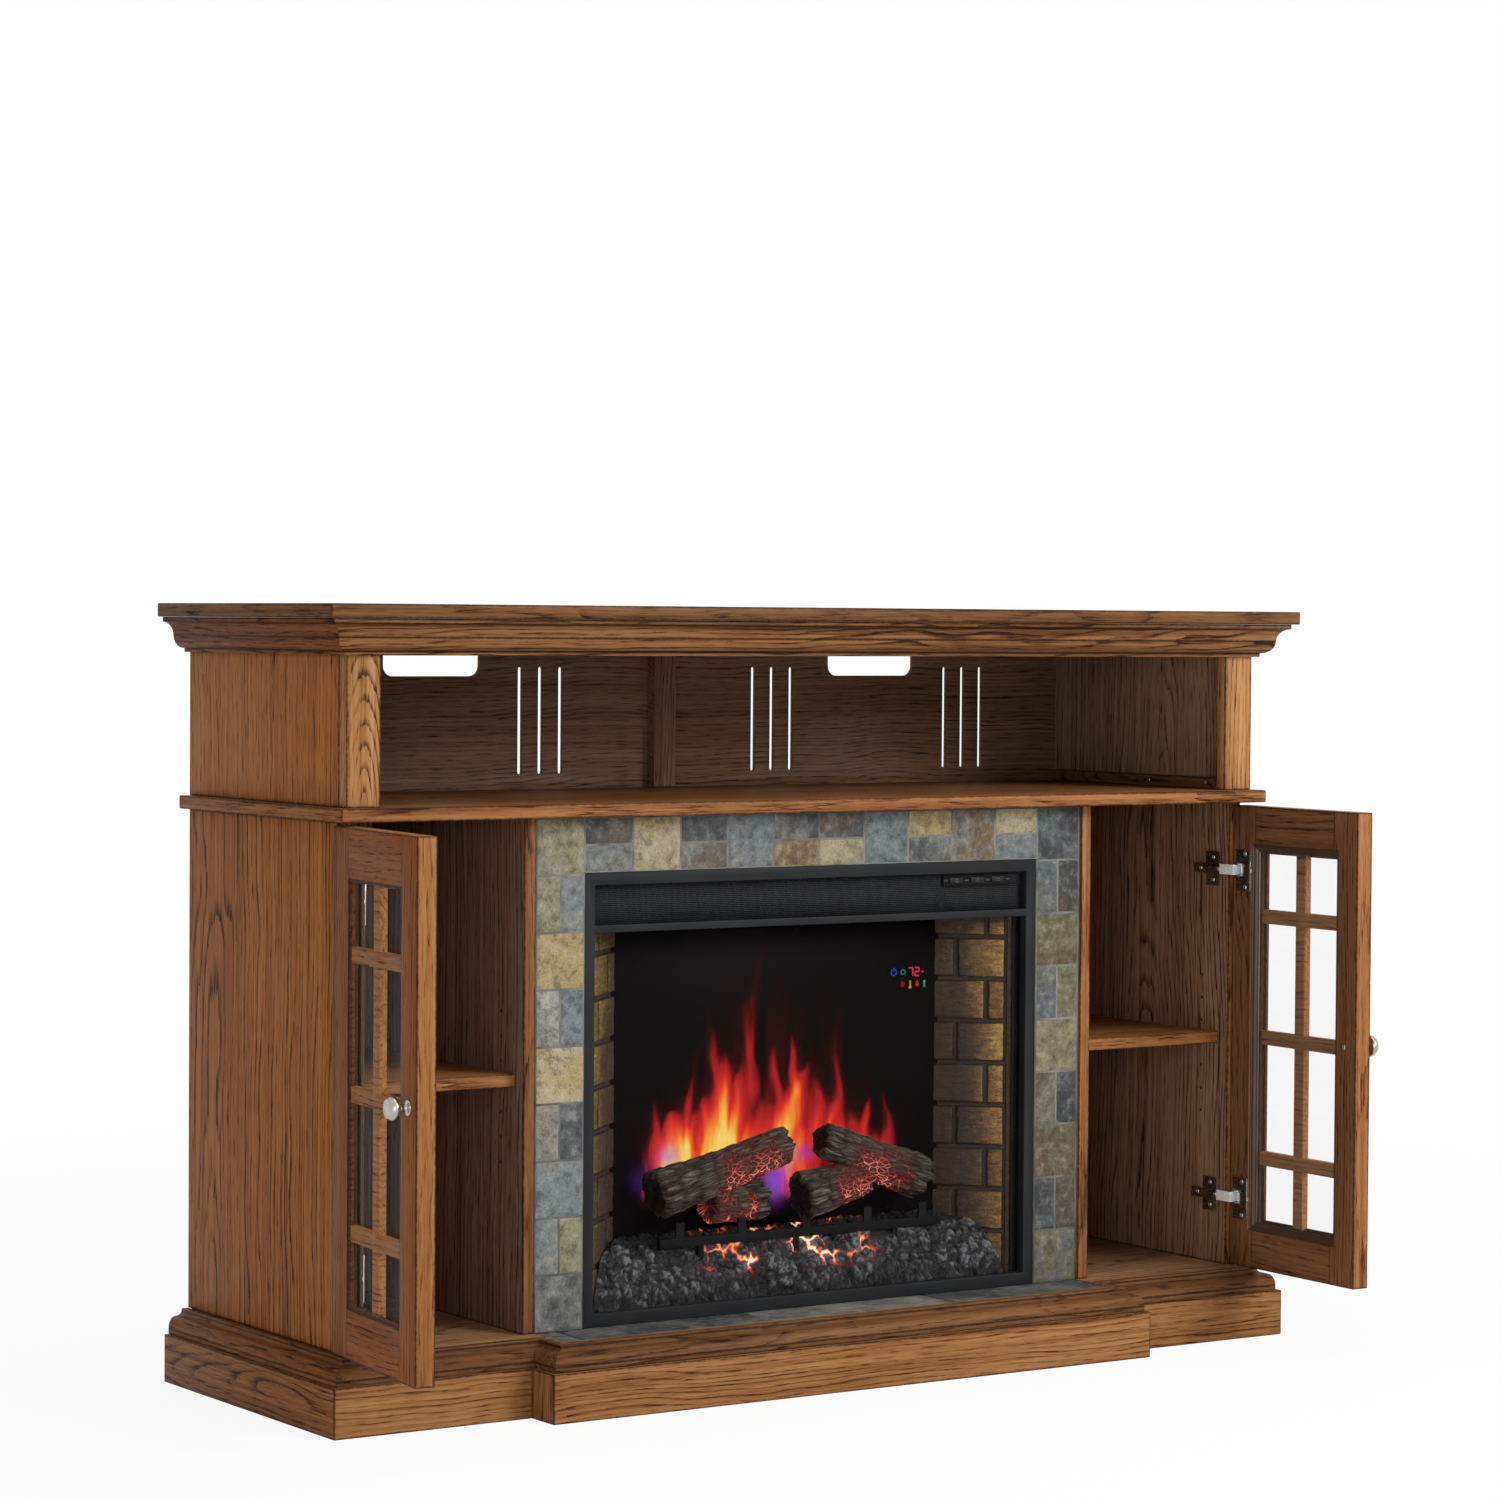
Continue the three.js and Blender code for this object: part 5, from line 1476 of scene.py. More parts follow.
@dataclass
class SlateWork:
    """The slate surround with its grout, and the slate hearth in front of it.

    The tints of a place of the pattern are those of its one tile or of its two halves; the halves
    stand side by side in the columns and lie one on the other in the top row.
    """

    half: float = 0.4321
    column_half: float = 0.4301
    opening_half: float = 0.3590
    opening_top: float = 0.6730
    top: float = 0.7428
    board_top: float = 0.7448
    bottom: float = 0.0932
    face: float = -0.1656
    board_back: float = -0.1490
    relief: float = 0.0013
    joint: float = 0.0022
    # Painted light and shade: the left column's tints are multiplied up by the first, the right column's
    # down by the second.
    left_shade: float = 1.14
    right_shade: float = 0.70
    hearth_low: Triple = (-0.4320, -0.2405, 0.0862)
    hearth_high: Triple = (0.4320, -0.1440, 0.0930)
    hearth_joints: tuple[float, ...] = (-0.4320, -0.3970, -0.1110, 0.1750, 0.4320)
    hearth_tints: tuple[tuple[Colour, Colour], ...] = (
        (DARK, GREY), (DARK, GREY), (GREY, PALE), (GREY, DARK))
    left_tints: tuple[tuple[Colour, ...], ...] = (
        (OLIVE, GREY), (KHAKI, OLIVE, BLUE, GREY), (TAN, OCHRE), (GREY, PALE, DARK, BLUE), (SAND, OCHRE),
        (GREY, KHAKI, BLUE, DARK), (BLUE, GREY), (TEAL, GREY, KHAKI, OLIVE), (DARK, GREY))
    right_tints: tuple[tuple[Colour, ...], ...] = (
        (BLUE, DARK), (GREY, BLUE, TAUPE, DARK), (OLIVE, BROWN), (BLUE, GREY, KHAKI, OLIVE), (KHAKI, SAND),
        (TAUPE, KHAKI, BLUE, DARK), (BROWN, KHAKI), (TEAL, DARK, TAUPE, BROWN), (OLIVE, GREY))
    top_tints: tuple[tuple[Colour, ...], ...] = (
        (DARK, TAUPE, GREY, BLUE), (OCHRE, SAND), (DARK, BLUE, TAUPE, GREY), (BLUE, GREY),
        (DARK, GREY, BROWN, OCHRE), (TAUPE, DARK, KHAKI, SAND), (BLUE, TEAL), (OLIVE, OCHRE, DARK, GREY),
        (BROWN, GREY), (OCHRE, SAND, GREY, BLUE))

    def tiles(self) -> list[Tile]:
        """Lists the tiles of both columns and the top row.

        Returns:
            The tiles, in the order in which they are laid.
        """
        tiles: list[Tile] = []
        height = (self.top - self.bottom) / len(self.left_tints)
        for row, pair in enumerate(zip(self.left_tints, self.right_tints)):
            high = self.top - row * height
            for left, right, shade, tints in (
                    (-self.column_half, -self.opening_half, self.left_shade, pair[0]),
                    (self.opening_half, self.column_half, self.right_shade, pair[1])):
                shaded = [toned(tint, shade) for tint in tints]
                cuts = [left, right] if len(tints) == 2 else [left, (left + right) / 2, right]
                tiles += [Tile(*cuts[part:part + 2], high - height, high, *shaded[part * 2:part * 2 + 2])
                          for part in range(len(tints) // 2)]
        width = 2 * self.opening_half / len(self.top_tints)
        for column, tints in enumerate(self.top_tints):
            left = -self.opening_half + column * width
            cuts = [self.top, self.opening_top]
            if len(tints) == 4:
                cuts.insert(1, (self.opening_top + self.top) / 2)
            tiles += [Tile(left, left + width, cuts[part + 1], cuts[part], *tints[part * 2:part * 2 + 2])
                      for part in range(len(tints) // 2)]
        return tiles

    def _tile_face(self, tile: Tile, number: int) -> Surface:
        """Builds one tile as a grid that turns down at its rim.

        The grid's outer ring lies at the grout, the next one just above it, and the rest follows
        layered noise cut into shallow steps, as split stone does. The rim wanders by noise.

        Args:
            tile: The tile.
            number: Its place in the list, which picks its stretch of noise.

        Returns:
            The tile's face.
        """
        rim = np.array([0.0, 0.0, 0.0009])
        lines = []
        for size in (tile.right - tile.left - self.joint, tile.top - tile.bottom - self.joint):
            lines.append(np.concatenate([rim, np.linspace(0.0028, size - 0.0028, 15), size - rim[::-1]]))
        grid_x, grid_z = np.meshgrid(*lines)
        spots = np.stack([grid_x + number * 0.37, grid_z + number * 0.11], axis=-1)
        ragged = (layered_noise(spots, 0.009, 2, number) - 0.5) * 0.0011
        edge = np.minimum(np.minimum(grid_x, grid_x[0, -1] - grid_x),
                          np.minimum(grid_z, grid_z[-1, 0] - grid_z))
        cleft = layered_noise(spots, 0.026, 3, number + 50)
        cleft = (np.floor(cleft * 5) + smooth_step(cleft * 5 % 1.0, 0.0, 0.3)) / 5
        rise = self.relief * smooth_step(edge, 0.0, 0.0028) * (0.55 + 0.45 * cleft)
        for side in (0, -1):
            rise[side, :] = rise[:, side] = -0.0012
        pull = np.where(edge < 0.0020, ragged, 0.0)
        x, z = (low + self.joint / 2 + grid + pull * np.sign((high - low) / 2 - grid)
                for low, high, grid in ((tile.left, tile.right, grid_x), (tile.bottom, tile.top, grid_z)))
        face = Surface(np.stack([x, self.face - rise, z], axis=-1).reshape(-1, 3), [grid_quads(*x.shape)])
        return face.carrying(tint=tile.tint, vein=tile.vein, lot=float(number))

    def add_surround(self) -> None:
        """Adds the tiles and the grouted board that carries them."""
        slate = Slate().build("slate_tiles")
        faces = [self._tile_face(tile, number) for number, tile in enumerate(self.tiles())]
        Surface.joined(faces).piece("slate_tiles", slate, "cabinet", "slate", smooth=50.0, recalculate=False)
        outer = np.array([(-self.half, self.bottom), (-self.half, self.board_top),
                          (self.half, self.board_top), (self.half, self.bottom),
                          (self.opening_half, self.bottom),
                          (self.opening_half, self.opening_top), (-self.opening_half, self.opening_top),
                          (-self.opening_half, self.bottom)])
        depths = (self.board_back, self.face - 0.0001)
        loops = np.stack([np.insert(outer, 1, depth, axis=1) for depth in depths])
        ends = np.array([[0, 1, 6, 7], [1, 2, 5, 6], [2, 3, 4, 5]])
        board = Surface(loops.reshape(-1, 3), [grid_quads(2, 8, closed_columns=True), ends, ends + 8])
        board.piece("grouted_board", Grout().build("grout"), "cabinet", "slate", ("tile_surround",),
                    smooth=None)

    def add_hearth(self) -> None:
        """Adds the hearth's slabs, whose tops carry the same cleft as the tiles."""
        slabs = []
        low, high = self.hearth_low, self.hearth_high
        ys = np.concatenate([[low[1], low[1]], np.linspace(low[1] + 0.0012, high[1], 14), [high[1]]])
        for number, (left, right) in enumerate(zip(self.hearth_joints, self.hearth_joints[1:])):
            count = max(6, int((right - left) / 0.008))
            xs = np.concatenate([[0.0, 0.0], np.linspace(0.0012, right - left - 0.0026, count),
                                 [right - left - 0.0014] * 2]) + left
            grid_x, grid_y = np.meshgrid(xs, ys)
            cleft = layered_noise(np.stack([grid_x, grid_y], axis=-1), 0.03, 3, 80 + number)
            edge = np.minimum(np.minimum(grid_x - xs[0], xs[-1] - grid_x), grid_y - ys[0])
            z = high[2] - 0.0006 * (1 - cleft) - 0.0012 * (1 - smooth_step(edge, 0.0, 0.0014))
            for side in (0, -1):
                z[side, :] = z[:, side] = low[2]
            slab = Surface(np.stack([grid_x, grid_y, z], axis=-1).reshape(-1, 3), [grid_quads(*z.shape)])
            tint, vein = self.hearth_tints[number]
            slabs.append(slab.carrying(tint=tint, vein=vein, lot=60.0 + number))
        slate = Slate(gloss=0.5, roughness=0.36).build("slate_hearth")
        Surface.joined(slabs).piece("hearth_slabs", slate, "cabinet", "slate", ("hearth_tiles",),
                                    smooth=50.0, recalculate=False)
        bed = rounded_block((low[0], low[1] + 0.0006, low[2]), (high[0], high[1], high[2] - 0.0022), 0.0004)
        bed.piece("hearth_bed", Grout((0.10, 0.10, 0.09)).build("grout_hearth"), "cabinet", "slate")

    def make(self) -> None:
        """Makes the surround and the hearth."""
        self.add_surround()
        self.add_hearth()


def at_depth(flat: Array, depth: float) -> Array:
    """Puts (across, up) places on an upright plane, (..., 3)."""
    return np.insert(flat, 1, depth, axis=-1)


def arc_points(x: float, z: float, radius: float, start: float, end: float, count: int = 14) -> Array:
    """Gives points of an arc on the front plane, from one angle in degrees to another."""
    angle = np.radians(np.linspace(start, end, count))
    return np.stack([x + radius * np.cos(angle), z + radius * np.sin(angle)], axis=-1)


def stroke(line: Array, width: float, depth: float) -> Surface:
    """Draws a line as a thin raised ribbon.

    Each point is moved half a width to both sides of the line, at right angles to its direction
    there, and the ribbon gets a front and a back.

    Args:
        line: The line's (across, up) places.
        width: The ribbon's width.
        depth: Where its front lies along Y.

    Returns:
        The ribbon.
    """
    direction = np.gradient(line, axis=0)
    direction /= np.maximum(np.linalg.norm(direction, axis=-1, keepdims=True), 1e-9)
    side = np.stack([-direction[:, 1], direction[:, 0]], axis=-1) * width / 2
    back = depth + 0.0002
    rim = [at_depth(line + side * sign, y) for sign, y in ((1, depth), (-1, depth), (-1, back), (1, back))]
    faces = [grid_quads(len(line), 4, closed_columns=True), np.array([[3, 2, 1, 0]]),
             np.array([[0, 1, 2, 3]]) + 4 * (len(line) - 1)]
    return Surface(np.stack(rim, axis=1).reshape(-1, 3), faces)


@dataclass
class Insert(Work):
    """The fireplace's steel: trim, grille with its woven front, controls, glass and casing."""

    weave_front: float = -0.1509
    weave_back: float = -0.1500
    weave_pitch: float = 0.0036
    strand: float = 0.0015
    windows: tuple[tuple[float, float, float, float], ...] = (
        (-0.3420, 0.2095, 0.6053, 0.6565), (0.2095, 0.3420, 0.6053, 0.6390),
        (0.3225, 0.3420, 0.6390, 0.6565), (0.2095, 0.3225, 0.6536, 0.6565))
    black_front: tuple[float, Colour, float] = (-0.0600, (0.0040, 0.0040, 0.0044), 0.0)
    strip_face: float = -0.1547
    key_face: float = -0.1560
    keys: tuple[tuple[str, float], ...] = (
        ("power_button", 0.231), ("flame_button", 0.266), ("heat_button", 0.301))
    key_level: float = 0.6463

    def dress_steel(self) -> None:
        """Gives the steel, aluminium, glass and plastic nodes their finishes."""
        bright = Metal((0.62, 0.63, 0.65), 0.30, (1500.0, 40.0, 40.0)).build("turned_aluminium")
        sheet = Metal((0.36, 0.37, 0.38), 0.42, (40.0, 700.0, 40.0), self.black_front)
        for name, material, ease in (
                ("insert_frame", Steel((0.0138, 0.0146, 0.0160), 0.46, 0.09).build("trim_paint"), 0.0008),
                ("heater_grille", Steel((0.0060, 0.0060, 0.0064), 0.75, 0.08).build("inner_paint"), 0.0002),
                ("insert_casing", sheet.build("casing_sheet"), 0.0),
                ("flame_rotor", bright, 0.0), ("blower_wheel", bright, 0.0),
                ("front_glass", Glass((0.01, 0.01, 0.01), 0.004, 0.01, 0.04).build("fire_glass"), 0.0003),
                ("flame_screen", Screen().build("smoked_screen"), 0.0003)):
            self.dress(name, material, ease)
        for name, _ in self.keys:
            self.dress(name, Plastic((0.0080, 0.0081, 0.0087), 0.5, 0.16).build(f"{name}_cap"), 0.0004)

    def _strands(self, window: tuple[float, float, float, float], lean: float) -> Surface:
        """Builds one family of slanting strands in a window.

        Each strand is a straight bar. Its line x = start + lean z is cut by the window's sides, so
        its two ends are found for all bars at once, and bars that miss the window are dropped.

        Args:
            window: The window's left, right, bottom and top.
            lean: How far a strand moves across for each metre up.

        Returns:
            The strands.
        """
        left, right, bottom, top = window
        rise = (top - bottom) * abs(lean)
        starts = np.arange(math.floor((left - rise) / self.weave_pitch),
                           math.ceil((right + rise) / self.weave_pitch)) * self.weave_pitch
        enter, leave = sorted((left, right), reverse=lean < 0)
        low = np.maximum(0.0, (enter - starts) / lean)
        high = np.minimum(top - bottom, (leave - starts) / lean)
        keep = high - low > 0.001
        starts, low, high = starts[keep], low[keep], high[keep]
        across = np.array([1.0, -lean]) / math.hypot(1.0, lean) * self.strand / 2
        sides = ((-1, self.weave_front), (1, self.weave_front), (1, self.weave_back), (-1, self.weave_back))
        lines = [np.stack([starts + lean * level, bottom + level], axis=-1) for level in (low, high)]
        corners = [at_depth(line + across * sign, depth) for line in lines for sign, depth in sides]
        box = np.array([[0, 1, 5, 4], [1, 2, 6, 5], [2, 3, 7, 6], [3, 0, 4, 7], [3, 2, 1, 0], [4, 5, 6, 7]])
        quads = (np.arange(len(starts))[:, None, None] * 8 + box[None]).reshape(-1, 4)
        return Surface(np.stack(corners, axis=1).reshape(-1, 3), [quads])

    def add_weave(self) -> None:
        """Adds the fine expanded mesh in front of the grille."""
        parts = [self._strands(window, lean) for window in self.windows for lean in (0.75, -0.75)]
        paint = Steel((0.0305, 0.0316, 0.0340), 0.6, 0.12).build("weave_paint")
        Surface.joined(parts).piece("grille_weave", paint, "cabinet", "black_steel", smooth=None)

    def add_key_marks(self) -> None:
        """Adds the pale marks on the keys and the small lamps beside them."""
        ink = Plastic((0.085, 0.088, 0.091), 0.5, 0.16).build("key_ink")
        level, depth = self.key_level, self.key_face - 0.0001
        for body, x in self.keys:
            ring = stroke(arc_points(x, level, 0.0021, 115, 425), 0.0006, depth)
            bar = stroke(np.array([(x, level + 0.0004), (x, level + 0.0026)]), 0.0006, depth)
            Surface.joined([ring, bar]).piece(f"{body}_mark", ink, body, "black_plastic", smooth=None)
        lens = button(soft_rectangle(0.0035, 0.0012, 0.0005), [(0.0, 0.0), (0.0, 0.0003), (0.0003, 0.0005)])
        lamps = [lens.moved(stand_on((x, self.strip_face, level), (0.0, -1.0, 0.0)))
                 for x in (0.2140, 0.2485, 0.2835, 0.3180)]
        glow = Plastic((0.030, 0.033, 0.037), 0.3, 0.22).build("strip_lamp_lens")
        Surface.joined(lamps).piece("strip_lamps", glow, "cabinet", "black_plastic")

    def make(self) -> None:
        """Makes the insert's finishes and fine parts."""
        self.dress_steel()
        self.add_weave()
        self.add_key_marks()
        spots = [(x, 0.080, z) for x in (-0.33, -0.11, 0.11, 0.33) for z in (0.106, 0.656)]
        self.screws("casing_screws", spots, (0.0, 1.0, 0.0), 0.0036, Metal((0.35, 0.35, 0.34), 0.4))


def closing_band(grid: Array, rear: Array) -> Surface:
    """Closes a relief: a band runs from its rim to the rim of its rear, which gets one quad.

    Args:
        grid: The relief's points, (rows, columns, 3).
        rear: Where each of them would lie at the rear.

    Returns:
        The band with the quad.
    """
    rows, columns = grid.shape[:2]
    numbers = np.arange(rows * columns).reshape(rows, columns)
    rim = np.concatenate([numbers[0], numbers[1:-1, -1], numbers[-1, ::-1], numbers[-2:0:-1, 0]])
    half = len(rim) // 2
    cover = np.array([[0, columns - 1, half, half + columns - 1]]) + len(rim)
    return Surface(np.concatenate([grid.reshape(-1, 3)[rim], rear.reshape(-1, 3)[rim]]),
                   [grid_quads(2, len(rim), closed_columns=True), cover])


@dataclass(frozen=True)
class LogShape:
    """One cast log: its two ends, its radii there, where the fire has it and how hot it is."""

    start: Triple
    end: Triple
    radii: tuple[float, float]
    hot: tuple[float, float]
    heat: float
    seed: int


@dataclass
class Firebox(Work):
    """What burns: brick walls, embers, grate, logs, and the flames on their screen.

    A row of flames is a tongue's foot and tip, each (across, up), the width at its foot, the heat
    of its core and how far it sways. A row of glows is a spot's middle, its width, its height and
    its colour. heat_colours turns heat into red, green and blue.
    """

    brick_front: tuple[float, float] = (0.3335, -0.1436)
    brick_back: tuple[float, float] = (0.2560, -0.0723)
    brick_levels: tuple[float, float] = (0.0960, 0.6029)
    brick_thick: float = 0.0090
    course_top: float = 0.5655
    course: float = 0.0573
    mortar: float = 0.0050
    strip: float = 0.0085
    ember_front: Triple = (0.3310, -0.1425, 0.1160)
    ember_back: Triple = (0.2530, -0.0735, 0.1900)
    ember_bank: float = 0.0150
    ember_floor: float = 0.0960
    screen_front: float = -0.0722
    log_left: LogShape = LogShape(
        (-0.2190, -0.1090, 0.2462), (-0.0060, -0.1070, 0.3012), (0.0315, 0.0220), (0.40, 0.92), 0.95, 3)
    log_short: LogShape = LogShape(
        (-0.1300, -0.1020, 0.2282), (-0.0400, -0.0980, 0.2292), (0.0255, 0.0250), (-0.10, 0.75), 0.70, 5)
    log_right_rear: LogShape = LogShape(
        (0.0490, -0.1010, 0.3032), (0.2170, -0.1060, 0.2412), (0.0215, 0.0280), (0.30, 0.78), 0.85, 8)
    log_right_front: LogShape = LogShape(
        (0.0110, -0.1100, 0.2302), (0.1190, -0.1080, 0.2502), (0.0300, 0.0235), (0.40, 1.10), 0.90, 11)
    flames: tuple[tuple[float, ...], ...] = (
        (-0.165, 0.270, -0.160, 0.352, 0.026, 1.05, 0.004),
        (-0.185, 0.265, -0.186, 0.372, 0.018, 0.50, 0.006),
        (-0.150, 0.280, -0.128, 0.350, 0.016, 0.75, -0.004),
        (-0.140, 0.290, -0.121, 0.452, 0.013, 0.48, 0.007),
        (-0.080, 0.285, -0.094, 0.425, 0.026, 0.92, 0.006),
        (-0.088, 0.300, -0.110, 0.500, 0.012, 0.42, -0.005),
        (-0.070, 0.290, -0.066, 0.395, 0.016, 0.55, 0.004),
        (-0.115, 0.280, -0.112, 0.365, 0.020, 0.55, 0.005),
        (-0.040, 0.290, -0.030, 0.360, 0.020, 0.38, -0.004),
        (-0.056, 0.380, -0.006, 0.600, 0.014, 0.27, 0.010),
        (-0.044, 0.370, -0.034, 0.500, 0.012, 0.26, 0.004),
        (-0.200, 0.250, -0.196, 0.325, 0.016, 0.30, 0.004),
        (-0.020, 0.280, -0.012, 0.352, 0.022, 0.30, 0.003),
        (0.118, 0.270, 0.122, 0.338, 0.024, 0.26, -0.003),
        (-0.002, 0.310, -0.004, 0.428, 0.012, 0.52, 0.004),
        (0.018, 0.285, 0.024, 0.446, 0.014, 0.84, -0.006), (0.018, 0.290, 0.019, 0.372, 0.012, 0.55, 0.002),
        (0.024, 0.350, 0.046, 0.405, 0.011, 0.42, 0.004), (0.092, 0.310, 0.112, 0.520, 0.012, 0.33, -0.006),
        (0.062, 0.300, 0.060, 0.385, 0.020, 0.31, 0.005), (0.090, 0.300, 0.094, 0.350, 0.018, 0.28, 0.003),
        (0.146, 0.280, 0.145, 0.352, 0.015, 0.66, 0.003), (0.177, 0.285, 0.173, 0.368, 0.012, 0.50, -0.003),
        (0.040, 0.255, 0.036, 0.320, 0.024, 0.72, 0.003), (0.010, 0.245, 0.012, 0.300, 0.018, 0.46, 0.002))
    glows: tuple[tuple[float, float, float, float, Colour], ...] = (
        (-0.004, 0.250, 0.020, 0.030, (0.10, 0.065, 0.55)), (0.140, 0.243, 0.014, 0.018, (0.03, 0.06, 0.50)),
        (-0.172, 0.290, 0.014, 0.014, (0.38, 0.16, 0.42)),
        (-0.215, 0.262, 0.020, 0.020, (0.035, 0.02, 0.16)), (0.010, 0.275, 0.014, 0.012, (0.40, 0.03, 0.30)),
        (0.046, 0.283, 0.014, 0.010, (0.30, 0.03, 0.26)))
    heat_stops: tuple[float, ...] = (0.0, 0.05, 0.18, 0.40, 0.62, 0.85, 1.10, 1.5)
    heat_colours: tuple[tuple[float, ...], ...] = (
        (0.0, 0.012, 0.10, 0.48, 0.80, 0.95, 1.0, 1.0), (0.0, 0.0016, 0.009, 0.016, 0.042, 0.16, 0.40, 0.70),
        (0.0, 0.0014, 0.008, 0.018, 0.022, 0.03, 0.05, 0.16))

    def _wall(self, side: float) -> Surface:
        """Builds one brick wall as a relief over the wall's length and height.

        The wall is a grid of length s and height z. Courses alternate between a joint near the
        back and one near the front. Each brick's face stands proud by a smooth step of the distance
        to its nearest joint line, and layered noise roughens faces and joints.

        Args:
            side: -1 for the left wall, 1 for the right one.

        Returns:
            The wall.
        """
        front, back = np.array(self.brick_front), np.array(self.brick_back)
        length = float(np.linalg.norm(back - front))
        along = (back - front) / length
        inward = np.array([-along[1], along[0]])
        s, z = np.meshgrid(np.linspace(0.0, length, 74), np.linspace(*self.brick_levels, 330))

        def placed(rise: Array | float) -> Array:
            """Places the grid so far in front of the wall's line."""
            flat = front + along * s[..., None] + inward * np.broadcast_to(rise, s.shape)[..., None]
            return np.stack([flat[..., 0] * side, flat[..., 1], z], axis=-1)

        height = (self.course_top - z) / self.course
        course, part = np.floor(height), height % 1.0
        span = length - self.strip
        share = (s - self.strip) / span
        joint = self.strip + span * np.where(course % 2 == 0, 0.70, 0.27)
        gap = np.minimum(np.minimum(part, 1.0 - part) * self.course, np.abs(s - joint))
        gap = np.minimum(gap, np.where(s > self.strip - 0.001, np.abs(s - self.strip) + 0.0015, 0.0))
        spots = np.stack([s, z + (3.0 if side > 0 else 0.0)], axis=-1)
        rough = layered_noise(spots, 0.012, 3, 21) - 0.5
        drag = layered_noise(spots * np.array([1.0, 0.45]), 0.005, 2, 33) - 0.5
        face = smooth_step(gap + rough * 0.0016, self.mortar * 0.42, self.mortar * 0.42 + 0.0024)
        rise = 0.0040 * face + 0.0011 * rough + 0.0006 * drag * face
        # Painted light and shade, carried as the "light" number: brighter at the front and towards each
        # brick's front end, dimmer deeper in and at the bottom, paler high up, a painted shadow along the
        # top, a random tone for each brick, and on the left wall a flatter pattern that brightens upwards.
        ends = np.where(s < joint, (joint - s) / (joint - self.strip), (length - s) / (length - joint))
        light = 0.80 - 0.76 * smooth_step(share, 0.02, 0.74) + 0.24 * (ends - 0.40)
        light += 0.30 * smooth_step(z, 0.42, 0.55) * smooth_step(share, 0.1, 0.5)
        light *= 0.72 + 0.28 * smooth_step(z, 0.15, 0.50)
        shade = smooth_step(z, 0.560 + 0.12 * (length - s), 0.600)
        light = np.clip(light * (1.0 - 0.75 * shade), 0.02, 1.0)
        light *= 0.85 + 0.3 * spread(np.stack([course, s > joint], axis=-1), 5)
        if side < 0:
            light = np.clip(0.50 * light + 0.12 + 0.18 * smooth_step(z, 0.2, 0.6), 0.0, 1.0)
        plain = s < self.strip - 0.0015
        face, rise, light = (np.where(plain, flat, value)
                             for flat, value in ((0.8, face), (0.0030, rise), (0.34, light)))
        points = placed(rise - 0.0046)
        shell = Surface(points.reshape(-1, 3), [grid_quads(*s.shape)])
        band = closing_band(points, placed(-self.brick_thick))
        return Surface.joined([shell.carrying(light=light.ravel(), face=face.ravel()),
                               band.carrying(light=0.05, face=0.0)])

    def add_bricks(self) -> None:
        """Adds the two brick walls in place of the plain panels."""
        # The left wall's brick is a yellower copy, painted as more brightly lit.
        sunlit = Brickwork(tan=(0.190, 0.140, 0.031), gold=(0.370, 0.310, 0.070))
        for side, name, brick in ((-1.0, "left", sunlit), (1.0, "right", Brickwork())):
            clay = brick.build(f"cast_brick_{name}")
            self._wall(side).piece(f"brick_wall_{name}", clay, "cabinet", "brickwork",
                                   (f"brick_panel_{name}",), smooth=60.0)

    def add_embers(self) -> None:
        """Adds the bed of burnt embers.

        The bed banks up from the glass to the grate and runs on almost level behind it. Over it
        lie lumps, one to each cell of a shaken grid laid out by arc length: the height is a dome of
        the distance to the nearest centre, and twisted noise folds it into curls of two sizes.
        Fire shows in the gaps, where the two nearest centres are equally far.
        """
        across, depth = np.meshgrid(np.linspace(-1.0, 1.0, 460), np.linspace(0.0, 1.0, 96) ** 1.15)
        front, back = np.array(self.ember_front), np.array(self.ember_back)
        base = front + (back - front) * depth[..., None]
        bank = front[2] + (back[2] - front[2]) * np.sin(depth * math.pi / 2)
        bank += self.ember_bank * hump(depth, 0.38, 0.22)
        base[..., 2] = self.ember_floor + (bank - self.ember_floor) * smooth_step(depth, -0.03, 0.12)
        x, section = base[..., 0] * across, base[:, 0, 1:]
        steps = np.linalg.norm(np.diff(section, axis=0), axis=-1)
        arc = np.concatenate([[0.0], np.cumsum(steps)])
        slope = np.gradient(section, axis=0)
        slope /= np.linalg.norm(slope, axis=-1, keepdims=True)
        spots = np.stack([x, np.broadcast_to(arc[:, None], x.shape)], axis=-1)
        first, second, number = lump_distances(twisted(spots, 0.012, 3, 0.013), 0.0200, 9)
        dome = np.sqrt(np.clip(1.0 - (first / 0.90) ** 2, 0.0, 1.0))
        curls = twisted(spots, 0.009, 23, 0.014)
        folds = [np.clip(np.abs(layered_noise(curls, cell, 2, 14) - 0.5) * sharp, 0.0, 1.0)
                 for cell, sharp in ((0.0120, 5.5), (0.0052, 4.5))]
        swell = layered_noise(spots, 0.034, 2, 31) - 0.5
        height = dome * 0.0062 * (0.4 + 0.8 * number) + swell * 0.0090 + folds[0] * 0.0042
        height = height + folds[1] * 0.0019 - 0.0075
        height = height * smooth_step(np.minimum(1.0 - np.abs(across), 0.02), 0.0, 0.02)
        y = np.clip(base[..., 1] - slope[:, 1:] * height, -0.1434, -0.0726)
        z = np.maximum(base[..., 2] + slope[:, :1] * height, self.ember_floor + 0.0005)
        region = sum(share * hump(x, middle, width) for share, middle, width in (
            (1.0, -0.055, 0.036), (0.85, 0.040, 0.048), (0.40, 0.105, 0.025), (0.45, -0.128, 0.028)))
        seam = np.clip(1.0 - (second - first) / 0.40, 0.0, 1.0)
        patch = smooth_step(layered_noise(spots, 0.026, 3, 40), 0.36, 0.58)
        band = smooth_step(depth, 0.10, 0.26) * (1.0 - 0.35 * smooth_step(depth, 0.40, 0.60))
        fire = np.clip(region * 1.75, 0.0, 1.6) * seam ** 1.5 * patch * band
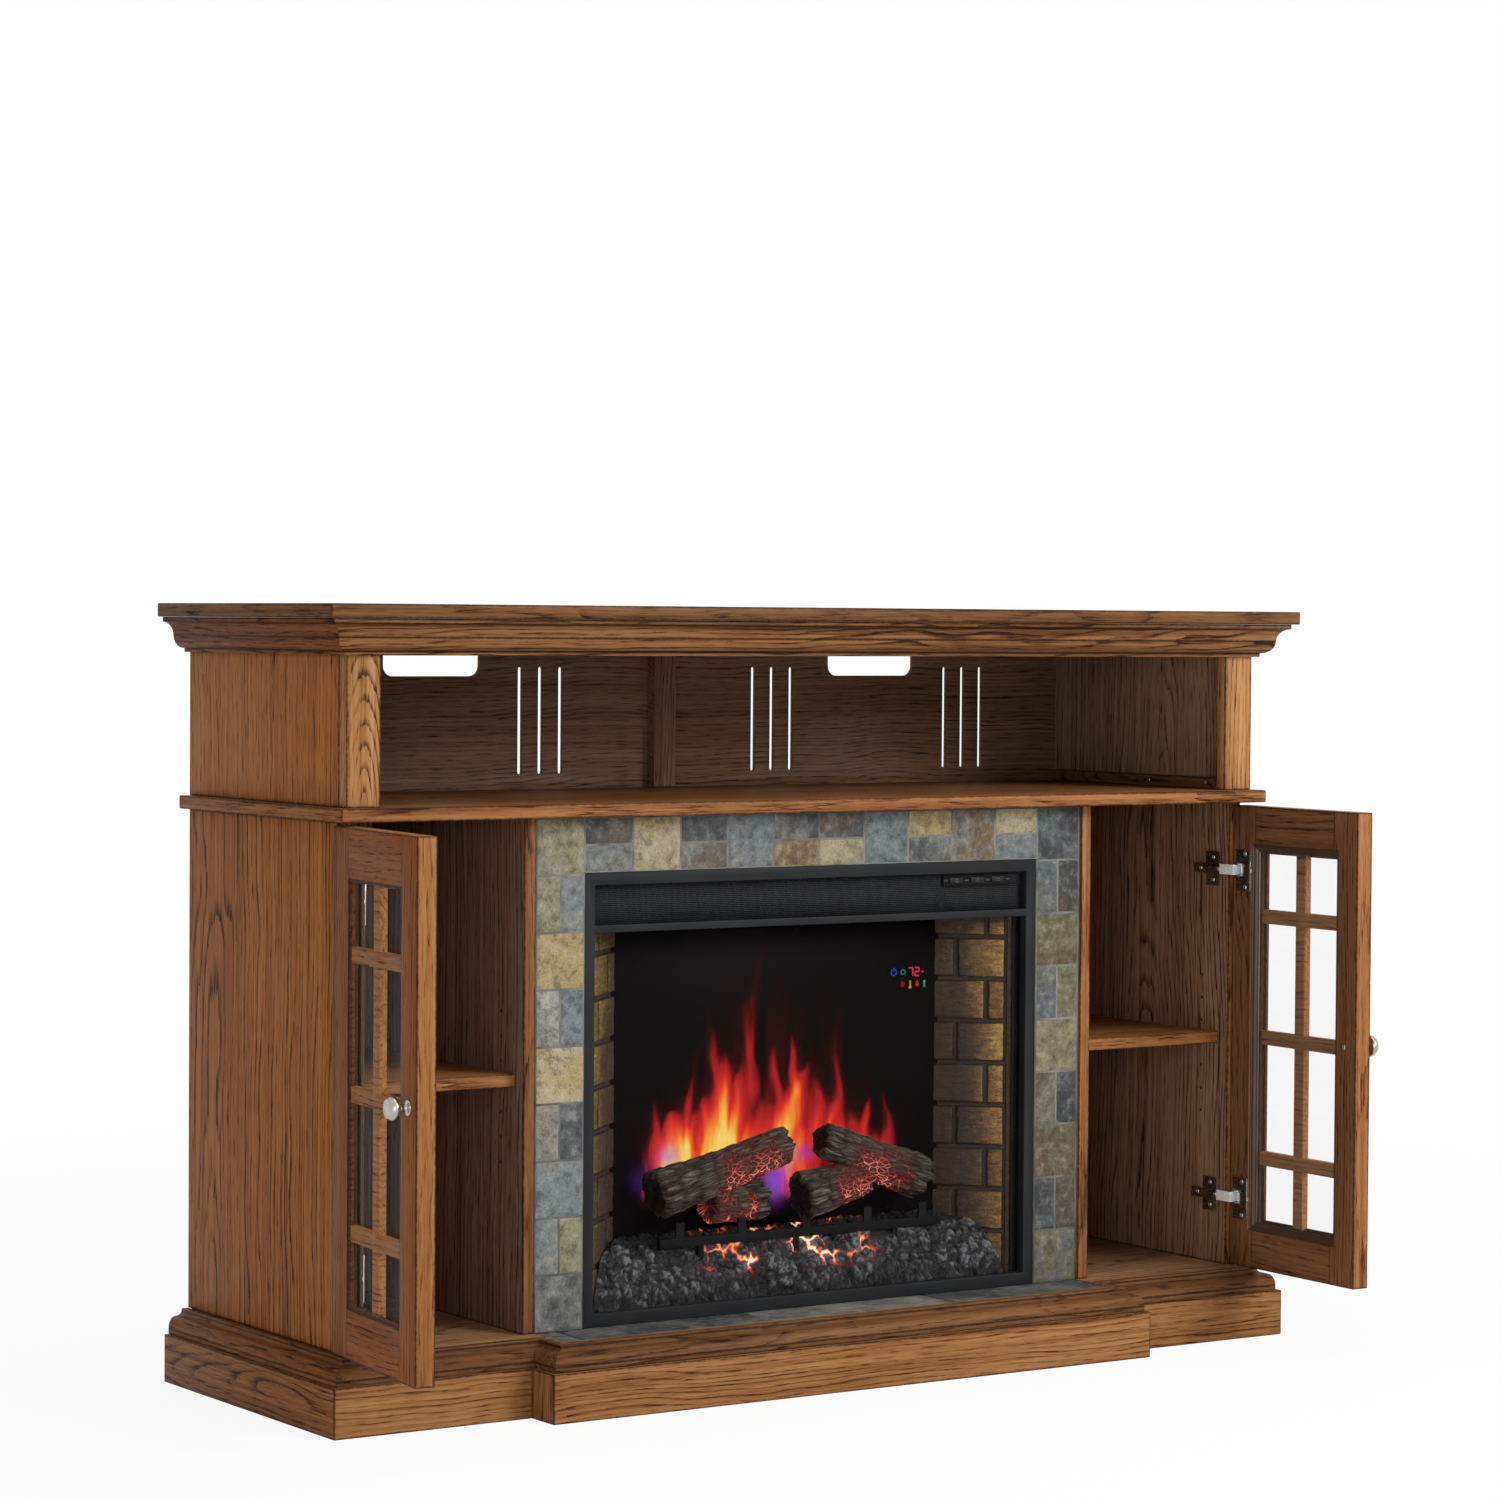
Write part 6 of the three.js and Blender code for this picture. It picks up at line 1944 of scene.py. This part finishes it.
        # Pale ash on the lumps and darker in the gaps, with painted shade at the very front of the bed and
        # behind the grate, where the bed falls nearly black.
        crest = (0.40 + 0.60 * smooth_step(second - first, 0.03, 0.42)) * (0.30 + 0.70 * folds[0])
        crest *= (0.28 + 0.72 * folds[1]) * (1.15 + 1.5 * swell) * (0.80 + 0.40 * number)
        crest *= 0.30 + 0.70 * smooth_step(depth, 0.01, 0.12)
        crest *= 1.0 - 0.80 * smooth_step(depth, 0.42, 0.60)
        points = np.stack([x, y, z], axis=-1)
        top = Surface(points.reshape(-1, 3), [grid_quads(*x.shape)])
        top = top.carrying(crest=np.clip(crest, 0.0, 1.0).ravel(), fire=fire.ravel())
        skirt = closing_band(points, np.stack([x, y, np.full_like(x, self.ember_floor)], axis=-1))
        bed = Surface.joined([top, skirt.carrying(crest=0.1, fire=0.0)])
        bed.piece("embers", Ash().build("ash"), "cabinet", "charcoal", ("ember_bed",), smooth=80.0)

    def _log(self, shape: LogShape) -> Surface:
        """Builds one log.

        Its skin is a tube round the line between its ends: the radius runs from one end's to the
        other's and is changed by long bark ridges, layered noise stretched along the log, and by
        knots. The ends are closed by rings that shrink to the middle and break off unevenly.

        Args:
            shape: The log's shape.

        Returns:
            The log.
        """
        start, end, seed = np.array(shape.start), np.array(shape.end), shape.seed
        length = float(np.linalg.norm(end - start))
        axis = (end - start) / length
        side = np.cross(axis, np.array([0.0, 1.0, 0.0]))
        side /= np.linalg.norm(side)
        front = np.cross(side, axis)
        rings, sides, caps = 96, 128, 11
        steps = np.linspace(0.0, 1.0, rings)
        turns = np.arange(sides) * (2 * math.pi / sides)
        t, angle = np.meshgrid(steps, turns, indexing="ij")
        circle = np.stack([np.cos(angle), np.sin(angle)], axis=-1)
        radius = shape.radii[0] + (shape.radii[1] - shape.radii[0]) * t
        places = np.concatenate([circle * radius[..., None], t[..., None] * length * 0.30], axis=-1)
        ridges = np.abs(layered_noise(places + seed, 0.011, 3, seed) - 0.5) * 2.0
        swell = layered_noise(places * 0.6 + seed, 0.022, 2, seed + 9) - 0.5
        chart = np.stack([angle * 0.024, t * length * 0.32], axis=-1)
        plates, borders, _ = lump_distances(chart, 0.0095, seed)
        plate = smooth_step(borders - plates, 0.02, 0.35)
        taper = 1.0 - 0.30 * smooth_step(t, 0.965, 1.0) - 0.22 * smooth_step(1 - t, 0.975, 1.0)
        rough = (0.5 - ridges) * 0.0066 + swell * 0.0085 + (plate - 0.5) * 0.0018
        skin = radius * taper + rough * (0.4 + 0.6 * taper) - 0.0012
        shift = (layered_noise(circle, 0.45, 3, seed + 2) - 0.5) * (
            0.020 * smooth_step(t, 0.85, 1.0) - 0.012 * smooth_step(1 - t, 0.9, 1.0))
        tube = start + axis * (t * length + shift)[..., None]
        tube = tube + circle @ np.stack([side, front]) * skin[..., None]
        shares = np.linspace(1.0, 0.0, caps + 2)[1:-1, None]
        push = (layered_noise(circle[0] * shares[..., None], 0.30, 3, seed + 40) - 0.5) * 0.009
        push = (push + np.sin(shares * 26.0) * 0.0005) * (1.0 - shares) ** 0.5 - 0.0035 * (1.0 - shares ** 2)
        ends = []
        for rim, sign in ((tube[0], -1.0), (tube[-1], 1.0)):
            heart = rim.mean(axis=0)
            ends.append(heart + (rim - heart) * shares[..., None] + axis * (sign * push)[..., None])
        body = loft(np.concatenate([ends[0][::-1], tube, ends[1]]))
        burn = np.concatenate([np.zeros(caps), steps, np.ones(caps)])
        hot = smooth_step(burn, shape.hot[0] - 0.12, shape.hot[0] + 0.16)
        hot *= 1 - smooth_step(burn, shape.hot[1] - 0.1, shape.hot[1] + 0.08)
        facing = np.append(np.tile(turns, len(burn)), [0.0, 0.0])
        patch = smooth_step(layered_noise(body.points, 0.022, 3, seed + 70), 0.30, 0.68)
        fire = np.append(np.repeat(hot, sides), [0.0, 0.0]) * shape.heat
        fire = np.clip(fire * (0.35 + 1.3 * patch), 0.0, 1.0)
        fire *= np.clip(0.78 - 0.60 * (np.sin(facing) * front[2] + np.cos(facing) * side[2]), 0.12, 1.0)
        rise = np.zeros((len(burn), sides))
        rise[caps:caps + rings] = np.clip(0.55 - ridges * 0.8 + plate * 0.35, 0.0, 1.0)
        along = np.append(np.repeat(burn * length, sides), [0.0, length])
        return body.carrying(rise=np.append(rise.ravel(), [0.2, 0.2]), fire=fire,
                             chart=np.stack([facing * float(np.mean(shape.radii)), along], axis=-1))

    def add_logs(self) -> None:
        """Adds the logs; the short one under the left log goes with it."""
        bark = Bark().build("bark")
        logs = {"left": (self.log_left, self.log_short), "right_rear": (self.log_right_rear,),
                "right_front": (self.log_right_front,)}
        for name, shapes in logs.items():
            Surface.joined([self._log(shape) for shape in shapes]).piece(
                f"fire_log_{name}", bark, "cabinet", "log_bark", (f"log_{name}",), smooth=70.0)

    def _heat(self, x: Array, z: Array) -> Array:
        """Adds up the tongues of fire.

        Each is a bell across its swaying middle line, whose width and heat both fall towards the
        tip; noise drawn out upwards splits it into licks.

        Args:
            x: Places across the screen.
            z: Their heights.

        Returns:
            The heat at each place.
        """
        total = np.zeros_like(x)
        licks = layered_noise(np.stack([x, z * 0.16 + 0.05 * x], axis=-1), 0.011, 3, 5)
        for number, (foot_x, foot_z, tip_x, tip_z, wide, hot, sway) in enumerate(self.flames):
            t = (z - foot_z) / (tip_z - foot_z)
            rise = np.clip(t, 0.0, 1.0)
            middle = foot_x + (tip_x - foot_x) * rise + sway * np.sin(rise * 4.2 + number)
            width = wide * 1.12 * (1.0 - 0.82 * rise) * (0.65 + 0.7 * licks)
            bell = np.exp(-(np.abs((x - middle) / width) ** 1.7))
            body = np.where(t < 0.0, hump(z, foot_z, 0.022), (1.0 - rise) ** 0.55)
            total += 0.72 * hot * bell * body * (0.45 + 1.1 * licks)
        return total

    def add_flames(self) -> None:
        """Adds the flame picture on the screen: heat turned into red, orange and yellow."""
        x, z = np.meshgrid(np.linspace(-0.262, 0.262, 290), np.linspace(0.200, 0.590, 250))
        bend = layered_noise(np.stack([x, z * 0.5], axis=-1), 0.030, 2, 61) - 0.5
        heat = self._heat(x + bend * 0.020, z)
        veil = layered_noise(np.stack([x, z * 0.2], axis=-1), 0.03, 3, 15)
        haze = hump(x, -0.03, 0.16) * hump(z, 0.30, 0.075)
        smoke = hump(x, -0.01, 0.13) * hump(z, 0.44, 0.11) * smooth_step(veil, 0.35, 0.7)
        heat = heat + haze * 0.36 * (0.6 + 0.8 * veil) + smoke * 0.14
        shine = np.stack([np.interp(heat, self.heat_stops, part) for part in self.heat_colours], axis=-1)
        for centre, level, wide, tall, colour in self.glows:
            spot = (hump(x, centre, wide) * hump(z, level, tall))[..., None]
            shine = shine * (1.0 - 0.75 * spot) + spot * np.array(colour)
        shine *= smooth_step(np.minimum(0.262 - np.abs(x), 0.590 - z), 0.0, 0.03)[..., None]
        points = np.stack([x, np.full_like(x, self.screen_front), z], axis=-1).reshape(-1, 3)
        sheet = Surface(points, [grid_quads(*x.shape)]).carrying(shine=shine.reshape(-1, 3))
        sheet.piece("flame_picture", Light(1.0).build("flame_light"), "cabinet", "smoked_screen",
                    smooth=None, recalculate=False)

    def add_display(self) -> None:
        """Adds the small marks and the number of degrees that shine through the screen."""
        blue, teal, green = (0.05, 0.07, 0.75), (0.02, 0.32, 0.30), (0.02, 0.55, 0.35)
        red, amber = (0.95, 0.05, 0.16), (0.75, 0.42, 0.12)
        ember, dusk = (0.75, 0.03, 0.03), (0.42, 0.02, 0.02)
        marks = [
            (arc_points(0.188, 0.5185, 0.0044, 120, 420, 22), blue, 0.0014),
            ([(0.188, 0.5195), (0.188, 0.5245)], blue, 0.0014),
            (arc_points(0.2035, 0.5180, 0.0034, -30, 210, 16), teal, 0.0011),
            ([(0.2000, 0.5155), (0.2075, 0.5155)], teal, 0.0011)]
        low, middle, high = 0.5125, 0.5180, 0.5235
        for left, bars in ((0.2130, "abc"), (0.2235, "abged")):
            right = left + 0.0066
            ways = {"a": [(left, high), (right, high)], "b": [(right, high), (right, middle)],
                    "c": [(right, middle), (right, low)], "d": [(left, low), (right, low)],
                    "e": [(left, low), (left, middle)], "g": [(left, middle), (right, middle)]}
            marks += [(ways[bar], red, 0.0016) for bar in bars]
        marks += [([(0.2350, 0.5175), (0.2375, 0.5175)], red, 0.0020),
                  (arc_points(0.2030, 0.5015, 0.0020, 0, 360, 16), dusk, 0.0011)]
        for ray in range(8):
            way = np.array([math.cos(ray * math.pi / 4), math.sin(ray * math.pi / 4)])
            marks.append(([(0.2030, 0.5015) + way * reach for reach in (0.0030, 0.0042)], dusk, 0.0007))
        marks += [
            ([(0.2155, 0.4995), (0.2155, 0.5065)], amber, 0.0016),
            (arc_points(0.2155, 0.4975, 0.0015, 0, 360, 14), amber, 0.0016),
            ([(0.2270, 0.4985), (0.2255, 0.5010), (0.2275, 0.5060)], ember, 0.0022),
            ([(0.2270, 0.4985), (0.2295, 0.5005), (0.2280, 0.5030)], ember, 0.0020),
            (arc_points(0.2390, 0.5040, 0.0013, 0, 360, 12), green, 0.0014),
            ([(0.2390, 0.5025), (0.2390, 0.4995)], green, 0.0022),
            ([(0.2372, 0.4965), (0.2390, 0.4995), (0.2408, 0.4965)], green, 0.0010)]
        parts = [stroke(np.array(line), width, self.screen_front - 0.0004).carrying(shine=colour)
                 for line, colour, width in marks]
        Surface.joined(parts).piece("display_marks", Light(0.9).build("display_light"), "cabinet",
                                    "smoked_screen", smooth=None, recalculate=False)

    def make(self) -> None:
        """Makes everything inside the firebox."""
        self.add_bricks()
        self.add_embers()
        self.dress("grate", Steel((0.0032, 0.0032, 0.0034), 0.7, 0.12).build("grate_iron"), 0.0008)
        self.add_logs()
        self.add_flames()
        self.add_display()


@dataclass
class Door(Work):
    """One glazed door with its hinges: frame, pane, bead, knob and screws.

    Places on a door are (along from the hinge axis to the free edge, out towards the knob side, up).
    """

    side: str = "left"
    pivot: tuple[float, float] = (0.7067, -0.1815)
    turns: tuple[float, float] = (97.0, 88.0)
    width: float = 0.270
    low: float = 0.0963
    high: float = 0.7403
    edge: float = 0.0065
    inner: float = 0.0100
    outer: float = 0.0150
    stile: float = 0.050
    rail: float = 0.062
    knob_level: float = 0.422
    hinge_levels: tuple[float, float] = (0.650, 0.191)
    case_inner: float = 0.6942
    screw_steel: Metal = Metal((0.48, 0.47, 0.45), 0.3)
    # The hinge arms' front part is pale and barely metallic: a painted highlight.
    arm_painted_highlight: tuple[float, Colour, float] = (-0.1530, (0.84, 0.84, 0.82), 0.2)
    bead: tuple[tuple[float, float], ...] = (
        (-0.0004, 0.0142), (0.0012, 0.0142), (0.0020, 0.0136), (0.0023, 0.0126), (0.0034, 0.0122),
        (0.0041, 0.0114), (0.0043, 0.0104), (0.0043, 0.0080), (-0.0004, 0.0080))
    glazing: tuple[tuple[float, float], ...] = (
        (-0.0098, -0.0016), (0.0012, -0.0016), (0.0014, -0.0026), (0.0006, -0.0035), (-0.0012, -0.0037),
        (-0.0024, -0.0046), (-0.0040, -0.0066), (-0.0054, -0.0072), (-0.0072, -0.0072),
        (-0.0080, -0.0080), (-0.0098, -0.0080))
    knob: tuple[tuple[float, float], ...] = (
        (0.0, 0.0), (9.5, 0.0), (9.5, 0.8), (9.1, 1.5), (7.6, 1.9), (6.0, 2.5), (4.9, 3.4), (4.3, 4.8),
        (4.2, 6.4), (4.3, 8.2), (5.0, 10.0), (6.6, 12.0), (9.2, 13.9), (12.4, 15.4), (14.3, 16.8),
        (15.0, 18.4), (15.0, 20.2), (14.5, 21.8), (13.6, 23.4), (12.4, 25.0), (11.4, 26.5), (10.6, 27.0),
        (9.6, 26.9), (8.8, 26.3), (7.6, 25.7), (5.4, 25.9), (3.0, 26.1), (0.6, 26.15))

    def __post_init__(self) -> None:
        """Works out the side's sign, the turn in radians and the foot of the hinge axis."""
        self.sign = -1.0 if self.side == "left" else 1.0
        self.turn = self.sign * math.radians(self.turns[self.side == "right"])
        self.centre = (self.sign * self.pivot[0], self.pivot[1], 0.0)
        self.body = f"{self.side}_door"
        self.opening = (self.stile - self.edge, self.width - self.edge - self.stile,
                        self.low + self.rail, self.high - self.rail)

    def placed(self, surface: Surface) -> Surface:
        """Turns (along, out, up) places into the frame of the model.

        Args:
            surface: A surface in the door's own places.

        Returns:
            The surface where the door stands.
        """
        along, out, up = surface.points.T
        shut = Surface(np.stack([-self.sign * along, -out, up], axis=-1), surface.faces, surface.layers)
        return shut.moved(Matrix.Translation(Vector(self.centre)) @ Matrix.Rotation(self.turn, 4, "Z"))

    def _run_round(self, profile: tuple[tuple[float, float], ...]) -> Surface:
        """Carries a profile round the opening with mitred corners.

        Args:
            profile: Its (into the opening, out) places.

        Returns:
            The moulding where the door stands.
        """
        left, right, bottom, top = self.opening
        middle = np.array([(left + right) / 2, (bottom + top) / 2])
        half = np.array([(right - left) / 2, (top - bottom) / 2])
        signs = np.array([(-1, -1), (1, -1), (1, 1), (-1, 1)], dtype=float)
        loops = np.stack([at_depth(middle + signs * (half - into), out) for into, out in profile], axis=1)
        return self.placed(Surface(loops.reshape(-1, 3), [
            grid_quads(4, len(profile), closed_rows=True, closed_columns=True)]))

    def _oak(self, shift: float, stain: Stain) -> Oak:
        """Gives the door's oak: rails with level grain, stiles with upright grain.

        Args:
            shift: Picks a stretch of the patterns.
            stain: The stain.

        Returns:
            The finish.
        """
        left, right = sorted((-self.sign * self.opening[0], -self.sign * self.opening[1]))
        ends = sorted((-self.sign * (self.width - self.edge), self.sign * self.edge))
        return Oak(stain, Board.RAIL, Grain(0.21, 0.055, 0.04, 0.0075, 0.62, shift),
                   (ends[0], -self.outer, self.low), (ends[1], self.inner, self.high), 0.0032,
                   pivot=self.centre, turn=self.turn, window=(left, right, *self.opening[2:]),
                   turned=Turned((left + right) / 2, (right - left) / 2, False),
                   # Painted shade on both faces of the frame: the inner face darker and greyer, the outer
                   # face darker and redder.
                   shaded_faces=(ShadedFace(1, self.inner, (0.61, 0.62, 0.80)),
                            ShadedFace(1, -self.outer, (0.80, 0.60, 0.42))))

    def dress_frame(self) -> None:
        """Finishes the frame and its pane, and adds the bead and the strip that hold the glass."""
        oak = self._oak(41.0 if self.side == "left" else 47.0, DOOR)
        self.dress(f"{self.body}_frame", oak.build(f"oak_{self.body}"), 0.0010)
        self.dress(f"{self.body}_glass", Glass().build(f"{self.body}_pane"), 0.0)
        dark = self._oak(53.0, BEAD).build(f"oak_{self.side}_bead")
        self._run_round(self.bead).piece(f"{self.body}_bead", dark, self.body, "oak", smooth=50.0)
        clear = Plastic((0.062, 0.034, 0.019), 0.16).build(f"{self.body}_strip_plastic")
        self._run_round(self.glazing).piece(f"{self.body}_glazing_strip", clear, self.body, "clear_glass",
                                            smooth=30.0)

    def add_knob(self) -> None:
        """Adds the turned knob in place of the plain one, and its screw on the inner face."""
        along = self.width - self.edge - self.stile / 2
        turned = lathe(np.array(self.knob) * MM, 48)
        places = turned.points[:, [0, 2, 1]] + (along, self.outer + 0.0003, self.knob_level)
        nickel = Metal((0.50, 0.47, 0.43), 0.26, 900.0).build(f"nickel_{self.side}_knob")
        self.placed(Surface(places, turned.faces)).piece(
            f"{self.body}_turned_knob", nickel, self.body, "nickel", (f"{self.body}_knob",), smooth=50.0)
        self._heads(f"{self.body}_knob_screw", [(along, -self.inner, self.knob_level)], 0.0042)

    def _heads(self, name: str, spots: list[Triple], radius: float) -> None:
        """Adds screw heads on the door, facing the inner side.

        Args:
            name: The set's name.
            spots: Their (along, out, up) places.
            radius: A head's radius.
        """
        head = screw_head(radius)
        flat = head.points[:, [0, 2, 1]] * (1.0, -1.0, 1.0)
        heads = Surface.joined([Surface(flat + spot, head.faces) for spot in spots])
        self.placed(heads).piece(name, self.screw_steel.build(f"steel_{name}"), self.body, "hinge_steel")

    def dress_hinges(self) -> None:
        """Finishes the cups and arms and adds their screws."""
        plain = Metal((0.62, 0.62, 0.61), 0.26, 300.0)
        for part, finish in (("cup", plain), ("arm", replace(plain, fore=self.arm_painted_highlight))):
            steel = finish.build(f"steel_{self.side}_{part}s")
            for level in ("upper", "lower"):
                self.dress(f"{self.side}_hinge_{part}_{level}", steel, 0.0003)
        cups = [(0.0215, -0.0115, level + lift) for level in self.hinge_levels for lift in (-0.0235, 0.0235)]
        self._heads(f"{self.body}_cup_screws", cups, 0.0038)
        plate = self.sign * (self.case_inner - 0.0018)
        face = self.sign * (self.case_inner - 0.0045)
        spots = [(plate, -0.136, level + lift) for level in self.hinge_levels for lift in (-0.0160, 0.0160)]
        spots += [(face, depth, level) for level in self.hinge_levels for depth in (-0.112, -0.150)]
        self.screws(f"{self.side}_arm_screws", spots, (-self.sign, 0.0, 0.0), 0.0036, self.screw_steel)

    def make(self) -> None:
        """Makes one door's looks."""
        self.dress_frame()
        self.add_knob()
        self.dress_hinges()


@dataclass(frozen=True)
class Lamp:
    """One soft area lamp: where it hangs, what it looks at, its size and its power in watts."""

    name: str
    place: Triple
    aim: Triple
    size: float
    power: float


@dataclass
class Studio:
    """The pale floor, the even light and the camera."""

    eye: Triple = (-3.15527, -4.7668, 0.99151)
    yaw: float = 33.5
    pitch: float = -1.72
    roll: float = 0.4
    lens: float = 102.2
    ambient: float = 0.45
    lamps: tuple[Lamp, ...] = (
        Lamp("key", (2.4, -4.6, 2.7), (0.0, -0.1, 0.5), 2.2, 200.0),
        Lamp("fill", (-3.0, -4.2, 0.9), (0.0, -0.1, 0.4), 2.0, 52.0),
        Lamp("top", (0.2, -0.6, 3.6), (0.0, 0.0, 0.8), 2.5, 40.0))

    def add_camera(self) -> None:
        """Adds the camera: its back axis, then right and up turned by the roll."""
        yaw, pitch, roll = (math.radians(angle) for angle in (self.yaw, self.pitch, self.roll))
        forward = Vector((math.sin(yaw) * math.cos(pitch), math.cos(yaw) * math.cos(pitch), math.sin(pitch)))
        right = Vector((math.cos(yaw), -math.sin(yaw), 0.0))
        up = right.cross(forward)
        turned_right = math.cos(roll) * right + math.sin(roll) * up
        turned_up = -math.sin(roll) * right + math.cos(roll) * up
        data = bpy.data.cameras.new("camera")
        data.lens = self.lens
        data.sensor_width = 36.0
        data.clip_end = 50.0
        camera = bpy.data.objects.new("camera", data)
        axes = Matrix((turned_right, turned_up, -forward)).transposed().to_4x4()
        camera.matrix_world = Matrix.Translation(Vector(self.eye)) @ axes
        bpy.context.scene.collection.objects.link(camera)
        bpy.context.scene.camera = camera

    def add_lamps(self) -> None:
        """Adds the area lamps, each turned to what it looks at."""
        for lamp in self.lamps:
            data = bpy.data.lights.new(lamp.name, "AREA")
            data.shape = "DISK"
            data.size = lamp.size
            data.energy = lamp.power
            light = bpy.data.objects.new(lamp.name, data)
            way = (Vector(lamp.aim) - Vector(lamp.place)).to_track_quat("-Z", "Y")
            light.matrix_world = Matrix.Translation(Vector(lamp.place)) @ way.to_matrix().to_4x4()
            bpy.context.scene.collection.objects.link(light)

    def add_world(self) -> None:
        """Makes the room white to the camera, to gloss and through glass, and soft grey as light."""
        world = bpy.data.worlds.new("room")
        world.use_nodes = True
        tree = Tree(world.node_tree)
        camera, gloss, through = tree.seen()
        white = camera.most(through).most(gloss * 0.75)
        shade = tree.node("ShaderNodeBackground", sockets={
            "Color": (1.0, 1.0, 1.0), "Strength": self.ambient + white * (1.0 - self.ambient)})
        tree.node("ShaderNodeOutputWorld", sockets={0: shade.outputs[0]})
        bpy.context.scene.world = world

    def add_floor(self) -> None:
        """Adds the floor: lit paper mixed with plain white for the camera, so it keeps a shadow."""
        mesh = bpy.data.meshes.new("floor")
        mesh.from_pydata([(-9.0, -9.0, 0.0), (9.0, -9.0, 0.0), (9.0, 9.0, 0.0), (-9.0, 9.0, 0.0)], [],
                         [(0, 1, 2, 3)])
        floor = bpy.data.objects.new("floor", mesh)
        bpy.context.scene.collection.objects.link(floor)
        paint = Paint("floor_paper")
        paint.surface(Roughness=0.9, Base_Color=(0.90, 0.90, 0.90), Specular_IOR_Level=0.0)
        camera, gloss, through = paint.seen()
        across, deep, _ = paint.split(paint.place())
        far = (across * across + deep * deep).root().eased(1.3, 3.2)
        white = paint.node("ShaderNodeEmission", sockets={"Color": (1.0, 1.0, 1.0), "Strength": 1.0})
        both = paint.node("ShaderNodeMixShader", sockets={
            0: camera.most(gloss).most(through) * (0.90 + far * 0.10), 1: paint.shader.outputs[0],
            2: white.outputs[0]})
        paint.feed(paint.output.inputs["Surface"], both.outputs[0])
        mesh.materials.append(paint.material)

    def make(self) -> None:
        """Makes the room."""
        bpy.context.scene.view_settings.view_transform = "Standard"
        self.add_camera()
        self.add_lamps()
        self.add_world()
        self.add_floor()


def main() -> None:
    """Builds the looks in order."""
    logging.basicConfig(level=logging.INFO, format="%(message)s")
    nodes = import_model()["nodes"]
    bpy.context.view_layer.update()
    easing = Easing()
    Studio().make()
    Joinery(nodes, easing).make()
    SlateWork().make()
    Insert(nodes, easing).make()
    Firebox(nodes, easing).make()
    for side in ("left", "right"):
        Door(nodes, easing, side).make()


if __name__ == "__main__":
    main()
